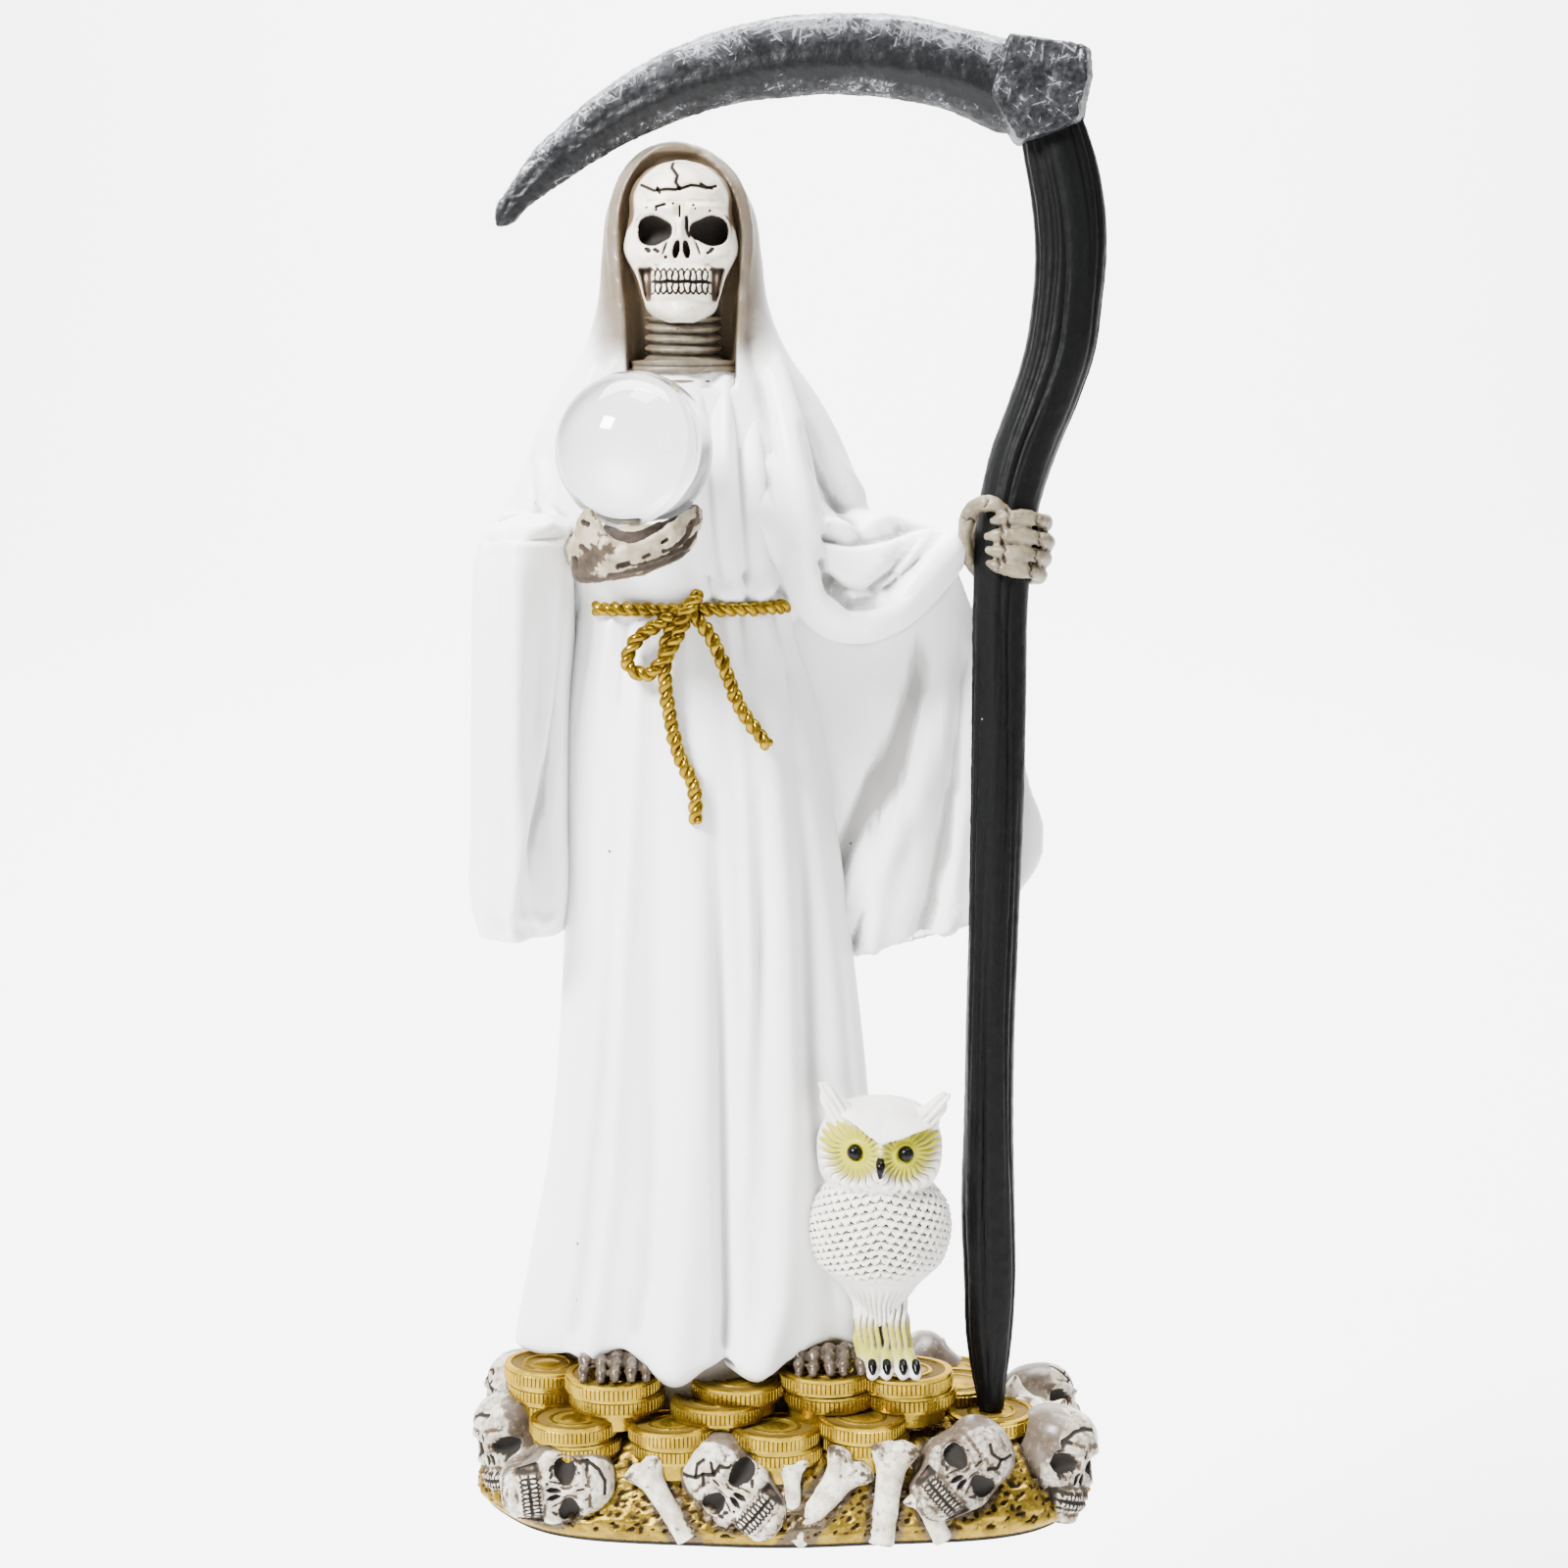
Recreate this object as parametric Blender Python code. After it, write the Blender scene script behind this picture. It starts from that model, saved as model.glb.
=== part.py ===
"""A cast figurine: a hooded skeleton in a long white gown, with a glass ball in its right hand and a scythe
in its left, standing beside an owl on a mound of coins, skulls and bones.

X runs to the viewer's right, Y away from the viewer and Z up. The origin is on the flat underside, in the
middle of the base. Every size and place below is in millimetres, and MM turns them into metres.

Three pieces are made: the figure, cast in one with its base and owl; the scythe, cast with the hand that
grips it and pegged into the left sleeve; and the glass ball, which rests in the cupped right hand.
"""

import math

import bmesh
import bpy
from mathutils import Euler, Matrix, Vector

MM = 0.001
GAP = 0.35
SHARP_ANGLE = math.radians(38.0)
FIGURE_SHARE = 0.33
SCYTHE_SHARE = 0.55

# The glass ball and the hand under it
BALL_RADIUS = 15.0
BALL_CENTRE = Vector((-28.5, -40.0, 218.0))

# Gown stations: height, centre x, half width, depth in front, depth behind
GOWN = (
    (32.0, -18.0, 35.6, 26.5, 25.0),
    (45.0, -17.3, 34.2, 25.5, 24.0),
    (75.0, -15.2, 31.6, 23.5, 22.0),
    (110.0, -15.7, 29.2, 21.0, 20.0),
    (140.0, -17.3, 27.3, 19.0, 18.5),
    (165.0, -19.0, 25.4, 17.4, 17.0),
    (182.0, -20.6, 22.0, 15.6, 15.5),
    (187.0, -20.6, 21.8, 15.8, 15.5),
    (193.0, -20.4, 23.6, 18.2, 16.5),
    (210.0, -20.0, 22.5, 17.6, 16.5),
    (225.0, -20.0, 18.0, 14.6, 15.0),
    (235.0, -20.0, 12.0, 10.5, 12.0),
)
# Ridges of the gown: bearing at the waist and at the hem, width in degrees, height at the waist and the hem
GOWN_RIDGES = (
    (-62.0, -80.0, 15.0, 0.5, 3.4),
    (-34.0, -42.0, 11.0, 0.6, 1.1),
    (-10.0, -12.0, 17.0, 0.5, 1.5),
    (16.0, 14.0, 8.0, 0.8, 0.7),
    (34.0, 31.0, 11.0, 0.6, 1.8),
    (58.0, 62.0, 13.0, 0.6, 2.2),
    (84.0, 96.0, 11.0, 0.5, 2.6),
    (112.0, 126.0, 11.0, 0.5, 2.4),
    (140.0, 156.0, 11.0, 0.5, 2.4),
    (-168.0, -172.0, 11.0, 0.5, 2.4),
    (-138.0, -142.0, 11.0, 0.5, 2.4),
    (-104.0, -112.0, 11.0, 0.5, 2.6),
)
# Notches of the hem over the feet: bearing, width in degrees, rise
HEM_NOTCHES = ((-29.0, 15.0, 3.2), (5.0, 7.0, 1.8), (47.0, 15.0, 4.0))

# Hood and shoulder cape stations: height, centre x, half width, depth in front, depth behind
MANTLE = (
    (196.0, -21.5, 40.0, 12.0, 20.0),
    (203.0, -20.2, 38.2, 13.0, 20.0),
    (212.6, -19.4, 34.0, 13.4, 19.6),
    (222.3, -19.6, 30.0, 13.2, 19.0),
    (230.0, -19.8, 25.8, 12.6, 18.6),
    (236.8, -20.0, 21.2, 12.6, 18.4),
    (246.6, -20.8, 18.0, 13.6, 18.2),
    (256.6, -21.0, 16.6, 14.0, 17.6),
    (266.0, -21.1, 15.2, 13.6, 16.2),
    (272.5, -21.4, 12.0, 11.6, 13.0),
    (276.8, -21.6, 7.6, 8.2, 8.8),
    (279.0, -21.6, 2.6, 3.4, 3.6),
)
CAPE_BACK_HEM = 74.0
# The opening of the hood: height, centre x, half width; its floor lies at FACE_FLOOR
FACE_OPENING = (
    (232.4, -20.0, 10.6),
    (238.7, -20.5, 9.9),
    (245.0, -20.5, 10.9),
    (252.0, -20.5, 12.0),
    (258.0, -20.5, 12.3),
    (264.0, -20.5, 11.4),
    (270.0, -20.6, 9.0),
    (274.0, -20.6, 5.2),
    (275.8, -20.6, 1.6),
)
FACE_FLOOR = -3.6

# Right sleeve stations: height, centre x, half width, depth in front, depth behind
RIGHT_SLEEVE = (
    (119.5, -53.6, 9.2, 18.0, 14.0),
    (124.0, -53.8, 10.4, 20.0, 16.0),
    (145.0, -53.6, 10.6, 21.0, 16.0),
    (170.0, -53.2, 10.6, 22.0, 16.0),
    (188.0, -52.4, 11.0, 23.0, 16.0),
    (197.0, -51.8, 10.6, 23.0, 15.0),
    (202.5, -50.6, 8.2, 20.0, 12.0),
    (205.0, -49.0, 4.0, 12.0, 7.0),
)

# Left sleeve, the hanging back panel: height, centre x, half width, depth in front, depth behind
LEFT_PANEL = (
    (113.0, 20.0, 28.0, 1.0, 11.5),
    (118.0, 22.0, 29.6, 1.4, 12.5),
    (131.0, 23.4, 30.2, 1.2, 12.5),
    (152.0, 22.0, 28.0, 0.8, 12.0),
    (172.0, 20.0, 24.0, 0.6, 11.0),
    (188.0, 18.0, 19.5, 0.6, 10.0),
    (200.0, 17.0, 16.0, 0.8, 8.0),
)
# Left sleeve, the swag that hangs from the forearm: x, height of its top and of its lower edge, half depth
SWAG = (
    (-8.0, 214.0, 200.0, 11.0),
    (0.0, 212.0, 189.0, 13.5),
    (7.0, 208.8, 182.0, 14.5),
    (14.0, 206.2, 179.4, 14.5),
    (21.0, 204.8, 180.6, 13.5),
    (28.0, 203.9, 185.4, 11.5),
    (33.0, 203.4, 190.6, 9.0),
    (36.4, 203.0, 193.8, 7.0),
)
SWAG_CENTRE_Y = -3.5
DRAPE_EDGE = (
    (-4.6, -2.0, 240.0),
    (-2.0, -7.0, 230.0),
    (0.8, -11.6, 219.0),
    (2.6, -13.8, 208.0),
    (3.8, -14.8, 197.0),
    (5.8, -14.4, 188.4),
    (10.0, -14.0, 184.2),
    (15.5, -13.6, 183.2),
    (21.5, -12.8, 184.8),
    (28.0, -10.6, 189.4),
    (33.5, -8.4, 195.0),
)

# Skull stations over the chin of a skull 32 high: height, half width, depth in front, depth behind
SKULL = (
    (0.0, 3.6, 8.6, 1.0),
    (1.6, 6.6, 10.6, 4.0),
    (5.7, 8.8, 11.0, 6.5),
    (9.0, 9.7, 11.2, 8.0),
    (12.0, 10.9, 10.8, 9.5),
    (15.4, 11.7, 10.6, 10.5),
    (19.0, 11.0, 10.6, 11.5),
    (22.0, 10.3, 11.2, 12.5),
    (25.5, 10.0, 10.8, 12.0),
    (29.0, 8.0, 8.8, 10.0),
    (31.4, 4.2, 4.8, 5.5),
    (32.0, 1.0, 1.2, 1.4),
)
# Hollows of the skull: centre over the chin and radii, the first three made on both sides
SKULL_HOLLOWS = (
    ((5.3, -11.6, 18.8), (4.2, 5.6, 3.6)),
    ((8.6, -8.6, 8.6), (2.2, 3.6, 4.2)),
    ((0.9, -12.0, 14.6), (1.1, 2.6, 2.2)),
    ((0.0, -12.4, 8.9), (8.4, 3.2, 0.7)),
)
HEAD_CHIN = Vector((-20.5, -5.4, 241.6))
HEAD_TURN = 2.0
SKULL_MIDDLE = Vector((0.0, 0.0, 16.0))

# The owl: height, half width, depth in front, depth behind, about its own upright axis
OWL_AXIS = Vector((20.9, -16.0, 0.0))
OWL = (
    (31.0, 5.4, 7.6, 5.0),
    (33.0, 5.8, 6.6, 5.6),
    (38.0, 5.6, 5.6, 6.0),
    (43.0, 7.4, 7.2, 8.0),
    (48.0, 11.4, 9.4, 10.4),
    (54.0, 13.8, 10.8, 11.6),
    (60.0, 14.0, 11.0, 11.4),
    (66.0, 12.2, 9.8, 10.4),
    (69.5, 10.2, 8.8, 9.8),
    (73.0, 12.0, 10.2, 10.2),
    (78.0, 11.9, 10.4, 10.2),
    (82.5, 9.8, 8.4, 8.6),
    (86.0, 3.0, 2.6, 2.8),
)

# The mound: height, centre x, half width, depth in front, depth behind
MOUND = (
    (0.0, 0.2, 61.5, 36.0, 35.0),
    (4.0, 0.2, 63.0, 37.2, 36.2),
    (9.0, 0.2, 60.5, 34.6, 34.0),
    (14.0, 0.0, 55.0, 31.6, 30.0),
    (18.5, -1.0, 48.0, 27.0, 25.0),
)
# Coins: centre x, centre y, height of the top face, radius, how many lie stacked
COIN_THICKNESS = 3.4
COINS = (
    (-34.8, -20.0, 31.0, 9.6, 2),
    (-49.0, -10.0, 30.0, 8.8, 3),
    (-9.4, -18.0, 29.4, 9.4, 1),
    (-13.5, -21.5, 26.0, 9.4, 1),
    (8.6, -18.0, 31.2, 9.4, 2),
    (24.8, -17.2, 30.8, 9.6, 2),
    (-22.5, -26.4, 22.8, 8.8, 2),
    (-42.6, -24.4, 23.0, 8.8, 2),
    (-1.8, -26.6, 22.2, 9.0, 2),
    (15.6, -25.4, 23.8, 8.8, 2),
    (43.0, -12.0, 20.4, 8.8, 1),
    (36.4, -1.0, 23.0, 8.8, 2),
    (-30.0, 6.0, 26.0, 8.8, 2),
    (36.0, 14.0, 21.0, 8.8, 1),
    (-48.0, 8.0, 24.0, 8.8, 2),
)
# Skulls of the base: centre, turns about X, Y and Z in degrees, size against the head
BASE_SKULLS = (
    ((-45.6, -29.0, 11.0), (-14.0, 86.0, -6.0), 0.72),
    ((-9.6, -32.0, 9.8), (-12.0, -50.0, 4.0), 0.72),
    ((36.2, -31.0, 13.6), (-6.0, 24.0, -10.0), 0.70),
    ((56.4, -17.0, 10.4), (4.0, 14.0, 40.0), 0.72),
    ((54.4, 3.0, 14.0), (-16.0, 30.0, 62.0), 0.66),
    ((32.6, 20.0, 17.4), (-24.0, 30.0, 150.0), 0.60),
    ((-56.6, -12.0, 13.0), (8.0, -10.0, -40.0), 0.66),
    ((-55.6, 5.0, 17.0), (6.0, 14.0, -70.0), 0.64),
    ((-46.0, 19.0, 18.0), (10.0, -16.0, -150.0), 0.64),
    ((-12.0, 27.0, 13.0), (4.0, 12.0, 176.0), 0.72),
    ((16.0, 28.0, 12.4), (6.0, 80.0, 168.0), 0.70),
)
# Bones of the base: one end, the other end, radius of the shaft
BASE_BONES = (
    ((-28.4, -33.0, 17.6), (-18.8, -35.6, 2.6), 2.5),
    ((13.4, -31.6, 20.0), (1.8, -35.8, 2.8), 2.8),
    ((20.4, -31.8, 22.0), (18.4, -36.0, 2.6), 3.0),
    ((27.0, -36.0, 11.6), (31.6, -35.6, 3.0), 2.2),
    ((0.6, -33.2, 18.4), (2.4, -36.0, 9.0), 2.2),
    ((50.0, -8.0, 19.6), (60.0, 8.0, 14.0), 2.2),
    ((46.0, -2.0, 21.0), (58.0, -6.0, 16.0), 2.2),
    ((-30.0, 26.0, 19.0), (-24.0, 34.0, 3.0), 2.4),
    ((2.0, 27.0, 19.0), (4.0, 34.6, 3.0), 2.4),
    ((34.0, 25.0, 17.0), (44.0, 30.0, 3.0), 2.4),
)

# The waist rope: path of the girdle, the loop and the two tails, all in front of the gown
ROPE_RADIUS = 1.8
ROPE_GIRDLE_HEIGHT = 186.2
ROPE_LOOP = (
    (-19.5, -18.6, 186.4),
    (-24.0, -19.0, 184.0),
    (-29.5, -19.2, 180.0),
    (-31.0, -19.2, 175.6),
    (-27.5, -19.6, 173.4),
    (-23.6, -20.0, 177.0),
    (-20.6, -20.0, 182.4),
    (-18.6, -18.8, 186.6),
)
ROPE_TAIL_LEFT = (
    (-19.6, -18.6, 186.0),
    (-23.2, -19.2, 180.6),
    (-23.6, -19.4, 173.0),
    (-23.0, -19.6, 167.0),
    (-21.0, -20.0, 158.0),
    (-18.0, -20.4, 151.0),
    (-17.6, -20.6, 144.4),
)
ROPE_TAIL_RIGHT = (
    (-18.6, -18.4, 186.0),
    (-15.2, -18.8, 182.0),
    (-11.6, -19.0, 174.4),
    (-8.6, -19.2, 166.6),
    (-3.4, -19.0, 159.6),
)

# The scythe: handle stations as height, centre x, centre y, half width, half depth
HANDLE = (
    (20.8, 42.8, -12.0, 2.6, 2.6),
    (28.1, 42.5, -11.8, 3.7, 3.6),
    (36.5, 42.4, -11.6, 4.8, 4.5),
    (47.0, 42.5, -11.4, 5.3, 4.8),
    (62.4, 42.0, -11.0, 5.5, 5.0),
    (80.0, 41.9, -10.8, 5.1, 4.9),
    (98.3, 42.0, -10.4, 5.0, 4.9),
    (120.0, 42.5, -9.8, 5.1, 5.0),
    (148.3, 43.2, -9.2, 5.4, 5.1),
    (170.0, 43.5, -8.8, 5.5, 5.2),
    (188.0, 43.7, -8.5, 5.6, 5.4),
    (207.7, 45.5, -8.2, 6.2, 5.8),
    (217.5, 48.2, -7.8, 6.7, 6.0),
    (227.2, 51.9, -7.5, 7.0, 6.2),
    (237.0, 55.0, -7.3, 7.1, 6.4),
    (247.0, 56.4, -7.1, 7.0, 6.4),
    (256.3, 57.0, -7.0, 7.15, 6.4),
    (266.0, 56.4, -7.0, 7.3, 6.4),
    (275.4, 54.6, -7.0, 7.2, 6.2),
    (284.0, 52.4, -7.0, 6.4, 5.8),
)
# Blade stations from the tip to the socket: upper edge x and z, lower edge x and z, half thickness
BLADE = (
    (-57.9, 263.0, -55.9, 261.2, 1.2),
    (-54.5, 269.7, -50.4, 265.9, 1.8),
    (-49.5, 277.0, -43.4, 270.7, 2.2),
    (-43.3, 282.7, -36.0, 275.4, 2.6),
    (-34.9, 289.2, -26.6, 280.2, 3.0),
    (-23.2, 296.0, -12.8, 285.0, 3.5),
    (-7.7, 301.3, 0.0, 286.9, 3.9),
    (7.7, 303.5, 13.6, 287.4, 4.2),
    (25.1, 302.6, 30.5, 285.0, 4.5),
    (42.6, 298.6, 42.3, 280.2, 5.0),
    (50.3, 296.9, 48.5, 279.6, 5.0),
)
BLADE_Y = -7.0
# The socket's face: corners in x and z, and how deep it is
SOCKET_FACE = (
    (43.8, 298.6), (58.8, 296.3), (59.2, 290.6), (57.4, 282.2), (53.2, 279.8), (45.9, 277.8), (40.5, 286.9),
)
SOCKET_FRONT = -15.6
SOCKET_DEPTH = 17.0

# The hand that grips the handle
GRIP_HEIGHTS = (204.2, 200.2, 196.2, 192.4)
GRIP_RADIUS = 2.3
WRIST = (Vector((31.0, -4.6, 198.4)), Vector((40.0, -6.6, 198.2)), 4.6)


def between(stations, place):
    """Every column of the stations at a place along their first column, on smooth curves through them."""
    if place <= stations[0][0]:
        return stations[0][1:]
    if place >= stations[-1][0]:
        return stations[-1][1:]
    k = next(i for i in range(len(stations) - 1) if place <= stations[i + 1][0])
    low, high = stations[k], stations[k + 1]
    before, after = stations[max(k - 1, 0)], stations[min(k + 2, len(stations) - 1)]
    span = high[0] - low[0]
    t = (place - low[0]) / span
    values = []
    for column in range(1, len(low)):
        rise = (high[column] - before[column]) / (high[0] - before[0]) * span
        fall = (after[column] - low[column]) / (after[0] - low[0]) * span
        values.append(
            (2 * t**3 - 3 * t**2 + 1) * low[column]
            + (t**3 - 2 * t**2 + t) * rise
            + (3 * t**2 - 2 * t**3) * high[column]
            + (t**3 - t**2) * fall
        )
    return values


def hump(distance, width):
    """A smooth hump, 1 in its middle and nearly 0 at twice its width."""
    return math.exp(-((distance / width) ** 2))


def turned_by(a, b):
    """The angle from bearing a to bearing b in degrees, between -180 and 180."""
    return (b - a + 180.0) % 360.0 - 180.0


def bearings(count, crowding):
    """Bearings round an upright axis, 0 towards the viewer, closer together in front by the crowding."""
    places = [2.0 * i / count - 1.0 for i in range(count)]
    return [180.0 * ((1.0 - crowding) * s + crowding * s**3) for s in places]


def oval(bearing, height, centre, half_width, front, back, out=0.0):
    """A point of an oval section, at a bearing and pushed outwards by out."""
    sine, cosine = math.sin(math.radians(bearing)), math.cos(math.radians(bearing))
    depth = front if cosine > 0 else back
    return Vector((centre[0] + (half_width + out) * sine, centre[1] - (depth + out) * cosine, height))


def link(name, mesh):
    """A new object that holds the mesh, in the scene's first collection."""
    piece = bpy.data.objects.new(name, mesh)
    bpy.context.scene.collection.objects.link(piece)
    return piece


def loft(name, rings):
    """A closed solid through rings of points, with a flat cap on the first and the last."""
    shape = bmesh.new()
    rows = [[shape.verts.new(point * MM) for point in ring] for ring in rings]
    for lower, upper in zip(rows, rows[1:]):
        for i in range(len(lower)):
            j = (i + 1) % len(lower)
            shape.faces.new((lower[i], lower[j], upper[j], upper[i]))
    shape.faces.new(rows[0][::-1])
    shape.faces.new(rows[-1])
    bmesh.ops.recalc_face_normals(shape, faces=shape.faces)
    bmesh.ops.triangulate(shape, faces=shape.faces)
    mesh = bpy.data.meshes.new(name)
    shape.to_mesh(mesh)
    shape.free()
    return link(name, mesh)


def ball(name, centre, radii, segments, rings, turn=(0.0, 0.0, 0.0)):
    """An ellipsoid with the given radii, turned about its own centre."""
    bpy.ops.mesh.primitive_uv_sphere_add(segments=segments, ring_count=rings, radius=MM)
    piece = bpy.context.object
    piece.name = name
    turned = Euler([math.radians(a) for a in turn]).to_matrix().to_4x4()
    piece.data.transform(Matrix.Translation(Vector(centre) * MM) @ turned @ Matrix.Diagonal((*radii, 1.0)))
    return piece


def tube(name, points, radii, sides=8):
    """A tube along points, with a radius at each of them and rounded ends."""
    points = [Vector(p) for p in points]
    rings = []
    for i, point in enumerate(points):
        along = (points[min(i + 1, len(points) - 1)] - points[max(i - 1, 0)]).normalized()
        across = along.orthogonal().normalized() if i == 0 else (across - along * across.dot(along)).normalized()
        over = along.cross(across)
        angles = [2.0 * math.pi * k / sides for k in range(sides)]
        rings.append([point + (across * math.cos(a) + over * math.sin(a)) * radii[i] for a in angles])
        if i in (0, len(points) - 1):
            end = point - along * radii[i] * 0.7 if i == 0 else point + along * radii[i] * 0.7
            small = [end + (p - point) * 0.55 for p in rings[-1]]
            rings.insert(0 if i == 0 else len(rings), small)
    return loft(name, rings)


def fused(name, pieces, solver="EXACT"):
    """One solid made of all the pieces, which are used up."""
    whole = pieces[0]
    for other in pieces[1:]:
        combined(whole, other, "UNION", solver)
    whole.name = whole.data.name = name
    return whole


def combined(whole, other, operation, solver="EXACT"):
    """Joins the other solid to the whole, or cuts it away.

    The figure, which melts together a hundred overlapping solids, takes the MANIFOLD solver, because the
    EXACT one loses most of it and leaves it open.
    """
    modifier = whole.modifiers.new(other.name, "BOOLEAN")
    modifier.operation = operation
    modifier.solver = solver
    modifier.object = other
    evaluated = whole.evaluated_get(bpy.context.evaluated_depsgraph_get())
    mesh = bpy.data.meshes.new_from_object(evaluated)
    whole.modifiers.clear()
    whole.data = mesh
    bpy.data.objects.remove(other)


def keep_main_shell(piece):
    """Drops the small closed pockets that are left where several solids meet, so one shell is kept."""
    shape = bmesh.new()
    shape.from_mesh(piece.data)
    unseen = set(shape.verts)
    shells = []
    while unseen:
        shell = {unseen.pop()}
        edge_of_shell = set(shell)
        while edge_of_shell:
            edge_of_shell = {e.other_vert(v) for v in edge_of_shell for e in v.link_edges} - shell
            shell |= edge_of_shell
        unseen -= shell
        shells.append(shell)
    largest = max(shells, key=len)
    bmesh.ops.delete(shape, geom=[v for shell in shells if shell is not largest for v in shell])
    shape.to_mesh(piece.data)
    shape.free()


def lightened(piece, share):
    """Thins out the facets of a fused piece to the given share, flattest places first."""
    modifier = piece.modifiers.new("lighten", "DECIMATE")
    modifier.decimate_type = "COLLAPSE"
    modifier.ratio = share
    modifier.use_collapse_triangulate = True
    evaluated = piece.evaluated_get(bpy.context.evaluated_depsgraph_get())
    mesh = bpy.data.meshes.new_from_object(evaluated)
    piece.modifiers.clear()
    piece.data = mesh


def gown_relief(bearing, height):
    """How far the gown's folds stand out at a bearing and height."""
    low, high = GOWN[0][0], 182.0
    drop = min(max((high - height) / (high - low), 0.0), 1.0)
    out = 0.0
    for waist, hem, width, small, large in GOWN_RIDGES:
        middle = waist + (hem - waist) * drop
        out += (small + (large - small) * drop**1.2) * hump(turned_by(middle, bearing), width)
    gathered = hump(height - 192.0, 5.0) * hump(turned_by(0.0, bearing), 60.0)
    return out + 0.7 * gathered * math.cos(math.radians(bearing * 13.0))


def gown():
    """The gown from its wavy hem to the shoulders, with long folds."""
    rings = []
    for row in range(17):
        t = row / 16.0
        height = GOWN[0][0] + (GOWN[-1][0] - GOWN[0][0]) * t
        ring = []
        for bearing in bearings(44, 0.3):
            rise = sum(r * hump(turned_by(b, bearing), w) for b, w, r in HEM_NOTCHES)
            here = height + rise * max(1.0 - 4.0 * t, 0.0)
            middle, half_width, front, back = between(GOWN, here)
            out = gown_relief(bearing, here)
            ring.append(oval(bearing, here, (middle, 0.0), half_width, front, back, out))
        rings.append(ring)
    return loft("gown", rings)


def under_gown():
    """The plain foot of the gown, set back under the hem."""
    rings = [
        [oval(b, height, (-17.0, 0.0), width, front, 18.0) for b in bearings(20, 0.0)]
        for height, width, front in ((14.0, 27.0, 18.5), (36.0, 29.0, 19.5))
    ]
    return loft("under_gown", rings)


def mantle():
    """The hood and the cape that falls from it over the shoulders and down the back."""
    rings = []
    count = 16
    for row in range(count):
        t = row / (count - 1.0)
        ring = []
        for bearing in bearings(36, 0.15):
            behind = min(max((abs(bearing) - 105.0) / 35.0, 0.0), 1.0)
            behind = behind * behind * (3.0 - 2.0 * behind)
            lowest = MANTLE[0][0] + (CAPE_BACK_HEM - MANTLE[0][0]) * behind
            height = lowest + (MANTLE[-1][0] - lowest) * (1.0 - (1.0 - t) ** 1.25)
            middle, half_width, front, back = between(MANTLE, height)
            fall = max(MANTLE[0][0] - height, 0.0) / (MANTLE[0][0] - CAPE_BACK_HEM)
            half_width -= 12.0 * min(4.0 * fall, 1.0) - 3.0 * fall
            back += 6.0 * fall
            wave = 0.9 * fall**0.5 * math.cos(math.radians(bearing * 11.0)) * behind
            ring.append(oval(bearing, height, (middle, 0.0), half_width, front, back, wave))
        rings.append(ring)
    hood = loft("mantle", rings)
    combined(hood, face_opening(), "DIFFERENCE")
    return hood


def face_opening():
    """The cutter that opens the hood round the skull."""
    rings = []
    for height, middle, half_width in FACE_OPENING:
        outline = ((-1.0, -30.0), (1.0, -30.0), (1.0, -9.0), (0.8, FACE_FLOOR), (-0.8, FACE_FLOOR), (-1.0, -9.0))
        rings.append([Vector((middle + half_width * u, y, height)) for u, y in outline])
    return loft("face_opening", rings)


def right_sleeve():
    """The wide sleeve that hangs from the forearm under the glass ball."""
    rings = []
    for row in range(10):
        height = RIGHT_SLEEVE[0][0] + (RIGHT_SLEEVE[-1][0] - RIGHT_SLEEVE[0][0]) * (row / 9.0) ** 0.8
        middle, half_width, front, back = between(RIGHT_SLEEVE, height)
        ring = []
        for bearing in bearings(24, 0.1):
            out = 0.7 * math.cos(math.radians(bearing * 7.0)) * min((205.0 - height) / 20.0, 1.0)
            inner = 3.2 * hump(turned_by(34.0, bearing), 22.0) * min((205.0 - height) / 50.0, 1.0)
            ring.append(oval(bearing, height, (middle, -2.0), half_width, front, back, out - inner))
        rings.append(ring)
    return loft("right_sleeve", rings)


def left_panel():
    """The back of the open left sleeve, which hangs in folds behind the handle."""
    rings = []
    rows = 10
    for row in range(rows):
        height = LEFT_PANEL[0][0] + (LEFT_PANEL[-1][0] - LEFT_PANEL[0][0]) * row / (rows - 1.0)
        middle, half_width, front, back = between(LEFT_PANEL, height)
        ring = []
        for bearing in bearings(30, 0.0):
            point = oval(bearing, height, (middle, 0.0), half_width, front, back)
            across = (point.x - middle) / half_width
            drop = (LEFT_PANEL[-1][0] - height) / (LEFT_PANEL[-1][0] - LEFT_PANEL[0][0])
            front_side = math.cos(math.radians(bearing)) > 0
            wave = math.cos(math.radians(430.0 * across + 260.0 * drop))
            point.y += (1.0 if front_side else -1.0) * 0.9 * wave * drop**0.6 * (1.0 - across**4)
            rise = 0.27 * max(point.x - 14.0, 0.0) + 0.4 * max(point.x - 40.0, 0.0)
            point.z += max(1.0 - 2.5 * row / (rows - 1.0), 0.0) * rise
            ring.append(point)
        rings.append(ring)
    return loft("left_panel", rings)


def swag():
    """The front of the left sleeve, slung from the chest to the wrist in a deep curve."""
    rings = []
    for row in range(11):
        x = SWAG[0][0] + (SWAG[-1][0] - SWAG[0][0]) * row / 10.0
        top, bottom, depth = between(SWAG, x)
        ring = []
        for step in range(14):
            angle = 2.0 * math.pi * step / 14.0
            y = SWAG_CENTRE_Y + depth * math.cos(angle)
            z = (top + bottom) / 2.0 + (top - bottom) / 2.0 * math.sin(angle)
            ring.append(Vector((x, y, z)))
        rings.append(ring)
    return loft("swag", rings)


def drape_edge():
    """The rolled edge of the mantle, down the chest and round the foot of the swag."""
    radii = [2.6 + 2.0 * math.sin(math.pi * i / (len(DRAPE_EDGE) - 1.0)) for i in range(len(DRAPE_EDGE))]
    return tube("drape_edge", DRAPE_EDGE, radii, 6)


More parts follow.
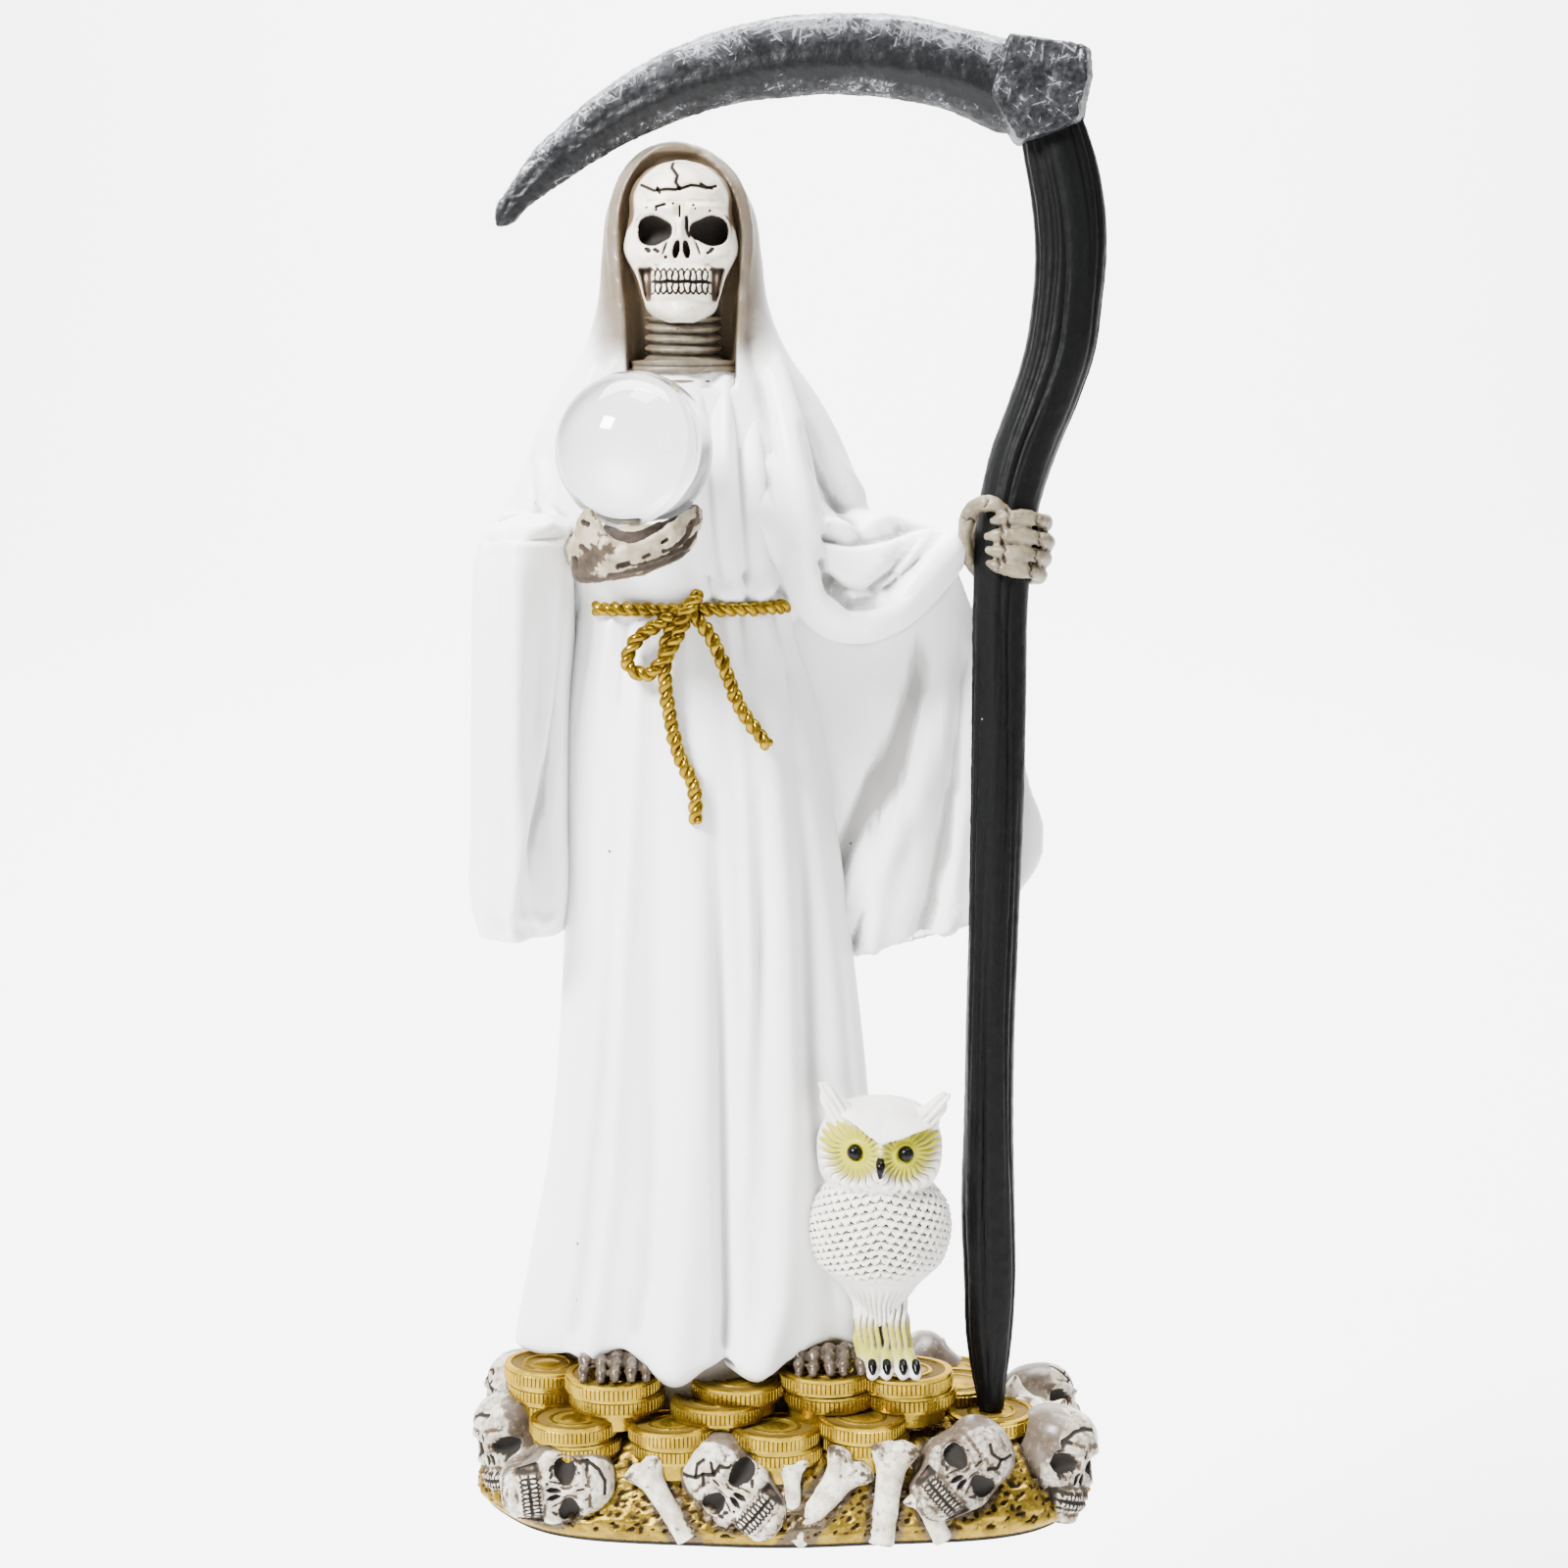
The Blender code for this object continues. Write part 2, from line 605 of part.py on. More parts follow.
def skull(name, place, size, columns, rows, hollow_segments):
    """A skull, hollowed at the eyes, the nose and the cheeks, and moved by a matrix from its own place.

    Its own place has the middle of the skull at the origin and the face towards the viewer.
    """
    rings = []
    for row in range(rows):
        t = row / (rows - 1.0)
        height = SKULL[-1][0] * (0.5 - 0.5 * math.cos(math.pi * t) * (0.45 + 0.55 * abs(math.cos(math.pi * t))))
        half_width, front, back = between(SKULL, height)
        ring = []
        for bearing in bearings(columns, 0.45):
            point = oval(bearing, height, (0.0, 0.0), half_width, front, back)
            ring.append(place @ ((point - SKULL_MIDDLE) * size))
        rings.append(ring)
    whole = loft(name, rings)
    for index, (centre, radii) in enumerate(SKULL_HOLLOWS):
        for side in (-1.0, 1.0):
            if centre[0] == 0.0 and side > 0.0:
                continue
            rings_round = hollow_segments // 2 + 1
            hollow = ball(f"hollow_{index}", (0.0, 0.0, 0.0), (1.0, 1.0, 1.0), hollow_segments, rings_round)
            middle = Vector((centre[0] * side, centre[1], centre[2])) - SKULL_MIDDLE
            scale = Matrix.Diagonal((*radii, 1.0))
            shaped = Matrix.Translation(middle * MM) @ scale
            hollow.data.transform(metres(place) @ Matrix.Scale(size, 4) @ shaped)
            combined(whole, hollow, "DIFFERENCE")
    return whole


def metres(place):
    """The same placing matrix with its shift turned from millimetres into metres."""
    turned = place.copy()
    turned.translation = place.translation * MM
    return turned


def head():
    """The skull in the hood."""
    turned = Matrix.Rotation(math.radians(HEAD_TURN), 4, "Z")
    place = Matrix.Translation(HEAD_CHIN + SKULL_MIDDLE) @ turned
    return skull("head", place, 1.0, 24, 15, 12)


def neck():
    """The ringed neck, from the jaw down into the collar."""
    rings = []
    for step in range(11):
        height = 229.0 + 1.5 * step
        bulge = 0.5 if step % 2 else -0.3
        rings.append([oval(b, height, (-20.6, -4.4), 7.2 + bulge, 6.6 + bulge, 6.0) for b in bearings(12, 0.0)])
    return loft("neck", rings)


def bone(name, start, end, radius):
    """A long bone between two points, with a two-lobed knuckle at each end."""
    start, end = Vector(start), Vector(end)
    along = (end - start).normalized()
    out = Vector((0.0, -1.0, 0.0))
    if abs(along.y) > 0.6:
        out = Vector((0.0, 0.0, 1.0))
    across = along.cross(out).normalized()
    over = across.cross(along)
    profile = ((0.0, 1.1, 0.6), (0.06, 2.0, 1.2), (0.2, 1.5, 1.1), (0.38, 1.0, 0.95))
    profile += tuple((1.0 - t, w, d) for t, w, d in reversed(profile))
    rings = []
    for t, wide, deep in profile:
        ring = []
        for step in range(8):
            angle = 2.0 * math.pi * step / 8.0
            cleft = 0.10 * (end - start).length * hump(math.cos(angle), 0.45) * (t in (0.0, 1.0))
            point = start.lerp(end, t) + across * math.cos(angle) * radius * wide
            point += over * math.sin(angle) * radius * deep
            ring.append(point + along * (cleft if t == 0.0 else -cleft))
        rings.append(ring)
    return loft(name, rings)


def coin_stack(index, x, y, top, radius, count):
    """Coins lying on each other, each a little off the one below, with a raised rim on the top one."""
    stack = []
    for level in range(count):
        shift = 0.8 * level
        height = top - COIN_THICKNESS * (level + 0.5)
        bpy.ops.mesh.primitive_cylinder_add(vertices=14, radius=radius * MM, depth=(COIN_THICKNESS - 0.5) * MM)
        coin = bpy.context.object
        coin.name = f"coin_{index}_{level}"
        coin.data.transform(Matrix.Translation(Vector((x + shift, y + shift * 0.5, height)) * MM))
        stack.append(coin)
    core = [oval(b, 0.0, (x, y), radius - 1.2, radius - 1.2, radius - 1.2) for b in bearings(12, 0.0)]
    bottom = top - COIN_THICKNESS * count - 3.0
    rings = [[Vector((p.x, p.y, z)) for p in core] for z in (bottom, top - 0.8)]
    return fused(f"stack_{index}", [*stack, loft("core", rings)])


def mound():
    """The uneven mound that carries everything, flat below."""
    rings = []
    for height, middle, half_width, front, back in MOUND:
        ring = []
        for bearing in bearings(40, 0.0):
            sine, cosine = math.sin(math.radians(bearing)), math.cos(math.radians(bearing))
            square = (abs(sine) ** 3 + abs(cosine) ** 3) ** (-1.0 / 3.0)
            lumps = 1.0 + 0.012 * math.cos(math.radians(9.0 * bearing)) + 0.010 * math.cos(
                math.radians(5.0 * bearing + 40.0)
            )
            depth = front if cosine > 0 else back
            ring.append(
                Vector((middle + half_width * sine * square * lumps, -depth * cosine * square * lumps, height))
            )
        rings.append(ring)
    return loft("mound", rings)


def feet():
    """The toes that show under the hem, in two clusters on the coins."""
    toes = []
    for foot, (x, y, z) in enumerate(((-34.0, -24.0, 33.0), (9.2, -21.4, 33.4))):
        for toe in range(5):
            shift = toe - 2.0
            centre = (x + 3.1 * shift, y + 0.35 * shift * shift, z)
            toes.append(ball(f"toe_{foot}_{toe}", centre, (1.9, 4.2, 2.5), 6, 5))
    return toes


def owl():
    """The owl: body, head, brow tufts, beak and toes."""
    rings = []
    rows = 15
    for row in range(rows):
        t = row / (rows - 1.0)
        height = OWL[0][0] + (OWL[-1][0] - OWL[0][0]) * t
        half_width, front, back = between(OWL, height)
        rings.append([oval(b, height, OWL_AXIS, half_width, front, back) for b in bearings(18, 0.1)])
    body = loft("owl_body", rings)
    x, y = OWL_AXIS.x, OWL_AXIS.y
    left_tuft = ((x - 4.0, y - 6.0, 81.0), (x - 9.9, y - 5.5, 84.4), (x - 13.8, y - 4.5, 90.8))
    right_tuft = ((x + 4.0, y - 6.0, 81.0), (x + 9.0, y - 5.5, 83.6), (x + 12.0, y - 4.5, 87.8))
    tufts = [
        tube(name, path, (3.4, 2.4, 0.9), 6)
        for name, path in (("tuft_left", left_tuft), ("tuft_right", right_tuft))
    ]
    beak_line = ((x - 1.6, y - 9.6, 78.0), (x - 1.6, y - 11.4, 76.0), (x - 1.6, y - 11.2, 73.8))
    beak = tube("beak", beak_line, (1.2, 1.2, 0.6), 6)
    toes = []
    for side in (-1.0, 1.0):
        for toe in range(3):
            centre = (x + side * 3.0 + (toe - 1.0) * 1.7, y - 8.0, 31.6)
            toes.append(ball(f"claw_{toe}_{side}", centre, (1.1, 3.0, 1.4), 6, 5))
    return [body, *tufts, beak, *toes]


def girdle_path():
    """Points of the waist rope across the front of the gown."""
    return [
        oval(b, ROPE_GIRDLE_HEIGHT, (-20.6, 0.0), 22.4, 16.4, 16.0, 0.6) for b in range(-48, 67, 8)
    ]


def rope():
    """The waist rope with its loop and its two hanging tails."""
    girdle = girdle_path()
    pieces = [tube("girdle", girdle, [ROPE_RADIUS] * len(girdle), 5)]
    pieces.append(ball("knot", (-18.8, -18.6, 186.2), (3.0, 2.2, 2.4), 8, 6))
    for name, path in (("loop", ROPE_LOOP), ("tail_left", ROPE_TAIL_LEFT), ("tail_right", ROPE_TAIL_RIGHT)):
        pieces.append(tube(name, path, [ROPE_RADIUS] * len(path), 5))
    return pieces


def cupped_hand():
    """The right hand: a palm under the ball, four fingers on its right and the thumb on its left."""
    pieces = [
        ball("palm", (-30.6, -38.6, 198.6), (11.6, 9.6, 6.2), 16, 10, (0.0, -8.0, 0.0)),
        tube("forearm", ((-46.0, -14.0, 196.0), (-38.0, -33.0, 197.0)), (6.0, 5.6), 10),
    ]
    for finger in range(4):
        y = -46.4 + 4.4 * finger
        rise = 0.5 * abs(finger - 1.0)
        points = (
            (-29.0, y, 195.6), (-22.4, y - 0.2, 197.4), (-17.0, y + 0.2, 201.4), (-14.6, y + 0.8, 207.2 - rise),
        )
        pieces.append(tube(f"finger_{finger}", points, (2.7, 2.6, 2.3, 1.5), 8))
    thumb = ((-39.4, -38.0, 196.0), (-39.6, -44.0, 199.6), (-37.4, -48.0, 204.6), (-36.4, -48.2, 208.4))
    pieces.append(tube("thumb", thumb, (3.4, 3.0, 2.3, 1.5), 8))
    return pieces


def figure():
    """The whole casting, with a seat for the ball and a socket for the wrist of the other hand."""
    pieces = [mound(), under_gown(), gown(), mantle(), right_sleeve(), left_panel(), swag(), drape_edge()]
    pieces += [head(), neck(), *cupped_hand(), *feet(), *owl(), *rope()]
    pieces += [coin_stack(index, *coin) for index, coin in enumerate(COINS)]
    for index, (centre, turn, size) in enumerate(BASE_SKULLS):
        turned = Euler([math.radians(a) for a in turn]).to_matrix().to_4x4()
        place = Matrix.Translation(Vector(centre)) @ turned
        pieces.append(skull(f"base_skull_{index}", place, size, 12, 9, 8))
    pieces += [bone(f"base_bone_{index}", *ends) for index, ends in enumerate(BASE_BONES)]
    whole = fused("figure", pieces, "MANIFOLD")
    keep_main_shell(whole)
    lightened(whole, FIGURE_SHARE)
    return whole


def handle():
    """The crooked wooden handle, tapered to its foot."""
    rings = []
    rows = 24
    for row in range(rows):
        height = HANDLE[0][0] + (HANDLE[-1][0] - HANDLE[0][0]) * row / (rows - 1.0)
        x, y, half_width, half_depth = between(HANDLE, height)
        ring = []
        for step in range(12):
            angle = 2.0 * math.pi * step / 12.0
            ring.append(Vector((x + half_width * math.cos(angle), y + half_depth * math.sin(angle), height)))
        rings.append(ring)
    return loft("handle", rings)


def blade():
    """The curved blade, thick at the back and thinner at the lower edge."""
    stations = [(float(i), *station) for i, station in enumerate(BLADE)]
    outline = (
        (0.0, 0.0), (0.1, -0.5), (0.28, -0.95), (0.6, -1.0), (0.88, -0.8), (1.0, 0.0),
        (0.88, 0.8), (0.6, 1.0), (0.28, 0.95), (0.1, 0.5),
    )
    rings = []
    for step in range(2 * len(BLADE) - 1):
        upper_x, upper_z, lower_x, lower_z, thick = between(stations, step / 2.0)
        upper, lower = Vector((upper_x, BLADE_Y, upper_z)), Vector((lower_x, BLADE_Y, lower_z))
        rings.append([lower.lerp(upper, u) + Vector((0.0, thick * v, 0.0)) for u, v in outline])
    return loft("blade", rings)


def socket():
    """The block that joins the blade to the handle, its right side turned a little to the viewer."""
    rings = []
    middle = sum((Vector((x, 0.0, z)) for x, z in SOCKET_FACE), Vector()) / len(SOCKET_FACE)
    sections = ((0.0, 0.93, 0.0), (0.08, 1.0, 0.2), (0.5, 1.03, 1.6), (0.92, 0.98, 1.8), (1.0, 0.9, 1.8))
    for depth, shrink, shift in sections:
        y = SOCKET_FRONT + SOCKET_DEPTH * depth
        ring = []
        for x, z in SOCKET_FACE:
            moved = shift if x > middle.x else shift * 0.3
            across = middle.x + (x - middle.x) * shrink + moved
            ring.append(Vector((across, y, middle.z + (z - middle.z) * shrink)))
        rings.append(ring)
    return loft("socket", rings)


def gripping_hand():
    """The left hand: four fingers round the front of the handle, a thumb up its side, a palm and a wrist."""
    start, end, radius = WRIST
    pieces = [tube("wrist", (start, end), (radius, radius), 12)]
    pieces.append(ball("gripping_palm", (39.6, -7.4, 198.2), (4.6, 5.4, 8.2), 12, 8))
    for index, height in enumerate(GRIP_HEIGHTS):
        points = (
            (49.0, -3.4, height - 0.6), (52.6, -8.6, height - 0.4), (51.0, -13.6, height),
            (45.6, -15.6, height + 0.4), (40.6, -14.6, height + 0.8),
        )
        pieces.append(tube(f"grip_{index}", points, [GRIP_RADIUS] * 4 + [1.5], 8))
    thumb = ((38.4, -9.0, 191.6), (36.6, -11.4, 199.0), (38.6, -13.2, 205.6), (44.6, -13.8, 206.8))
    pieces.append(tube("gripping_thumb", thumb, (2.6, 2.6, 2.4, 1.6), 8))
    return pieces


def grown(piece, by):
    """A copy of a piece, swollen outwards all over."""
    mesh = piece.data.copy()
    normals = [v.normal.copy() for v in mesh.vertices]
    for vertex, normal in zip(mesh.vertices, normals):
        vertex.co += normal * by * 1.15 * MM
    return link("clearance", mesh)


def slab_below():
    """A slab that trims the underside flat."""
    bpy.ops.mesh.primitive_cube_add(size=1.0)
    piece = bpy.context.object
    piece.name = "underside_trim"
    size = Matrix.Diagonal((0.4, 0.4, 0.02, 1.0))
    piece.data.transform(Matrix.Translation(Vector((0.0, 0.0, -10.0)) * MM) @ size)
    return piece


def clear_scene():
    """Removes whatever the scene holds."""
    for piece in list(bpy.data.objects):
        bpy.data.objects.remove(piece)


def material(name, colour, roughness, metallic=0.0):
    """A plain material with a colour, a roughness and a metallic value."""
    made = bpy.data.materials.new(name)
    made.use_nodes = True
    shader = made.node_tree.nodes["Principled BSDF"]
    shader.inputs["Base Color"].default_value = (*colour, 1.0)
    shader.inputs["Roughness"].default_value = roughness
    shader.inputs["Metallic"].default_value = metallic
    return made


def main():
    """Builds the three pieces and puts them in one collection."""
    clear_scene()
    casting = figure()
    scythe = fused("scythe", [handle(), blade(), socket(), *gripping_hand()])
    lightened(scythe, SCYTHE_SHARE)
    glass = ball("crystal_ball", BALL_CENTRE, (BALL_RADIUS, BALL_RADIUS, BALL_RADIUS), 24, 12)
    seat = BALL_RADIUS + GAP
    combined(casting, ball("seat", BALL_CENTRE, (seat, seat, seat), 24, 14), "DIFFERENCE", "MANIFOLD")
    combined(casting, grown(scythe, GAP), "DIFFERENCE", "MANIFOLD")
    combined(casting, slab_below(), "DIFFERENCE", "MANIFOLD")
    keep_main_shell(casting)
    finishes = (
        (casting, material("white_resin", (0.86, 0.86, 0.85), 0.45)),
        (scythe, material("black_resin", (0.03, 0.033, 0.035), 0.4)),
        (glass, material("clear_glass", (0.95, 0.96, 0.97), 0.03)),
    )
    figurine = bpy.data.collections.new("santa_muerte_figurine")
    bpy.context.scene.collection.children.link(figurine)
    for piece, finish in finishes:
        piece.data.materials.clear()
        piece.data.materials.append(finish)
        for holder in piece.users_collection:
            holder.objects.unlink(piece)
        figurine.objects.link(piece)
        piece.data.shade_smooth()
        piece.data.set_sharp_from_angle(angle=SHARP_ANGLE)


main()
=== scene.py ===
"""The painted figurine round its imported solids: gown, skull, hands, rope, owl, scythe, glass ball and base.

All sizes in this file are in millimetres unless a name says otherwise, and MM turns them into metres.
X runs to the viewer's right, Y away from the viewer and Z up.
"""

import logging
import math
from collections.abc import Iterable, Sequence
from dataclasses import dataclass, field
from enum import Enum

import bmesh
import bpy
import numpy as np
from mathutils import Euler, Matrix, Vector, noise


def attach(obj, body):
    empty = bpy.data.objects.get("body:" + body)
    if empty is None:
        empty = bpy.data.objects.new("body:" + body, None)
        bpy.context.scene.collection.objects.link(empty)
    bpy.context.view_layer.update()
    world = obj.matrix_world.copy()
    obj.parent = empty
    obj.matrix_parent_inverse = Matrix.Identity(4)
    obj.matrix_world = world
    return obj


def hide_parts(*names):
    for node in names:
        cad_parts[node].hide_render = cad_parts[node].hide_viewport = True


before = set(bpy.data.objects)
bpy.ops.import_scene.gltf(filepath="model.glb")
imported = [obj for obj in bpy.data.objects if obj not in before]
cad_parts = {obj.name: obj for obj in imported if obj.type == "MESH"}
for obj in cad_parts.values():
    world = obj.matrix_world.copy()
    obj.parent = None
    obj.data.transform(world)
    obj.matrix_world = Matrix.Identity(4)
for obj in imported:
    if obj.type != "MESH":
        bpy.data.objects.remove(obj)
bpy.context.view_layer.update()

MM = 0.001
LOG = logging.getLogger("figurine")
Colour = tuple[float, float, float]
Point = tuple[float, float, float]
Spot = tuple[float, float]
Table = tuple[tuple[float, ...], ...]
Net = np.ndarray
Thing = bpy.types.Object


class Slot(Enum):
    """The record's material slots, each with the solid it belongs to."""

    FIGURE = ("white_resin", "figure")
    SCYTHE = ("black_resin", "scythe")
    BALL = ("clear_glass", "crystal_ball")


class Primitive(Enum):
    """The primitives that pieces start from."""

    CYLINDER = "primitive_cylinder_add"
    SPHERE = "primitive_uv_sphere_add"


# Small sums that every shape uses


def ease(value: Net | float) -> Net:
    """A smooth step from 0 to 1 over the range 0 to 1."""
    t = np.clip(value, 0.0, 1.0)
    return t * t * (3.0 - 2.0 * t)


def hump(distance: Net | float, width: float) -> Net:
    """A smooth hump, 1 in its middle and nearly 0 at twice its width."""
    return np.exp(-((distance / width) ** 2))


def turned_by(start: float | Net, end: float | Net) -> Net:
    """The angle from one bearing to another in degrees, between -180 and 180."""
    return (end - start + 180.0) % 360.0 - 180.0


def cos_of(degrees: Net | float) -> Net:
    """The cosine of an angle in degrees."""
    return np.cos(np.radians(degrees))


def circle(count: int) -> Net:
    """Even angles once round, in radians, as one row."""
    return 2.0 * np.pi * np.arange(count)[None, :] / count


def gathered(x: Net, y: Net | float, z: Net) -> Net:
    """A net of points from its three coordinates."""
    return np.stack(np.broadcast_arrays(x, y, z), axis=-1)


def capped(values: Net, foot: float = 0.0, crown: float = 0.0) -> Net:
    """A net's values as one list, with those of the two points that close its ends."""
    return np.concatenate((values.ravel(), (foot, crown)))


def bearings(count: int, crowding: float) -> Net:
    """Bearings once round in degrees, 0 towards the viewer and positive to the right.

    Args:
        count: How many bearings there are.
        crowding: 0 for an even spread, towards 1 for a crowd in front.
    """
    places = 2.0 * np.arange(count) / count - 1.0
    return 180.0 * ((1.0 - crowding) * places + crowding * places**3)


@dataclass(frozen=True)
class Stations:
    """Sizes of a form at places along it, joined by smooth curves."""

    rows: Table

    @property
    def ends(self) -> Spot:
        """The first and the last place."""
        return self.rows[0][0], self.rows[-1][0]

    def at(self, place: Net | float) -> Net:
        """Every size at the given places, one array for each column of sizes."""
        table = np.array(self.rows)
        along, sizes = table[:, 0], table[:, 1:]
        slopes = np.gradient(sizes, along, axis=0)
        p = np.clip(np.asarray(place, dtype=float), along[0], along[-1])
        k = np.clip(np.searchsorted(along, p, side="right") - 1, 0, len(along) - 2)
        span = along[k + 1] - along[k]
        t = ((p - along[k]) / span)[..., None]
        span = span[..., None]
        values = (
            (2 * t**3 - 3 * t**2 + 1) * sizes[k]
            + (t**3 - 2 * t**2 + t) * span * slopes[k]
            + (3 * t**2 - 2 * t**3) * sizes[k + 1]
            + (t**3 - t**2) * span * slopes[k + 1]
        )
        return np.moveaxis(values, -1, 0)


@dataclass(frozen=True)
class Stroke:
    """One pull of a modelling tool: a ridge or a groove along a line seen from the front."""

    path: tuple[Spot, ...]
    width: float
    rise: tuple[float, ...]

    def lift(self, x: Net, z: Net) -> Net:
        """How far the stroke raises each point, seen from the front; negative in a groove."""
        path = np.array(self.path)
        lengths = np.hypot(*np.diff(path, axis=0).T)
        reached = np.concatenate(([0.0], np.cumsum(lengths)))
        nearest = np.full(x.shape, 1e9)
        travelled = np.zeros(x.shape)
        for i, length in enumerate(lengths):
            dx, dz = path[i + 1] - path[i]
            t = np.clip(((x - path[i][0]) * dx + (z - path[i][1]) * dz) / length**2, 0.0, 1.0)
            gap = (x - path[i][0] - t * dx) ** 2 + (z - path[i][1] - t * dz) ** 2
            closer = gap < nearest
            nearest = np.where(closer, gap, nearest)
            travelled = np.where(closer, reached[i] + t * length, travelled)
        marks = np.linspace(0.0, reached[-1], len(self.rise))
        return np.interp(travelled, marks, self.rise) * np.exp(-nearest / self.width**2)


def strokes(*rows: tuple[float | tuple[float, ...], ...]) -> tuple[Stroke, ...]:
    """Strokes from rows of the width, the rise, and then x and z at each point of the path."""
    made = []
    for width, rise, *path in rows:
        rises = rise if isinstance(rise, tuple) else (rise, rise)
        made.append(Stroke(tuple(zip(path[::2], path[1::2])), width, rises))
    return tuple(made)


def oval_net(
    heights: Net, turns: Net, x: Net | float, y: Net | float, half: Net | float, front: Net | float,
    back: Net | float, out: Net | float
) -> Net:
    """Points round upright ovals, as rows by columns by x, y and z.

    Args:
        heights: Height of each point.
        turns: Bearing of each point in degrees.
        x: Middle of each oval across.
        y: Middle of each oval from front to back.
        half: Half width.
        front: Depth in front of the middle.
        back: Depth behind the middle.
        out: How far each point is pushed out.
    """
    sine, cosine = np.sin(np.radians(turns)), cos_of(turns)
    depth = np.where(cosine > 0.0, front, back)
    return gathered(x + (half + out) * sine, y - (depth + out) * cosine, heights)


# The modelling bench: primitives, nets, edit mode and modifiers


def put_down() -> None:
    """Leaves object mode with nothing selected."""
    for piece in list(bpy.context.selected_objects):
        piece.select_set(False)


def take(piece: Thing) -> None:
    """Makes one object the only selected one."""
    put_down()
    piece.select_set(True)
    bpy.context.view_layer.objects.active = piece


def add_primitive(name: str, kind: Primitive, **settings: object) -> Thing:
    """Adds a primitive with the operator's own settings, in metres, and names it."""
    put_down()
    getattr(bpy.ops.mesh, kind.value)(**settings)
    piece = bpy.context.object
    piece.name = piece.data.name = name
    return piece


def open_mesh(piece: Thing) -> bmesh.types.BMesh:
    """Opens a piece's faces in edit mode with nothing selected."""
    take(piece)
    bpy.ops.object.mode_set(mode="EDIT")
    bpy.ops.mesh.select_mode(type="FACE")
    bpy.ops.mesh.select_all(action="DESELECT")
    return bmesh.from_edit_mesh(piece.data)


def close_mesh() -> None:
    """Leaves edit mode."""
    bpy.ops.object.mode_set(mode="OBJECT")


def apply(piece: Thing, kind: str, **settings: object) -> None:
    """Adds a modifier with its settings and applies it."""
    modifier = piece.modifiers.new(kind.lower(), kind)
    for key, value in settings.items():
        setattr(modifier, key, value)
    take(piece)
    bpy.ops.object.modifier_apply(modifier=modifier.name)


def place_object(name: str, data: bpy.types.ID) -> Thing:
    """Puts a new object with the given data in the scene."""
    made = bpy.data.objects.new(name, data)
    bpy.context.scene.collection.objects.link(made)
    return made


def ball(
    name: str, centre: Point, radius: float, segments: int, rings: int, stretch: Point = (1.0, 1.0, 1.0)
) -> Thing:
    """A ball at a place, stretched along each axis."""
    piece = add_primitive(name, Primitive.SPHERE, segments=segments, ring_count=rings, radius=radius * MM)
    piece.data.transform(Matrix.Translation(Vector(centre) * MM) @ Matrix.Diagonal((*stretch, 1.0)))
    return piece


def cut(piece: Thing, tool: Thing) -> None:
    """Cuts a tool's shape out of a piece and throws the tool away."""
    apply(piece, "BOOLEAN", operation="DIFFERENCE", object=tool)
    bpy.data.objects.remove(tool)


def join_up(name: str, pieces: Sequence[Thing]) -> Thing:
    """Joins several objects into one mesh."""
    take(pieces[0])
    for piece in pieces:
        piece.select_set(True)
    if len(pieces) > 1:
        bpy.ops.object.join()
    joined = bpy.context.view_layer.objects.active
    joined.name = joined.data.name = name
    return joined


def smooth(piece: Thing, degrees: float = 180.0) -> None:
    """Shades a piece smooth, with edges sharper than the angle left crisp."""
    take(piece)
    if degrees >= 180.0:
        bpy.ops.object.shade_smooth()
    else:
        bpy.ops.object.shade_smooth_by_angle(angle=math.radians(degrees))


def skin(name: str, points: Net) -> Thing:
    """Skins a net of points that runs once round, and closes both ends with a fan.

    Args:
        name: The name of the new object.
        points: Rows by columns by x, y and z, rows upwards and columns to the right in front.
    """
    rows, columns = points.shape[:2]
    ends = np.stack((points[0].mean(axis=0), points[-1].mean(axis=0)))
    corners = np.concatenate((points.reshape(-1, 3), ends)) * MM
    low = (np.arange(rows - 1)[:, None] * columns + np.arange(columns)).ravel()
    side = (np.arange(rows - 1)[:, None] * columns + (np.arange(columns) + 1) % columns).ravel()
    faces = np.stack((low, side, side + columns, low + columns), axis=1).tolist()
    around = [(i, (i + 1) % columns) for i in range(columns)]
    foot, crown = rows * columns, rows * columns + 1
    last = (rows - 1) * columns
    faces += [(foot, b, a) for a, b in around]
    faces += [(crown, last + a, last + b) for a, b in around]
    mesh = bpy.data.meshes.new(name)
    mesh.from_pydata(corners.tolist(), [], faces)
    mesh.update()
    return place_object(name, mesh)


def fuse(name: str, pieces: Sequence[Thing], voxel: float, passes: int, limit: int) -> Thing:
    """Melts closed pieces into one skin, as a casting is.

    Args:
        name: The name of the result.
        pieces: The closed pieces, which are used up.
        voxel: Size of the finest feature that is kept, in millimetres.
        passes: How many times the skin is smoothed.
        limit: The most triangles that are kept.
    """
    whole = join_up(name, pieces)
    apply(whole, "REMESH", mode="VOXEL", voxel_size=voxel * MM, adaptivity=0.0)
    if passes:
        apply(whole, "SMOOTH", factor=0.5, iterations=passes)
    count = 2 * len(whole.data.polygons)
    if count > limit:
        apply(whole, "DECIMATE", ratio=limit / count)
    return whole


def points_of(piece: Thing) -> Net:
    """The piece's vertices in millimetres."""
    flat = np.empty(3 * len(piece.data.vertices))
    piece.data.vertices.foreach_get("co", flat)
    return flat.reshape(-1, 3) / MM


def normals_of(piece: Thing) -> Net:
    """The piece's vertex normals."""
    flat = np.empty(3 * len(piece.data.vertices), dtype=np.float32)
    piece.data.vertex_normals.foreach_get("vector", flat)
    return flat.reshape(-1, 3).astype(float)


def move_to(piece: Thing, points: Net) -> None:
    """Puts the piece's vertices at the given points."""
    piece.data.vertices.foreach_set("co", (points * MM).ravel())
    piece.data.update()


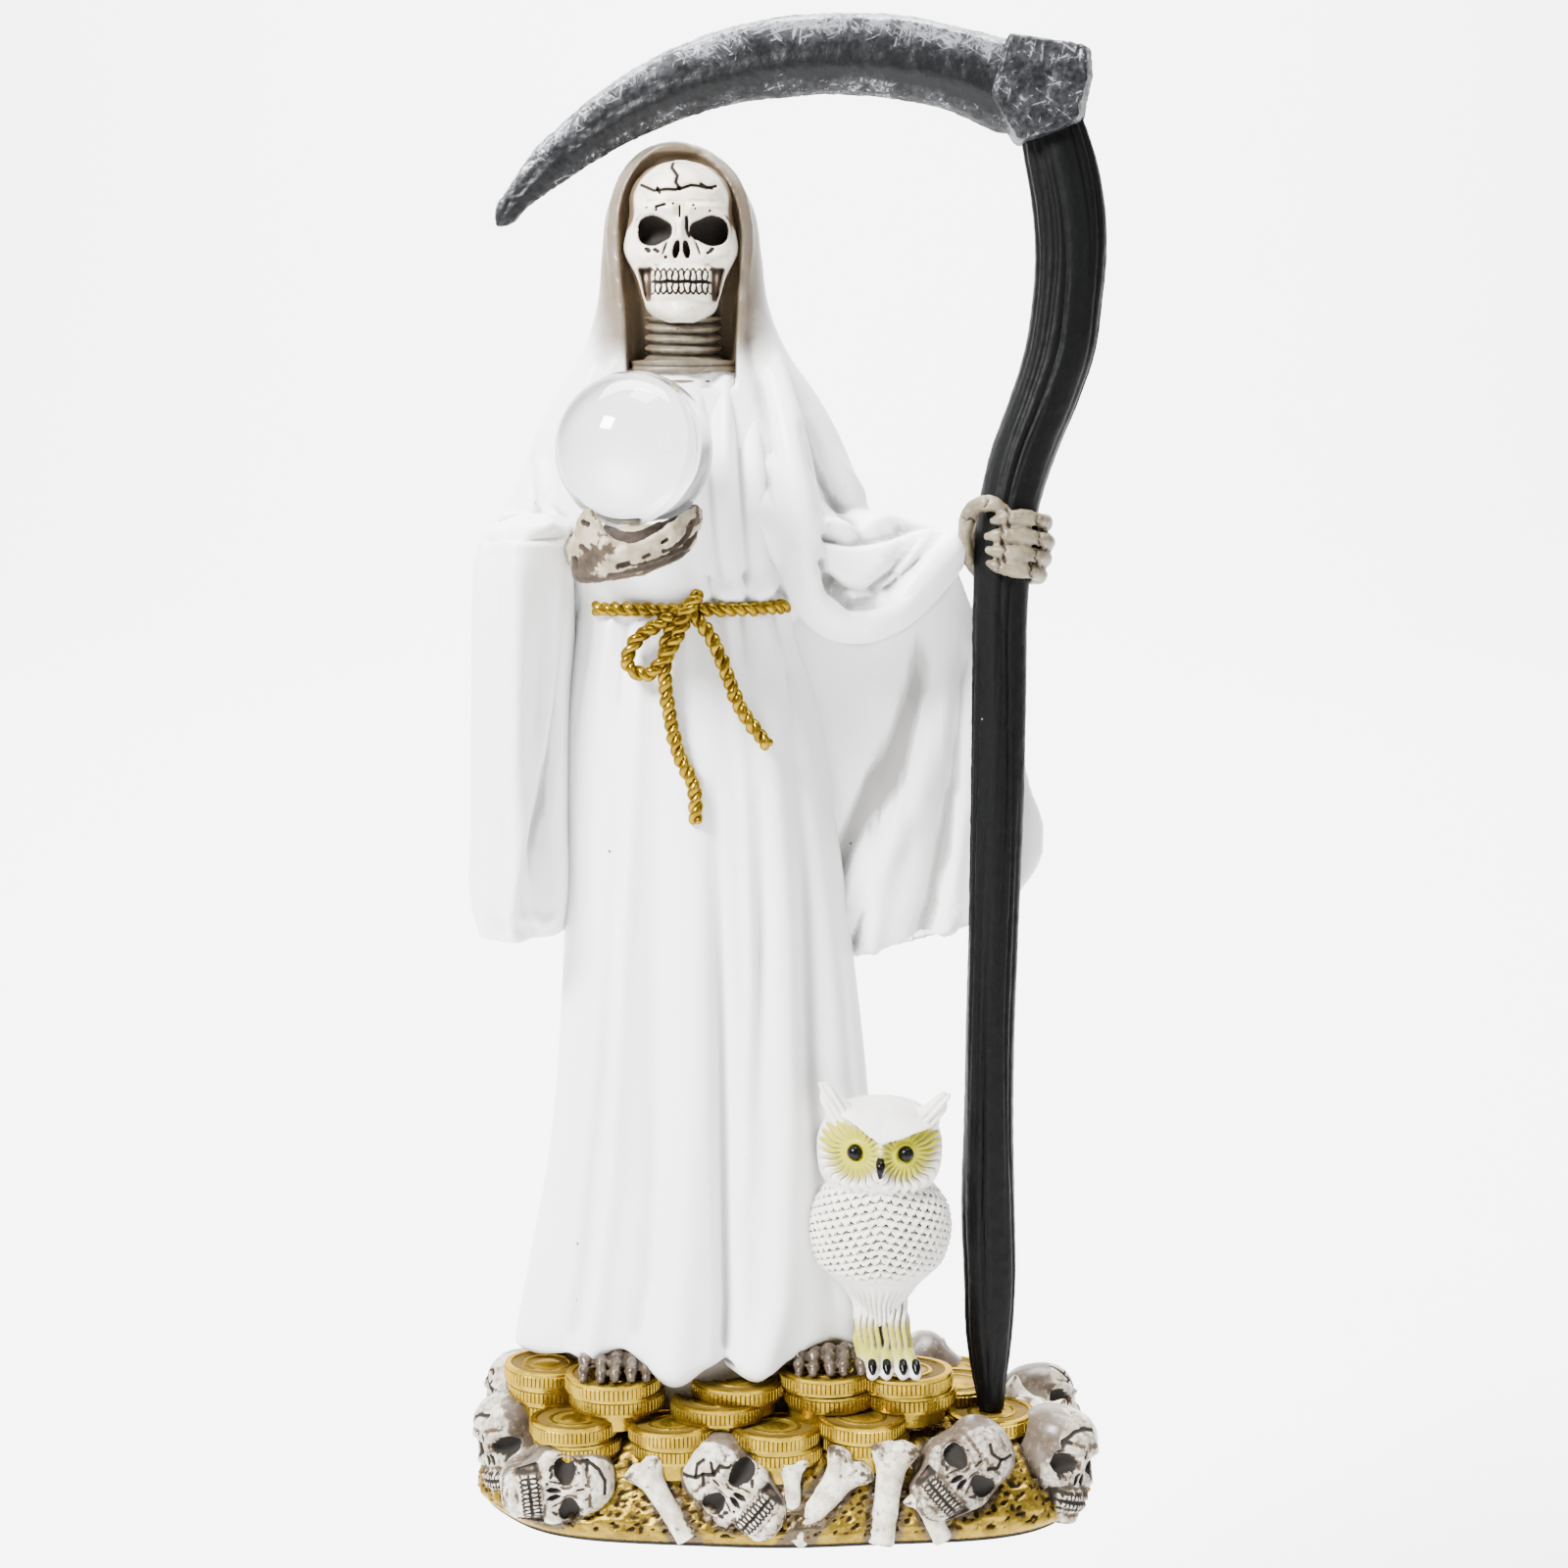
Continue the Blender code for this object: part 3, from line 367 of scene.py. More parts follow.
def sculpt(piece: Thing, pulls: Iterable[Stroke], facing: float = 0.1, gain: float = 1.0) -> None:
    """Raises ridges and presses grooves into the side that faces the viewer.

    Args:
        piece: The piece to sculpt.
        pulls: The pulls of the tool.
        facing: How squarely a place has to face the viewer before it takes a stroke.
        gain: How strongly every stroke is pressed.
    """
    points, normals = points_of(piece), normals_of(piece)
    reach = ease((-normals[:, 1] - facing) / 0.35)
    lift = gain * sum(pull.lift(points[:, 0], points[:, 2]) for pull in pulls)
    move_to(piece, points + normals * (lift * reach)[:, None])


def roughen(piece: Thing, grain: float, strength: float) -> None:
    """Displaces a piece by soft clouds, for a cast surface: their size and height in millimetres."""
    pattern = bpy.data.textures.new(f"{piece.name}_clouds", "CLOUDS")
    pattern.noise_scale = grain * MM
    pattern.noise_depth = 3
    apply(piece, "DISPLACE", texture=pattern, texture_coords="LOCAL", strength=strength * MM, mid_level=0.5)


def trim(piece: Thing, floor: float = 0.6) -> None:
    """Flattens whatever reaches below a height, as the underside of a casting is ground flat."""
    points = points_of(piece)
    points[:, 2] = np.maximum(points[:, 2], floor)
    move_to(piece, points)


def mark(piece: Thing, name: str, values: Net | float) -> None:
    """Stores one number for each vertex under a name that materials read."""
    attribute = piece.data.attributes.get(name) or piece.data.attributes.new(name, "FLOAT", "POINT")
    attribute.data.foreach_set("value", np.full(len(piece.data.vertices), values, dtype=np.float32))


def mark_recesses(piece: Thing, passes: int, depth: float, extra: Net | float = 0.0) -> None:
    """Stores how deep each place lies under its surroundings, where paint gathers and, on some pieces,
    painted shade is laid.

    The value is about 0 on open ground, 1 in a deep recess and negative on a raised edge.

    Args:
        piece: The piece.
        passes: How far the surroundings reach, in rounds of averaging over neighbours.
        depth: How many millimetres count as fully recessed.
        extra: What is added at each vertex.
    """
    points, normals = points_of(piece), normals_of(piece)
    count = len(points)
    ends = np.empty(2 * len(piece.data.edges), dtype=np.int32)
    piece.data.edges.foreach_get("vertices", ends)
    first, second = ends.reshape(-1, 2).T
    here, there = np.concatenate((first, second)), np.concatenate((second, first))
    share = np.maximum(np.bincount(here, minlength=count), 1)
    blurred = points
    for _ in range(passes):
        columns = [np.bincount(here, blurred[there, axis], count) / share for axis in range(3)]
        blurred = np.stack(columns, axis=1)
    mark(piece, "recess", ((blurred - points) * normals).sum(axis=1) / depth + extra)


def along_path(path: Sequence[Point], count: int) -> Net:
    """Evenly spaced points on a smooth curve through the given ones."""
    table = np.array(path, dtype=float)
    steps = np.concatenate(([0.0], np.cumsum(np.linalg.norm(np.diff(table, axis=0), axis=1))))
    curve = Stations(tuple(map(tuple, np.column_stack((steps, table)))))
    return curve.at(np.linspace(0.0, steps[-1], count)).T


def sweep_net(path: Net, radius: Net, sides: int) -> Net:
    """A net of rings along a path, with rounded ends and a radius at each point."""
    along = np.gradient(path, axis=0)
    along /= np.linalg.norm(along, axis=1)[:, None]
    across = np.array(Vector(along[0]).orthogonal().normalized())
    angles = circle(sides).T
    rings = []
    for point, ahead, width in zip(path, along, radius):
        across = across - ahead * (across @ ahead)
        across /= np.linalg.norm(across)
        over = np.cross(ahead, across)
        rings.append(point + width * (np.cos(angles) * across + np.sin(angles) * over))
    first, last = rings[0], rings[-1]
    for back, shrink in ((0.45, 0.88), (0.85, 0.5)):
        rings.insert(0, path[0] - along[0] * radius[0] * back + (first - path[0]) * shrink)
        rings.append(path[-1] + along[-1] * radius[-1] * back + (last - path[-1]) * shrink)
    return np.array(rings)


def limb(name: str, path: Sequence[Point], radii: Sequence[float], sides: int = 20) -> Thing:
    """A smooth round limb through a few points, with a radius at each."""
    count = 8 * len(path)
    points = along_path(path, count)
    widths = np.interp(np.linspace(0, 1, count), np.linspace(0, 1, len(radii)), radii)
    return skin(name, sweep_net(points, widths, sides))


# Materials


class Wire:
    """A value or colour on its way through a material, on which Python's operators add nodes."""

    def __init__(self, tree: "Tree", socket: bpy.types.NodeSocket) -> None:
        """Wraps a socket of a tree."""
        self.tree = tree
        self.socket = socket

    def __add__(self, other: "Wire | float") -> "Wire":
        """Adds a value."""
        return self.tree.maths("ADD", self, other)

    __radd__ = __add__

    def __mul__(self, other: "Wire | float") -> "Wire":
        """Multiplies by a value."""
        return self.tree.maths("MULTIPLY", self, other)

    __rmul__ = __mul__

    def __sub__(self, other: "Wire | float") -> "Wire":
        """Subtracts a value."""
        return self.tree.maths("SUBTRACT", self, other)

    def __rsub__(self, other: "Wire | float") -> "Wire":
        """Subtracts this value from another."""
        return self.tree.maths("SUBTRACT", other, self)

    def __truediv__(self, other: "Wire | float") -> "Wire":
        """Divides by a value."""
        return self.tree.maths("DIVIDE", self, other)

    def __gt__(self, other: "Wire | float") -> "Wire":
        """1 where this value is the larger, 0 elsewhere."""
        return self.tree.maths("GREATER_THAN", self, other)

    def held(self, low: float = 0.0, high: float = 1.0) -> "Wire":
        """The value stretched from low..high to 0..1 and held there."""
        return self.tree.node(
            "ShaderNodeMapRange",
            {"interpolation_type": "SMOOTHSTEP"},
            {"Value": self, "From Min": low, "From Max": high},
        )


class Tree:
    """One material's node tree with a Principled shader at its end."""

    def __init__(self, name: str) -> None:
        """Starts a material."""
        self.material = bpy.data.materials.new(name)
        self.material.use_nodes = True
        self.nodes = self.material.node_tree.nodes
        self.links = self.material.node_tree.links
        self.shader = self.nodes["Principled BSDF"]

    def node(
        self, kind: str, settings: dict[str, object], sockets: dict[str, object], output: int | str = 0
    ) -> Wire:
        """Adds a node and gives the wire from one of its outputs.

        Args:
            kind: The node's type.
            settings: Its own settings.
            sockets: A value or a wire for each named socket.
            output: Which output the wire comes from.
        """
        made = self.nodes.new(kind)
        for key, value in settings.items():
            setattr(made, key, value)
        for key, value in sockets.items():
            self.join(made.inputs[key], value)
        return Wire(self, made.outputs[output])

    def join(self, socket: bpy.types.NodeSocket, value: object) -> None:
        """Links a wire to a socket, or sets the socket to a value."""
        if isinstance(value, Wire):
            self.links.new(value.socket, socket)
        elif isinstance(value, tuple) and socket.type == "RGBA":
            socket.default_value = (*value, 1.0)
        else:
            socket.default_value = value

    def maths(self, operation: str, first: "Wire | float", second: "Wire | float") -> Wire:
        """Adds a Math node on two values."""
        return self.node("ShaderNodeMath", {"operation": operation}, {0: first, 1: second})

    def place(self, stretch: Point = (1.0, 1.0, 1.0), lean: float = 0.0) -> Wire:
        """The object's own coordinates in metres, leant over in degrees and stretched along each axis."""
        coordinates = self.node("ShaderNodeTexCoord", {}, {}, "Object")
        if lean:
            sockets = {"Vector": coordinates, "Angle": math.radians(lean)}
            coordinates = self.node("ShaderNodeVectorRotate", {"rotation_type": "Y_AXIS"}, sockets)
        if stretch == (1.0, 1.0, 1.0):
            return coordinates
        return self.node("ShaderNodeVectorMath", {"operation": "MULTIPLY"}, {0: coordinates, 1: stretch})

    def noise(
        self, size: float, detail: float = 3.0, stretch: Point = (1.0, 1.0, 1.0), lean: float = 0.0
    ) -> Wire:
        """Cloudy noise with features of about the given size in millimetres."""
        sockets = {"Vector": self.place(stretch, lean), "Scale": 1.0 / (size * MM)}
        return self.node("ShaderNodeTexNoise", {}, {**sockets, "Detail": detail, "Roughness": 0.6})

    def attribute(self, name: str) -> Wire:
        """A number stored on the mesh."""
        return self.node("ShaderNodeAttribute", {"attribute_name": name}, {}, "Fac")

    def mix(self, amount: Wire | float, first: "Wire | Colour", second: "Wire | Colour") -> Wire:
        """A colour between two, by an amount."""
        made = self.nodes.new("ShaderNodeMix")
        made.data_type = "RGBA"
        self.join(made.inputs["Factor"], amount)
        self.join(made.inputs[6], first)
        self.join(made.inputs[7], second)
        return Wire(self, made.outputs[2])

    def specks(self, spacing: float, radius: float, share: float) -> Wire:
        """Small scattered spots, 1 inside a spot.

        Args:
            spacing: Millimetres between possible spots.
            radius: Radius of a spot in millimetres.
            share: The share of the possible spots that are there.
        """
        sockets = {"Vector": self.place(), "Scale": 1.0 / (spacing * MM), "Randomness": 1.0}
        distance = self.node("ShaderNodeTexVoronoi", {}, sockets, "Distance")
        chosen = self.node("ShaderNodeTexVoronoi", {}, sockets, "Color")
        luck = self.node("ShaderNodeSeparateColor", {}, {"Color": chosen}, "Red")
        size = luck.held(1.0 - share, 1.0) * (radius / spacing)
        return (size - distance).held(0.0, 0.25 * radius / spacing)

    def finish(self, colour: Wire, roughness: Wire | float, **more: object) -> bpy.types.Material:
        """Connects the shader; other sockets go by name, with underscores for spaces."""
        self.join(self.shader.inputs["Base Color"], colour)
        self.join(self.shader.inputs["Roughness"], roughness)
        for key, value in more.items():
            self.join(self.shader.inputs[key.replace("_", " ")], value)
        return self.material

    def bump(self, height: Wire, strength: float, distance: float) -> Wire:
        """A normal disturbed by a height; the distance is what a height of 1 stands for in millimetres."""
        sockets = {"Height": height, "Strength": strength, "Distance": distance * MM}
        return self.node("ShaderNodeBump", {}, sockets, "Normal")


@dataclass(frozen=True)
class WashedAndShadedPaint:
    """A painted casting: paint on the raised ground, a darker colour in the recesses, specks and a tint. The
    recess colour is paint gathered there, and on the robe, the skull's face and the owl's feathers partly
    painted shade.
    """

    name: str
    paint: Colour
    # A second paint colour, mixed into the first by soft noise.
    shade: Colour
    # Colour in the recesses: paint gathered there, and on the robe, the skull's face and the owl's feathers
    # partly painted shade.
    wash_and_shade: Colour
    deep: Colour = (0.03, 0.018, 0.01)
    start: float = 0.15
    end: float = 0.8
    breakup: float = 0.5
    patch: float = 6.0
    roughness: float = 0.42
    recess_roughness: float = 0.85
    sheen: float = 0.4
    rim: Colour = (1, 1, 1)
    metallic: float = 0.0
    grain: float = 0.5
    relief: float = 0.05
    # Colour laid by the tint mark: the owl's yellow and the palm's cream, brown round the hood's opening, and
    # painted shade inside it, on the under gown and on the skulls' sides and backs.
    tint: Colour = (0.6, 0.5, 0.35)
    blotch: float = 0.35
    speck: Colour = (0.05, 0.045, 0.04)
    speck_spacing: float = 7.0
    speck_radius: float = 0.3
    speck_share: float = 0.0

    def build(self) -> bpy.types.Material:
        """Makes the material."""
        tree = Tree(self.name)
        ragged = tree.noise(self.patch * 0.35, 5.0) - 0.5
        recess = tree.attribute("recess") + ragged * self.breakup
        wash_and_shade_share = recess.held(self.start, self.end)
        ground = tree.mix(tree.noise(self.patch, 4.0).held(0.35, 0.65), self.paint, self.shade)
        tint = tree.attribute("tint")
        colour = tree.mix((tint + ragged * self.blotch * (tint > 0.02)).held(), ground, self.tint)
        colour = tree.mix(wash_and_shade_share, colour, self.wash_and_shade)
        colour = tree.mix(recess.held(self.end, self.end + 0.9), colour, self.deep)
        if self.speck_share > 0.0:
            spots = tree.specks(self.speck_spacing, self.speck_radius, self.speck_share)
            colour = tree.mix(spots, colour, self.speck)
        fine = tree.noise(self.grain, 4.0)
        gloss = wash_and_shade_share * (self.recess_roughness - self.roughness) + (self.roughness - 0.04) + fine * 0.08
        metallic = (1.0 - wash_and_shade_share * 0.8) * self.metallic if self.metallic else 0.0
        normal = tree.bump(fine, 0.5, self.relief)
        shine = {"Specular_IOR_Level": self.sheen, "Specular_Tint": self.rim}
        return tree.finish(colour, gloss, Metallic=metallic, Normal=normal, **shine)


@dataclass(frozen=True)
class DryBrushed:
    """Dark paint with lighter paint dragged over its raised places in short scratches."""

    name: str
    ground: Colour
    drag: Colour
    amount: float
    leans: tuple[float, ...] = (20, 78, -38)
    stretch: Point = (0.16, 1, 1)
    roughness: float = 0.38
    metallic: float = 0.0
    haze: float = 0.3
    sheen: float = 0.3
    grain: float = 0.7
    relief: float = 0.12
    speck_share: float = 0.0

    def build(self) -> bpy.types.Material:
        """Makes the material."""
        tree = Tree(self.name)
        cover = (tree.noise(6.0, 4.0) - 0.5) * 0.5 + tree.attribute("edge") * 0.3 + self.amount
        scratch = tree.noise(self.grain, 3.0, self.stretch, self.leans[0])
        for lean in self.leans[1:]:
            scratch = tree.maths("MAXIMUM", scratch, tree.noise(self.grain, 3.0, self.stretch, lean))
        silver = (scratch + cover).held(0.72, 0.86)
        haze = (tree.noise(1.2, 6.0) * 0.8 + cover * 1.5).held(0.36, 1.0)
        colour = tree.mix(haze * self.haze, self.ground, self.drag)
        colour = tree.mix(silver * 0.85, colour, self.drag)
        if self.speck_share > 0.0:
            colour = tree.mix(tree.specks(5.0, 0.2, self.speck_share), colour, (0.4, 0.4, 0.39))
        metal = silver * self.metallic if self.metallic else 0.0
        normal = tree.bump(tree.noise(1.6, 4.0) + scratch * 0.4, 0.6, self.relief)
        gloss = self.roughness + (0.5 - silver) * 0.1
        return tree.finish(colour, gloss, Metallic=metal, Normal=normal, Specular_IOR_Level=self.sheen)


@dataclass(frozen=True)
class ClearGlass:
    """A solid ball of clear glass."""

    name: str = "clear_glass_ball"

    def build(self) -> bpy.types.Material:
        """Makes the material."""
        tree = Tree(self.name)
        shader = tree.shader
        # Painted shade: the grey in the glass's colour dims what is seen through the ball.
        shader.inputs["Base Color"].default_value = (0.74, 0.745, 0.755, 1.0)
        shader.inputs["Roughness"].default_value = 0.0
        shader.inputs["Transmission Weight"].default_value = 1.0
        shader.inputs["IOR"].default_value = 1.5
        return tree.material


@dataclass(frozen=True)
class StudioFloor:
    """The pale floor."""

    name: str = "studio_floor"

    def build(self) -> bpy.types.Material:
        """Makes the material."""
        tree = Tree(self.name)
        colour = tree.mix(tree.noise(80.0), (0.90, 0.90, 0.90), (0.92, 0.92, 0.92))
        return tree.finish(colour, 0.7)


# Robe paint: the grey recess colour and the deeper grey are painted shade in the fold valleys and hollows.
ROBE_WHITE = WashedAndShadedPaint(
    'robe_white', (0.84, 0.84, 0.838), (0.82, 0.821, 0.823), (0.4, 0.4, 0.397), start=0.12, end=1.7,
    breakup=0.15, deep=(0.26, 0.255, 0.245), recess_roughness=0.6, patch=30, roughness=0.38, grain=0.8,
    relief=0.03, tint=(0.105, 0.076, 0.046), speck_share=0.3, speck_radius=0.44,
)
# Skull paint: its tint is painted shade on the sides and back of the skull.
SKULL_IVORY = WashedAndShadedPaint(
    'skull_ivory', (0.82, 0.775, 0.67), (0.68, 0.6, 0.46), (0.055, 0.03, 0.013),
    deep=(0.006, 0.0035, 0.002), start=0.3, end=0.95, breakup=0.45, patch=4, roughness=0.32, grain=0.4,
    relief=0.04, tint=(0.1, 0.066, 0.036),
)
NECK_BROWN = WashedAndShadedPaint(
    'neck_brown', (0.15, 0.13, 0.09), (0.085, 0.068, 0.043), (0.022, 0.014, 0.008),
    deep=(0.005, 0.003, 0.002), start=0.1, end=1, patch=3, roughness=0.4, tint=(0.085, 0.058, 0.033),
    speck=(0.01, 0.008, 0.006), speck_share=0.35, speck_spacing=3, speck_radius=0.24,
)
HAND_WHITE = WashedAndShadedPaint(
    'hand_white', (0.34, 0.3, 0.21), (0.19, 0.15, 0.09), (0.045, 0.028, 0.014), deep=(0.02, 0.012, 0.006),
    start=0.4, end=0.8, breakup=1.6, patch=4.5, roughness=0.4, grain=0.5, relief=0.08,
    tint=(0.42, 0.4, 0.22),
)
HAND_TAN = WashedAndShadedPaint(
    'hand_tan', (0.17, 0.14, 0.09), (0.1, 0.078, 0.046), (0.03, 0.02, 0.012), deep=(0.02, 0.012, 0.007),
    start=0.2, end=1.2, breakup=0.8, patch=4, roughness=0.42,
)
GOLD_PAINT = WashedAndShadedPaint(
    'gold_paint', (0.27, 0.175, 0.012), (0.13, 0.08, 0.005), (0.03, 0.017, 0.003),
    deep=(0.008, 0.005, 0.002), start=0.1, end=1, breakup=0.6, patch=3, roughness=0.24, recess_roughness=0.7,
    metallic=0.8, grain=0.4, relief=0.05, rim=(0.85, 0.6, 0.2),
)
COIN_GOLD = WashedAndShadedPaint(
    'coin_gold', (0.33, 0.225, 0.022), (0.22, 0.145, 0.012), (0.085, 0.052, 0.008),
    deep=(0.03, 0.018, 0.006), start=0.3, end=1.1, breakup=0.9, patch=4, roughness=0.2, recess_roughness=0.8,
    metallic=0.85, grain=1.1, relief=0.22, rim=(0.75, 0.55, 0.22),
)
TOE_BROWN = WashedAndShadedPaint(
    'toe_brown', (0.075, 0.055, 0.036), (0.032, 0.021, 0.012), (0.014, 0.009, 0.005), start=-0.05, end=0.6,
    breakup=0.9, patch=2, roughness=0.25,
)
# Bone paint: its tint is partly painted shade on the sides and backs of the base skulls.
BONE_WHITE = WashedAndShadedPaint(
    'bone_white', (0.72, 0.68, 0.585), (0.42, 0.365, 0.27), (0.06, 0.039, 0.022),
    deep=(0.006, 0.004, 0.002), start=0.2, end=0.8, breakup=2.7, patch=3.4, roughness=0.32,
    tint=(0.08, 0.06, 0.043), blotch=1.6,
)
GRAVEL_GOLD = WashedAndShadedPaint(
    'gravel_gold', (0.27, 0.18, 0.02), (0.15, 0.095, 0.01), (0.035, 0.02, 0.005),
    deep=(0.006, 0.004, 0.002), start=0.1, end=0.8, breakup=0.9, patch=3, roughness=0.26, metallic=0.65,
    grain=0.6, relief=0.3, rim=(0.8, 0.6, 0.25), tint=(0.07, 0.054, 0.038), blotch=0.8,
)
# Owl paint: its recess colour also lays painted shadow lines under the feather tips.
OWL_PLUMAGE = WashedAndShadedPaint(
    'owl_plumage', (0.77, 0.755, 0.72), (0.7, 0.68, 0.64), (0.2, 0.165, 0.12), deep=(0.025, 0.017, 0.012),
    start=0.3, end=1.3, breakup=0.6, patch=4, roughness=0.4, tint=(0.35, 0.33, 0), sheen=0.25,
    speck_share=0.25, speck_spacing=2.6, speck_radius=0.16,
)
GLOSS_BLACK = WashedAndShadedPaint(
    'gloss_black', (0.002, 0.002, 0.0022), (0.003, 0.003, 0.003), (0.002, 0.002, 0.002), roughness=0.2,
    recess_roughness=0.25, relief=0.01, sheen=0.12,
)
FELT_BLACK = WashedAndShadedPaint(
    'felt_black', (0.006, 0.006, 0.0065), (0.01, 0.01, 0.011), (0.004, 0.004, 0.004), roughness=0.95,
    recess_roughness=0.95, grain=0.25, relief=0.2,
)
HANDLE_BLACK = DryBrushed(
    'handle_black', (0.0011, 0.0012, 0.0014), (0.03, 0.032, 0.035), -0.16, (88, 92), roughness=0.42,
    relief=0.16, haze=0.04, sheen=0.1, speck_share=0.16,
)
BLADE_SILVER = DryBrushed(
    'blade_silver', (0.0026, 0.0028, 0.0034), (0.26, 0.268, 0.29), -0.05, metallic=0.35, relief=0.3,
    haze=0.17, sheen=0.2,
)
CLEAR_GLASS = ClearGlass()
STUDIO_FLOOR = StudioFloor()

BUILT: dict[str, bpy.types.Material] = {}


def dress(
    piece: Thing, finish: WashedAndShadedPaint | DryBrushed | ClearGlass, slot: Slot = Slot.FIGURE, *,
    crisp: float = 180.0, wash_and_shade: tuple[int, float] | None = None, wash_and_shade_amount: Net | float = 0.0, **marks: Net | float
) -> None:
    """Shades a finished piece, marks where its paint and painted shade gather, gives it its material and
    hides the solid that it replaces.

    Args:
        piece: The finished piece, which sits at the origin.
        finish: What it is painted with.
        slot: The record's slot and the solid that it replaces.
        crisp: The angle in degrees from which an edge stays crisp.
        wash_and_shade: How far and how deep a recess is looked for, if the finish darkens its recesses.
        wash_and_shade_amount: More darkening at each vertex, from paint and from painted shade.
        **marks: Other values at each vertex, by the name that the finish reads.
    """
    smooth(piece, crisp)
    if wash_and_shade:
        mark_recesses(piece, *wash_and_shade, wash_and_shade_amount)
    for name, values in marks.items():
        mark(piece, name, values)
    if finish.name not in BUILT:
        BUILT[finish.name] = finish.build()
    piece.data.materials.clear()
    piece.data.materials.append(BUILT[finish.name])
    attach(piece, "root")
    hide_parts(slot.value[1])
    LOG.info("%s: %d faces", piece.name, len(piece.data.polygons))


# The gown and the robe over it


@dataclass(frozen=True)
class Fold:
    """A long soft fold that runs from the waist to the hem, placed by its bearing."""

    waist: float
    hem: float
    width: float
    small: float
    large: float

    def out(self, turns: Net, drop: Net) -> Net:
        """How far the fold stands out at each bearing and share of the drop."""
        middle = self.waist + (self.hem - self.waist) * drop
        return (
            (self.small + (self.large - self.small) * drop**1.2)
            * hump(turned_by(middle, turns), self.width)
        )


@dataclass
class Gown:
    """The long gown, from its wavy hem up to the shoulders."""

    rows: int = 240
    columns: int = 160
    waist: float = 182.0
    sizes: Stations = Stations((
        (32, -18, 35.6, 26.5, 25), (45, -17.3, 34.2, 25.5, 24), (75, -15.2, 31.6, 23.5, 22),
        (110, -15.7, 29.2, 21, 20), (140, -17.3, 27.3, 19, 18.5), (165, -19, 25.4, 17.4, 17),
        (182, -20.6, 22, 15.6, 15.5), (187, -20.6, 21.8, 15.8, 15.5), (193, -20.4, 23.6, 18.2, 16.5),
        (210, -20, 22.5, 17.6, 16.5), (225, -20, 18, 14.6, 15), (235, -20, 12, 10.5, 12),
    ))
    folds: tuple[Fold, ...] = (
        Fold(-62, -80, 15, 0.5, 3.4), Fold(58, 62, 13, 0.6, 2.2), Fold(84, 96, 11, 0.5, 2.6),
        Fold(112, 126, 11, 0.5, 2.4), Fold(140, 156, 11, 0.5, 2.4), Fold(-168, -172, 11, 0.5, 2.4),
        Fold(-138, -142, 11, 0.5, 2.4), Fold(-104, -112, 11, 0.5, 2.6),
    )
    notches: tuple[Point, ...] = ((-29, 15, 3.2), (5, 7, 1.8), (47, 15, 4))
    front_folds: tuple[Stroke, ...] = strokes(
        (
            1.9, (0.3, 0.9, 1.2, 1.5, 1.6), -29.4, 171.6, -30.1, 152.1, -32.1, 112.7, -34.1, 72.7, -37.3,
            46.3, -39.1, 34,
        ),
        (3.2, (-0.3, -1, -1.2), -33.3, 167.7, -35.4, 142.3, -38.5, 92.8, -42.6, 52.4, -45.6, 33),
        (4.8, (0.2, 1.2, 1.7, 2), -17.1, 158, -17.1, 132.5, -17.9, 92.8, -20.2, 52.4, -22.6, 31),
        (3.6, (-0.4, -1.1, -1.3), -24.8, 161.9, -27, 112.7, -27.6, 72.7, -28.7, 52.4, -32.2, 34),
        (1.9, (-0.4, -1.2, -1.6, -2), -14, 150, -12.5, 102.8, -11.7, 62.6, -11.3, 46.3, -11.8, 31),
        (1.4, (0.2, 0.55, 0.3), -9.3, 173.5, -8.1, 152.1, -6.6, 112.7, -7.3, 70),
        (1.6, (-0.2, -0.6, -0.2), -4.7, 150, -4.3, 122.6, -4.9, 102.8, -5.9, 84),
        (3.4, (0.3, 1.1, 1.4, 1.7), -6.2, 183.2, -2.9, 161.9, 0, 122.6, 0.6, 82.7, -1, 46.3, -5, 32),
        (3.2, (-0.5, -1.3, -1.4, -0.8), 1.5, 171.6, 5.5, 132.5, 6.7, 92.8, 9.9, 52.4, 11.5, 34),
        (1.2, (0.7, 0.5, 0), -34.7, 183, -36.3, 171.6, -37.2, 157),
        (1, (-0.6, -0.5, 0), -31.6, 183, -33, 172.6, -33.9, 162),
        (1.2, (0.7, 0.5, 0), -28, 183, -28.6, 173.5, -29, 161.8), (1.2, (0.6, 0), -19.3, 184, -18.9, 168),
        (1.2, (0.8, 0.5, 0), -11.6, 184, -10.4, 171.6, -9.7, 158), (1, (-0.6, 0), -8.2, 184, -7, 170),
        (1.2, (0.7, 0.5, 0), -4.8, 184.2, -1.9, 173.5, 0, 157),
        (1.1, (-0.7, -0.5, 0), -1.4, 184.2, 1.6, 173.5, 3.4, 160),
        (1.5, (0.8, 0.9, 0.6), -11.6, 231, -11.6, 219.5, -10.7, 198.4, -9.3, 191.2),
        (1.5, (-0.8, -0.9, -0.6), -14.3, 231, -14.7, 215.7, -12.6, 192.5),
        (1.4, (0.5, 0.6), -17.6, 215.7, -17, 204.2, -16.3, 192.5),
        (1.3, (-0.7, -0.8, -0.5), -8.9, 231, -8.3, 215.7, -6.6, 191.5),
        (1.5, (0.7, 0.8, 0.6), -6.2, 226, -5.4, 209.9, -3.9, 190.6),
        (1.5, (-1, -1.2, -0.9), -2.9, 228, -1.9, 213.8, -0.6, 189.6), (2.2, 0.9, -18.6, 191, -16.3, 189.4),
        (2.2, 1, -12.4, 189.6, -9.3, 189.4), (2.2, 1.4, -5.4, 189.8, -2.3, 191.8, -0.8, 193.7),
        (0.9, -0.9, -15.1, 192.6, -14, 188), (0.9, -0.9, -7.8, 192.6, -7.4, 188),
    )

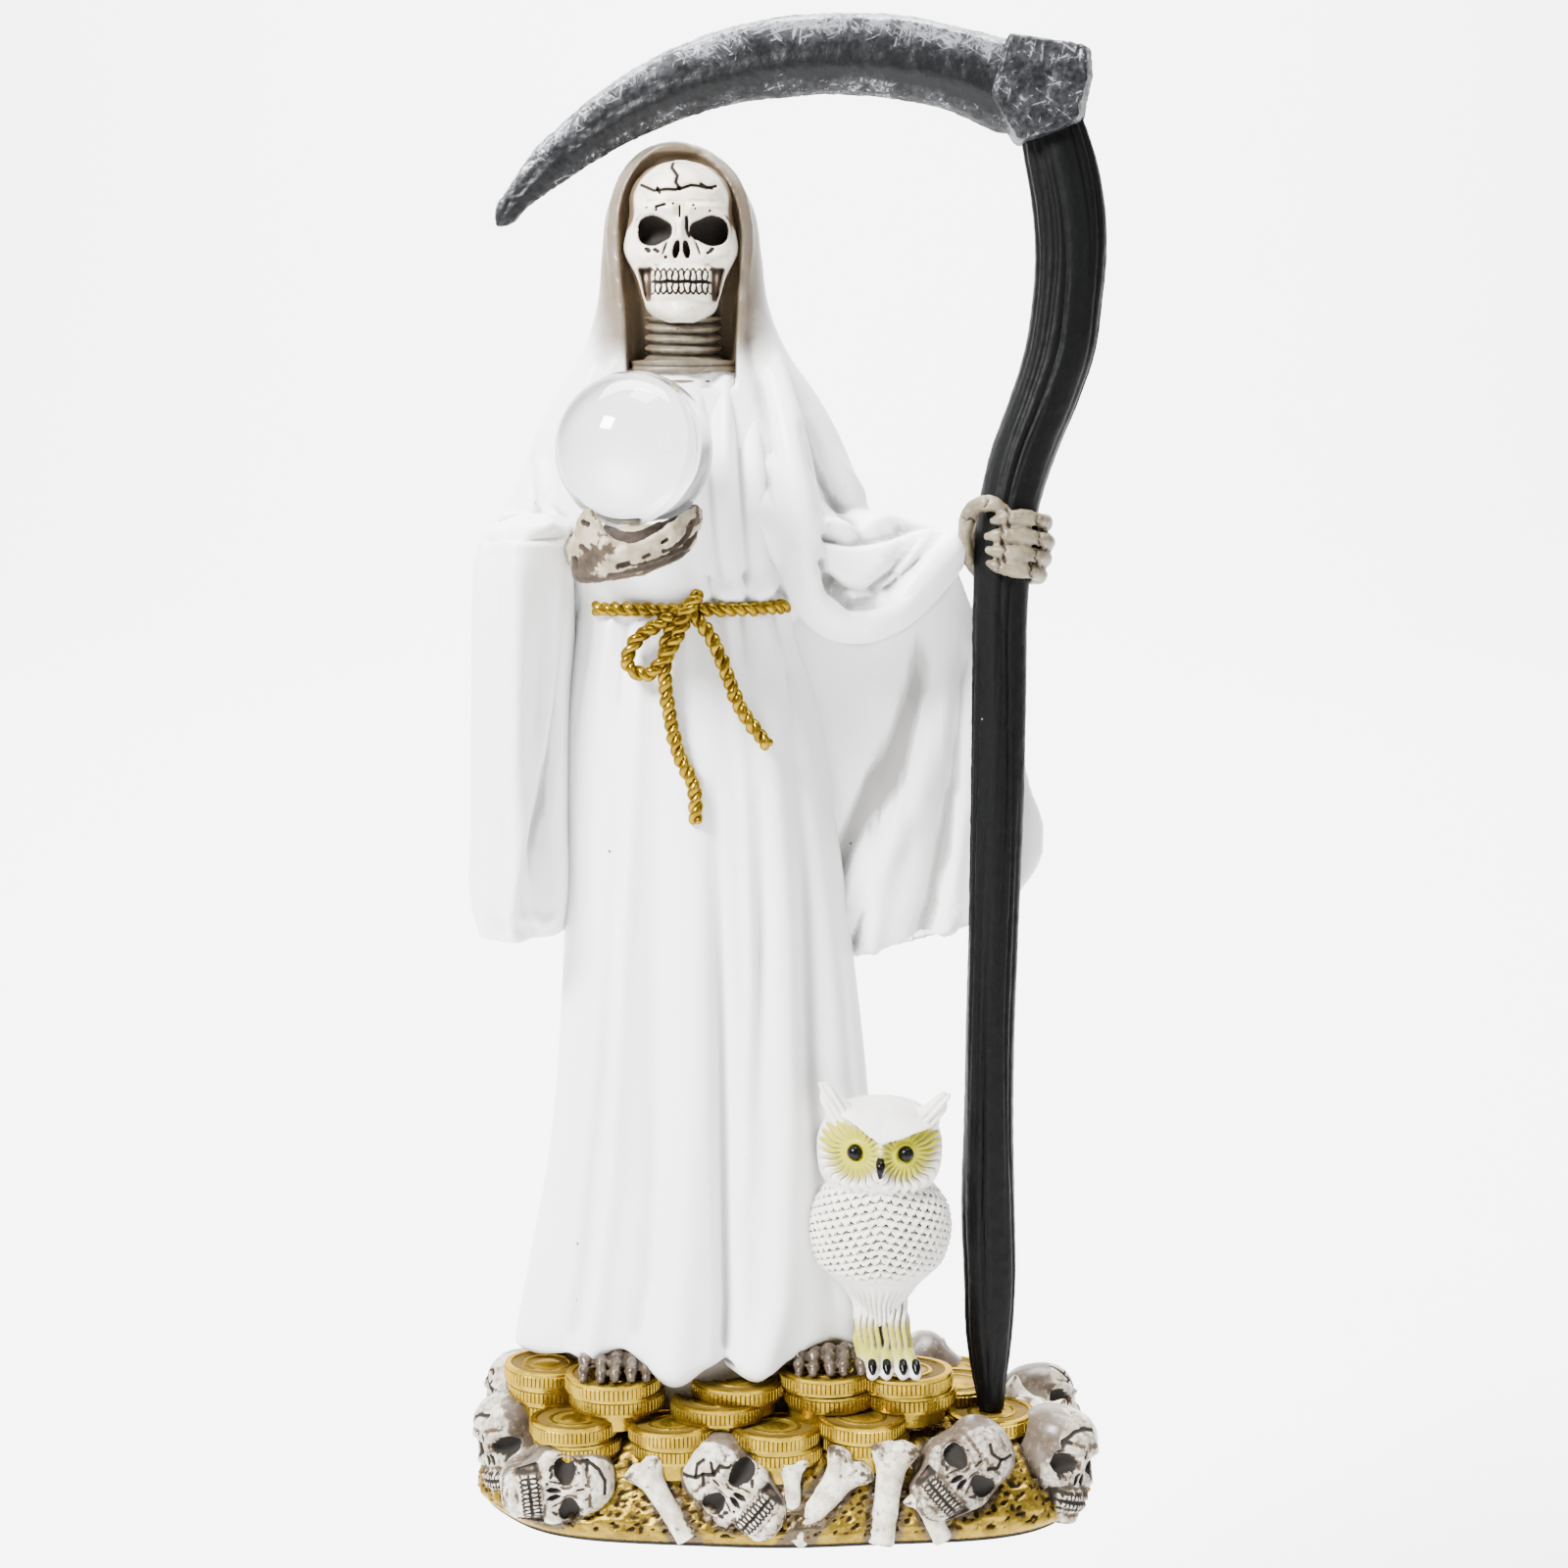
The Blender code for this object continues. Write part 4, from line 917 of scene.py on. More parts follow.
    def build(self) -> None:
        """Lofts the gown, draws its front folds and paints it."""
        t = np.linspace(0.0, 1.0, self.rows)[:, None]
        turns = bearings(self.columns, 0.5)[None, :]
        foot, crown = self.sizes.ends
        rise = sum(lift * hump(turned_by(bearing, turns), width) for bearing, width, lift in self.notches)
        heights = foot + (crown - foot) * t + rise * np.clip(1.0 - 4.0 * t, 0.0, None)
        centre, half, front, back = self.sizes.at(heights)
        drop = np.clip((self.waist - heights) / (self.waist - foot), 0.0, 1.0)
        out = sum(fold.out(turns, drop) for fold in self.folds)
        out = out - 1.1 * (1.0 - ease(t * (crown - foot) / 1.8)) ** 2
        piece = skin("long_gown", oval_net(heights, turns, centre, 0.0, half, front, back, out))
        sculpt(piece, self.front_folds, gain=1.5)
        x, _, z = points_of(piece).T
        collar = 232.9 + 0.006 * (x + 20.0) ** 2 + 0.2 * np.sin(1.3 * x)
        # Painted shade: grey in the fold valleys; above a wavy collar line, where the gown runs up into the
        # hood, brown that is partly paint and partly painted shade.
        dress(piece, ROBE_WHITE, wash_and_shade=(16, 0.5), tint=0.97 * ease((z - collar) / 0.3))


@dataclass
class UnderGown:
    """The plain foot of the gown, set back under the hem."""

    sizes: Stations = Stations(((14, 27, 18.5), (25, 28, 19), (37, 29.4, 20.4)))

    def build(self) -> None:
        """Lofts and paints it."""
        heights = np.linspace(14.0, 37.0, 40)[:, None]
        half, front = self.sizes.at(heights)
        turns = bearings(120, 0.3)[None, :]
        wave = 0.5 * cos_of(turns * 9.0)
        piece = skin("under_gown", oval_net(heights, turns, -17.0, 0.0, half, front, 18.0, wave))
        # Painted shade: the whole foot is darkened towards brown, as it lies under the hem, and its hollows
        # are greyed.
        dress(piece, ROBE_WHITE, wash_and_shade=(8, 0.5), tint=0.75)


@dataclass
class Robe:
    """The hooded robe: hood and cape, the right sleeve and the open left sleeve with its swag."""

    hood: Stations = Stations((
        (196, -21.5, 40, 12, 20), (203, -20.2, 38.2, 13, 20), (212.6, -19.4, 34, 13.4, 19.6),
        (222.3, -19.6, 30, 13.2, 19), (230, -19.8, 25.6, 12.6, 18.6), (236.8, -20, 21, 12.6, 18.4),
        (246.6, -20.4, 17.3, 13.6, 18.2), (256.6, -20.6, 16.1, 14, 17.6), (266, -20.8, 14.6, 13.6, 16.2),
        (271.7, -21.2, 11.8, 11.8, 13.4), (274.1, -21.5, 9.7, 10.2, 11.2), (276.2, -21.8, 7.2, 8, 8.6),
        (278, -21.9, 4.2, 5, 5.4), (279, -21.9, 1.6, 2.4, 2.6),
    ))
    cape_back_hem: float = 74.0
    opening: Stations = Stations((
        (230, -20.4, 10.7), (236, -20.4, 10.9), (244.5, -20.4, 11.2), (252.3, -20.6, 11.8),
        (259.1, -20.7, 12.5), (264.9, -20.8, 12), (268.3, -20.9, 11.2), (272.2, -21.1, 9.3),
        (275.1, -21.5, 6.4), (276.8, -21.8, 3.4), (277.5, -21.9, 0.6),
    ))
    opening_floor: float = -3.6
    sleeve: Stations = Stations((
        (119.5, -53.6, 9.2, 18, 14), (124, -53.8, 10.4, 20, 16), (145, -53.6, 10.6, 21, 16),
        (170, -53.2, 10.6, 22, 16), (188, -52.4, 11, 23, 16), (197, -51.8, 10.6, 23, 15),
        (202.5, -50.6, 8.2, 20, 12), (205, -49, 4, 12, 7),
    ))
    panel: Stations = Stations((
        (113, 20, 28, 1, 11.5), (118, 22, 29.6, 1.4, 12.5), (131, 23.4, 30.2, 1.2, 12.5),
        (152, 22, 28, 0.8, 12), (172, 20, 24, 0.6, 11), (188, 18, 19.5, 0.6, 10), (200, 17, 16, 0.8, 8),
    ))
    swag: Stations = Stations((
        (-8, 214, 200, 11), (0, 212, 189, 13.5), (7, 208.8, 182, 14.5), (14, 206.2, 179.4, 14.5),
        (21, 204.8, 180.6, 13.5), (28, 203.9, 185.4, 11.5), (33, 203.4, 190.6, 9), (36.4, 203, 193.8, 7),
    ))
    swag_centre: float = -3.5
    rolled_edge: tuple[Point, ...] = (
        (-4.6, -2, 240), (-2, -7, 230), (0.8, -11.6, 219), (2.6, -13.8, 208), (3.8, -14.8, 197),
        (5.8, -14.4, 188.4), (10, -14, 184.2), (15.5, -13.6, 183.2), (21.5, -12.8, 184.8),
        (28, -10.6, 189.4), (33.5, -8.4, 195),
    )
    creases: tuple[Stroke, ...] = strokes(
        (3, (0.3, 0.8, 0.6), -2.9, 242.6, 0, 229.2, 4.3, 202, 6.3, 194.2),
        (1.4, (-0.5, -1.2, -1.2), 3.9, 221.4, 6.2, 214.6, 9.8, 208.4, 15.3, 202.4),
        (1.6, (0.3, 0.8, 0.5), 5.1, 223.4, 8.8, 217.2, 14.1, 210.4, 20.5, 205.1),
        (1.1, (-1.3, -1.4, -0.7), 8.4, 200.6, 13.7, 200, 19.6, 201, 26.4, 203.4, 33.2, 203.9),
        (1.5, (0.8, 0.7), 8.2, 202.9, 13.7, 202.3, 20.5, 203.7, 27.4, 205.9),
        (1.2, (-1.3, -1.6, -0.6), 9, 192.2, 12.2, 189.7, 16.7, 189.7, 21.2, 194.2, 24.5, 200),
        (1, (-1.2, -0.6), 18.2, 189.5, 22.5, 194.2, 26.4, 200.4),
        (1, (-1, -0.5), 21.2, 189.9, 26.4, 195.7, 30.9, 201),
        (1.3, (-1.5, -1.5, -0.5), 7.1, 195.7, 9, 190.3, 13.3, 187.1, 18, 187.5, 22, 190.3, 27, 196),
        (
            2.6, (0.9, 1.1, 0.8), 4.3, 198.1, 6.9, 189.9, 11.4, 184.6, 16.7, 183.4, 22.6, 186.4, 28.4,
            191.8, 33.7, 198.1,
        ),
        (1, (-1, -1.1, -0.8), -59.3, 200.4, -54.8, 201.8, -48.9, 200.8, -43, 200.6),
        (1.6, (0.6, 0.6), -58.7, 202.4, -54.8, 203.8, -48.9, 203, -43, 202.4),
        (1.5, 0.5, -49.2, 214.6, -47.7, 207.8, -46.3, 203),
        (1.2, -0.4, -51.1, 215.6, -49.8, 208.8, -48.9, 203.9),
        (1.4, -0.6, -36.3, 234.9, -39, 223.4, -42, 211.7),
        (1.4, 0.5, -34.6, 234, -36.6, 221.4, -39.1, 209.8),
        (1.4, -0.6, -6.2, 239.7, -4.7, 229.2, -2.7, 217.6),
        (2.4, (0.2, 0.5), -59, 190.7, -59.1, 151.7, -58.8, 126.1),
        (1.8, (-0.3, -0.5), -56, 196, -56, 151.7, -56.4, 122.1),
        (2, (0.3, 0.6), -52.5, 198.4, -52.6, 171.3, -53.3, 141.9, -53.4, 122.1),
        (1.4, (-0.9, -1), -42, 190.7, -44.7, 167.4, -47.8, 151.7, -50.8, 138, -52.7, 122.1),
        (1.4, (0.4, 0.6), -44, 190.7, -46.9, 167.4, -50, 151.7, -54.4, 126.1),
        (1, 0.6, -51.4, 124.5, -48.6, 122.5, -47.1, 123.7),
        (3.5, (0.6, 1.6, 1.4), 35, 181.6, 32.2, 161.5, 26.2, 145.2, 18.2, 133, 11.7, 120.8),
        (3.3, (-0.8, -1.9, -1.5), 28.1, 170.5, 21.1, 151.3, 14.1, 139.1, 9.5, 126.9),
        (2.4, (-0.5, -1.3, -1.3), 37.1, 174.5, 35.3, 149.3, 31.4, 128.9, 28.4, 116.7),
        (1.8, (-0.6, -1.3), 19.2, 139.1, 16.2, 128.9, 14.2, 116.7),
        (2.2, (0.4, 0.9, 0.9), 40.1, 177.6, 37.2, 153.4, 35.4, 133, 33.4, 117.7),
        (2, (0.4, 0.8), 23.2, 137.1, 20.2, 126.9, 18.2, 115.6),
        (2.6, (-0.4, -1, -0.8), 46, 172, 46.5, 150, 46, 128),
    )

    def hood_net(self) -> Net:
        """The hood and the cape that falls from it over the shoulders and down the back."""
        t = np.linspace(0.0, 1.0, 190)[:, None]
        turns = bearings(260, 0.15)[None, :]
        behind = ease((np.abs(turns) - 105.0) / 35.0)
        hem, crown = self.hood.ends
        lowest = hem + (self.cape_back_hem - hem) * behind
        heights = lowest + (crown - lowest) * (1.0 - (1.0 - t) ** 1.25)
        centre, half, front, back = self.hood.at(heights)
        fall = np.maximum(hem - heights, 0.0) / (hem - self.cape_back_hem)
        half = half - 12.0 * np.minimum(4.0 * fall, 1.0) + 3.0 * fall
        wave = np.sqrt(fall) * behind * (0.9 * cos_of(turns * 11.0) + 0.5 * cos_of(turns * 17.0))
        return oval_net(heights, turns, centre, 0.0, half, front, back + 6.0 * fall, wave)

    def opening_net(self) -> Net:
        """The cutter that opens the hood round the skull."""
        rows = []
        for height in np.linspace(230.0, 277.5, 60):
            middle, half = self.opening.at(height)
            outline = ((-1.12, -30.0), (1.12, -30.0), (1.0, -9.0), (0.93, -5.5), (0.75, self.opening_floor))
            mirrored = ((-0.75, self.opening_floor), (-0.93, -5.5), (-1.0, -9.0))
            rows.append([(middle + half * u, y, height) for u, y in (*outline, *mirrored)])
        return np.array(rows)

    def sleeve_net(self) -> Net:
        """The wide sleeve that hangs from the forearm under the glass ball."""
        foot, crown = self.sleeve.ends
        heights = (foot + (crown - foot) * np.linspace(0.0, 1.0, 120) ** 0.8)[:, None]
        turns = bearings(150, 0.2)[None, :]
        centre, half, front, back = self.sleeve.at(heights)
        out = 0.5 * cos_of(turns * 7.0) * np.minimum((crown - heights) / 20.0, 1.0)
        inner = 3.2 * hump(turned_by(34.0, turns), 22.0) * np.minimum((crown - heights) / 50.0, 1.0)
        return oval_net(heights, turns, centre, -2.0, half, front, back, out - inner)

    def panel_net(self) -> Net:
        """The back of the open left sleeve, which hangs in folds behind the handle."""
        foot, crown = self.panel.ends
        t = np.linspace(0.0, 1.0, 140)[:, None]
        heights = foot + (crown - foot) * t
        turns = bearings(240, 0.0)[None, :]
        centre, half, front, back = self.panel.at(heights)
        points = oval_net(heights, turns, centre, 0.0, half, front, back, 0.0)
        across = (points[..., 0] - centre) / half
        drop = 1.0 - t
        side = np.where(cos_of(turns) > 0.0, 0.3, -1.0)
        wave = cos_of(430.0 * across + 260.0 * drop)
        points[..., 1] += side * 0.9 * wave * drop**0.6 * (1.0 - across**4)
        rise = 0.27 * np.maximum(points[..., 0] - 14.0, 0.0) + 0.4 * np.maximum(points[..., 0] - 40.0, 0.0)
        points[..., 2] += np.maximum(1.0 - 2.5 * t, 0.0) * rise
        return points

    def swag_net(self) -> Net:
        """The front of the left sleeve, slung from the chest to the wrist in a deep curve."""
        across = np.linspace(*self.swag.ends, 100)[:, None]
        top, bottom, depth = self.swag.at(across)
        angles = circle(90)
        y = self.swag_centre + depth * np.cos(angles)
        z = (top + bottom) / 2.0 + (top - bottom) / 2.0 * np.sin(angles)
        return gathered(across, y, z)

    def edge_net(self) -> Net:
        """The rolled edge, down the chest and round the foot of the swag."""
        path = along_path(self.rolled_edge, 120)
        return sweep_net(path, 2.6 + 2.0 * np.sin(np.pi * np.linspace(0.0, 1.0, 120)), 40)

    def rim_net(self) -> Net:
        """The soft rim of the hood round the face."""
        rise = 236.0 + 41.2 * np.sin(np.linspace(0.0, 0.5 * np.pi, 40))
        heights = np.concatenate((rise, rise[::-1]))
        side = np.repeat((-1.0, 1.0), 40)
        middle, half = self.opening.at(heights)
        x = middle + side * (half + 1.0)
        centre, width, front, _ = self.hood.at(heights)
        y = -front * np.sqrt(np.clip(1.0 - ((x - centre) / width) ** 2, 0.05, 1.0)) + 1.2
        path = along_path(tuple(zip(x, y, heights)), 200)
        return sweep_net(path, np.full(200, 1.25), 20)

    def build(self) -> None:
        """Melts the robe's parts into one skin, cuts its creases and paints it."""
        hood = skin("hood", self.hood_net())
        cut(hood, skin("opening", self.opening_net()))
        nets = (self.sleeve_net(), self.panel_net(), self.swag_net(), self.edge_net(), self.rim_net())
        parts = [hood, *(skin("robe_part", net) for net in nets)]
        robe = fuse("hooded_robe", parts, 0.62, 7, 112000)
        sculpt(robe, self.creases, gain=1.7)
        points = points_of(robe)
        points[:, 0] = np.maximum(points[:, 0], -64.5 + 0.3 * np.minimum(points[:, 0] + 64.5, 0.0))
        move_to(robe, points)
        tint = self.face_shade(points)
        # Painted shade: grey in the creases and hollows, held back where the brown of the opening lies.
        dress(robe, ROBE_WHITE, wash_and_shade=(14, 0.5), wash_and_shade_amount=-2.5 * tint, tint=tint)

    def face_shade(self, points: Net) -> Net:
        """How much brown lies on the hood: thinner round the opening, and full inside it, where it is partly
        brown paint and partly painted shade.
        """
        x, y, z = points.T
        middle, half = self.opening.at(z)
        beyond = np.maximum(np.abs(x - middle) - half, 0.0)
        over = np.maximum(z - 277.4, 0.0)
        near = (
            np.exp(-(np.hypot(beyond, 0.9 * over) / 7.5) ** 4) * ease((z - 229.0) / 12.0)
            * ease((4.0 - y) / 6.0)
        )
        near *= 0.89 - 0.10 * ease((x - middle - half - 1.5) / 3.0)
        # Inside the opening: full brown, partly painted shade.
        inside = (
            ease((half - np.abs(x - middle) + 0.8) / 1.0) * ease((y + 12.5) / 2.5) * (y < 2.0) * (z > 232.0)
            * (z < 277.5)
        )
        return np.maximum(near, 1.0 * inside)


# The skull, which is also used on the base


@dataclass
class Skull:
    """A human skull in its own place: chin at the origin, face towards the viewer, 32 high."""

    sizes: Stations = Stations((
        (1.2, 3.2, 8.6, 1), (1.9, 5, 10, 2.6), (2.9, 6.4, 10.8, 4), (5.8, 8.3, 11.2, 6.5),
        (9, 9.6, 11.2, 8), (12, 10.9, 10.8, 9.5), (15.6, 11.7, 10.6, 10.5), (19, 11, 10.6, 11.5),
        (22.5, 10.3, 11.2, 12.5), (27, 10, 10.8, 12.2), (30, 8.2, 9, 10.4), (32.2, 5, 5.6, 6.2),
        (33.2, 1.2, 1.6, 1.8),
    ))
    # Half width of the unshaded front of the face at each height; beyond it painted shade browns the skull.
    unshaded: Stations = Stations((
        (1.2, 4), (3, 6.2), (6, 8), (11.5, 9.3), (13.5, 11.3), (18, 11.2), (21, 9.2), (27, 8.5), (30, 6.6),
        (33.2, 2.4),
    ))
    pits: tuple[Point, ...] = (
        (-6.8, 15.5, 0.46), (-6.4, 15, 0.44), (-5.2, 15.3, 0.42), (-4.6, 14.9, 0.4), (-3.1, 13.8, 0.34),
        (6.2, 15.6, 0.42), (5.8, 15, 0.4), (5.2, 14.6, 0.34), (-6.8, 23.4, 0.26), (-4.9, 22.9, 0.3),
        (-1.6, 24, 0.22), (2.4, 23.7, 0.28), (2.8, 23.1, 0.24), (5.6, 22.8, 0.28),
    )
    tooth: float = 1.16
    middle: float = 16.0
    spread: float = 1.0
    carving: float = 1.0

    def teeth(self, x: Net, h: Net) -> tuple[Net, Net]:
        """How far the two rows of teeth stand out, and where the dark line runs round each tooth."""
        gums = ease((6.0 - np.abs(x)) / 0.5)
        s = (x + 0.10 * np.sin(3.1 * h + 2.0 * x)) / self.tooth + 0.5
        s = np.abs(s - np.floor(s) - 0.5) * 2.0
        mouth = h - 8.95 - 0.12 * np.sin(1.9 * x)
        out, line = -0.5 * gums * hump(mouth, 0.28), 3.0 * gums * hump(mouth, 0.28)
        uneven = 0.95 + 0.4 * np.sin(5.3 * x + 1.0) * np.sin(2.7 * x)
        for edge, root, way in ((9.2, 11.35, 1.0), (8.7, 6.7, -1.0)):
            reach = (root - 0.75 * s**2 * way - h) * way
            within = ease((h - edge) * way / 0.2)
            out += 0.6 * gums * ease(reach / 0.25) * within * np.sqrt(np.clip(1.02 - s**2, 0.0, 1.0))
            gaps = ease((reach + 0.2) / 0.2) * hump((1.0 - s) * 0.5 * self.tooth, 0.25)
            line += 2.8 * uneven * gums * within * (hump(reach, 0.27) + gaps)
        return out, np.clip(line, 0.0, 3.0)

    def raised(self, x: Net, h: Net) -> Net:
        """How far the brow, cheekbones, bridge, jaw and chin stand out at each place of the face."""
        a = np.abs(x)
        brow = 22.9 + 0.5 * np.sin(np.clip(a / 9.5, 0.0, 1.0) * 2.6)
        out = 1.3 * hump(h - brow, 1.0) * ease((a - 0.6) / 1.2) * ease((10.2 - a) / 2.0)
        out += 1.3 * hump(a - 8.2, 2.3) * hump(h - 14.0, 1.6) + 0.6 * hump(a - 5.0, 2.0) * hump(h - 14.4, 1.2)
        out += 1.3 * hump(x + 0.2, 0.85) * ease((h - 16.6) / 2.0) * ease((22.6 - h) / 2.5)
        out += 0.5 * hump(x, 2.0) * hump(h - 17.2, 1.2)
        out += 1.2 * hump(x, 3.4) * hump(h - 3.2, 1.7) + 0.5 * hump(a - 5.2, 1.6) * hump(h - 4.2, 1.3)
        out += 1.0 * ease((6.5 - a) / 1.1) * ease((12.6 - h) / 1.6) * ease((h - 5.0) / 1.6)
        out += 1.2 * hump(a - 8.75 + 0.22 * (11.5 - h), 0.6) * ease((12.6 - h) / 1.2) * ease((h - 3.4) / 2.0)
        return out

    def sunk(self, x: Net, h: Net) -> tuple[Net, Net]:
        """How deep the sockets, the nose and the cheeks are sunk, and how much dark paint and painted shade
        they hold.
        """
        a = np.abs(x)
        middle, half = np.where(x > 0.0, 5.45, 5.15), np.where(x > 0.0, 3.9, 3.45)
        inner = ease((middle + 0.6 - a) / 3.4)
        socket = np.abs((a - middle) / half) ** 2.7 + np.abs((h - 19.05) / (3.1 * (1.0 - 0.3 * inner))) ** 2.7
        depth = 5.6 * np.clip(1.0 - socket, 0.0, None) ** 0.4
        wash_and_shade_amount = 1.9 * ease((1.05 - socket) / 0.4) + 0.5 * hump(socket - 1.25, 0.35)
        nose = ((a - 0.75 - 0.14 * (17.0 - h)) / 0.78) ** 2 + ((h - 15.3) / 1.85) ** 2
        depth += 2.4 * np.clip(1.0 - nose, 0.0, None) ** 0.5
        wash_and_shade_amount += 1.9 * ease((1.15 - nose) / 0.5) + 0.5 * hump(nose - 1.35, 0.3)
        hollow = ease((a - 5.5) / 0.7) * ease((9.3 - 0.2 * (11.5 - h) - a) / 1.3)
        hollow *= ease((12.3 - h) / 1.0) * ease((h - 4.0) / 3.0)
        depth += 2.2 * hollow
        wash_and_shade_amount += hollow * (0.58 + 0.5 * hump(a - 6.3, 0.6) * ease((10.0 - h) / 2.0))
        crease = hump(a - 2.4 - 0.35 * (18.0 - h), 0.3) * ease((h - 13.4) / 1.5) * ease((20.0 - h) / 1.5)
        notch = hump(x + 0.3, 0.22) * ease((h - 21.2) / 0.4) * ease((24.2 - h) / 0.8)
        depth += 0.5 * crease + 0.7 * notch + 0.9 * hump(a - 10.6, 1.2) * hump(h - 22.5, 3.4)
        wash_and_shade_amount += 0.9 * crease + 1.4 * notch
        # Painted shade: soft tan round the sockets, under the cheekbones, down the sides of the jaw, under
        # the chin, across the lower forehead and at the temples.
        wash_and_shade_amount += (
            0.46 * hump(socket - 1.5, 0.45)
            + 0.5 * hump(h - 11.9, 0.8) * ease((a - 3.4) / 2.0) * ease((9.6 - a) / 1.5)
        )
        wash_and_shade_amount += 0.5 * ease((a - 7.2 + 0.3 * (9.0 - h)) / 1.8) * ease((9.0 - h) / 3.0)
        wash_and_shade_amount += 0.5 * hump(h - 2.0, 1.2)
        wash_and_shade_amount += (
            0.42 * hump(h - 24.9, 0.7) * ease((8.0 - a) / 2.0)
            + 0.44 * hump(a - 9.4, 1.0) * hump(h - 24.0, 3.0)
        )
        for pit_x, pit_h, size in self.pits:
            pit = hump(np.hypot(x - pit_x, h - pit_h), size)
            depth += 0.5 * pit
            wash_and_shade_amount += 1.9 * pit
        return depth, wash_and_shade_amount

    def net(self, columns: int, rows: int, cracks: Sequence[Stroke]) -> tuple[Net, Net, Net]:
        """The carved surface and what is painted on it.

        Args:
            columns: Points round the skull.
            rows: Rings from the chin to the crown.
            cracks: Cracks, drawn in x and height over the chin.

        Returns:
            The points about the middle of the skull, how much dark paint and painted shade each holds, and
            how much painted shade browns it.
        """
        t = np.linspace(0.0, 1.0, rows)[:, None]
        wave = np.cos(np.pi * t)
        foot, crown = self.sizes.ends
        heights = foot + (crown - foot) * (0.5 - 0.5 * wave * (0.75 + 0.25 * np.abs(wave)))
        turns = bearings(columns, 0.55)[None, :]
        half, front, back = self.sizes.at(heights)
        points = oval_net(heights, turns, 0.0, 0.0, half, front, back, 0.0)
        x, h = points[..., 0].copy(), points[..., 2].copy()
        facing = ease((cos_of(turns) - 0.05) / 0.3)
        lines = sum((crack.lift(x, h) for crack in cracks), np.zeros(x.shape))
        depth, wash_and_shade_amount = self.sunk(x, h)
        depth *= self.carving
        teeth, gaps = self.teeth(x, h)
        points[..., 1] += (depth - self.raised(x, h) - teeth - lines) * facing
        side = hump(np.abs(turns) - 84.0, 15.0) * hump(h - 9.5, 4.5)
        points[..., 0] -= 1.5 * side * np.sign(points[..., 0])
        points[..., 2] -= self.middle
        # Painted shade also darkens the pressed-in sides of the jaw.
        wash_and_shade_amount = (wash_and_shade_amount + gaps - 2.2 * np.minimum(lines, 0.0)) * facing + 0.6 * side
        # Painted shade: beyond the unshaded front, the sides and back are browned.
        (unshaded,) = self.unshaded.at(h) * self.spread
        browned = np.maximum(ease((np.abs(x) - unshaded) / 0.8), 1.0 - ease(cos_of(turns) / 0.3))
        return points, np.clip(wash_and_shade_amount, 0.0, 3.0), browned


@dataclass
class Head:
    """The skull in the hood, on its ringed neck."""

    chin: Point = (-20.5, -5.4, 241.6)
    turn: float = 2.0
    skull: Skull = field(default_factory=Skull)
    cracks: tuple[Stroke, ...] = strokes(
        (0.34, (-0.8, -1), -1.5, 32.4, -1.8, 31.3, -0.7, 29.6, -1, 28.2, -0.2, 27),
        (0.32, (-0.7, -1), -7.8, 28, -6.3, 27.2, -5.3, 26.7, -2.9, 26.9, -1, 26.8),
        (0.32, (-1, -0.7), -0.4, 27, 0.6, 27.2, 1.9, 27.7, 3.4, 27.6, 4.9, 27.2, 6.8, 27.7),
        (0.26, (-0.8, -0.4), 3.9, 28.1, 5.2, 27.4, 6.2, 27), (0.26, -0.8, -4.6, 27.3, -4.2, 26.2),
        (0.3, -1, -4.9, 23.5, -3.3, 23.9), (0.34, (-0.9, -1, -0.6), 1, 21.4, 1.1, 19.6, 1.7, 17.8),
    )

    def build(self) -> None:
        """Carves the skull, paints it and sets it on the neck."""
        points, wash_and_shade_amount, browned = self.skull.net(210, 200, self.cracks)
        place = Matrix.Translation(Vector(self.chin) + Vector((0.0, 0.0, self.skull.middle)))
        turned = np.array(place @ Matrix.Rotation(math.radians(self.turn), 4, "Z"))
        piece = skin("head_skull", points @ turned[:3, :3].T + turned[:3, 3])
        # Painted shade: tan round the features, and the browned sides and back.
        dress(piece, SKULL_IVORY, wash_and_shade=(10, 0.3), wash_and_shade_amount=capped(wash_and_shade_amount), tint=capped(browned, 1.0, 1.0))
        self.build_neck()

    def build_neck(self) -> None:
        """Lofts the ringed neck."""
        heights = np.linspace(228.0, 244.0, 96)[:, None]
        turns = bearings(84, 0.3)[None, :]
        sag = 0.5 * cos_of(turns)
        phase = np.cos(2.0 * np.pi * (heights + sag - 233.7) / 2.08)
        bulge = 0.55 * np.sign(phase) * np.abs(phase) ** 0.6
        ragged = 0.25 * np.sin(np.radians(turns * 7.0)) + 0.15 * np.sin(np.radians(turns * 17.0))
        plate = ease((heights - 233.0 + ragged) / 0.4) * ease((235.7 - heights) / 0.5)
        half, front = 7.2 + 4.0 * plate, 6.8 + 1.2 * plate
        piece = skin(
            "neck_rings",
            oval_net(heights, turns, -20.2, -5.0, half, front, 6.0, bulge * (1.0 - 0.7 * plate))
        )
        groove = 1.3 * np.broadcast_to(ease(-phase - 0.35), (96, 84))
        tint = 0.7 * ease((np.abs(points_of(piece)[:, 0] + 20.2) - 5.0) / 1.6)
        dress(piece, NECK_BROWN, wash_and_shade=(8, 0.4), wash_and_shade_amount=capped(groove), tint=tint)


# The hands and feet


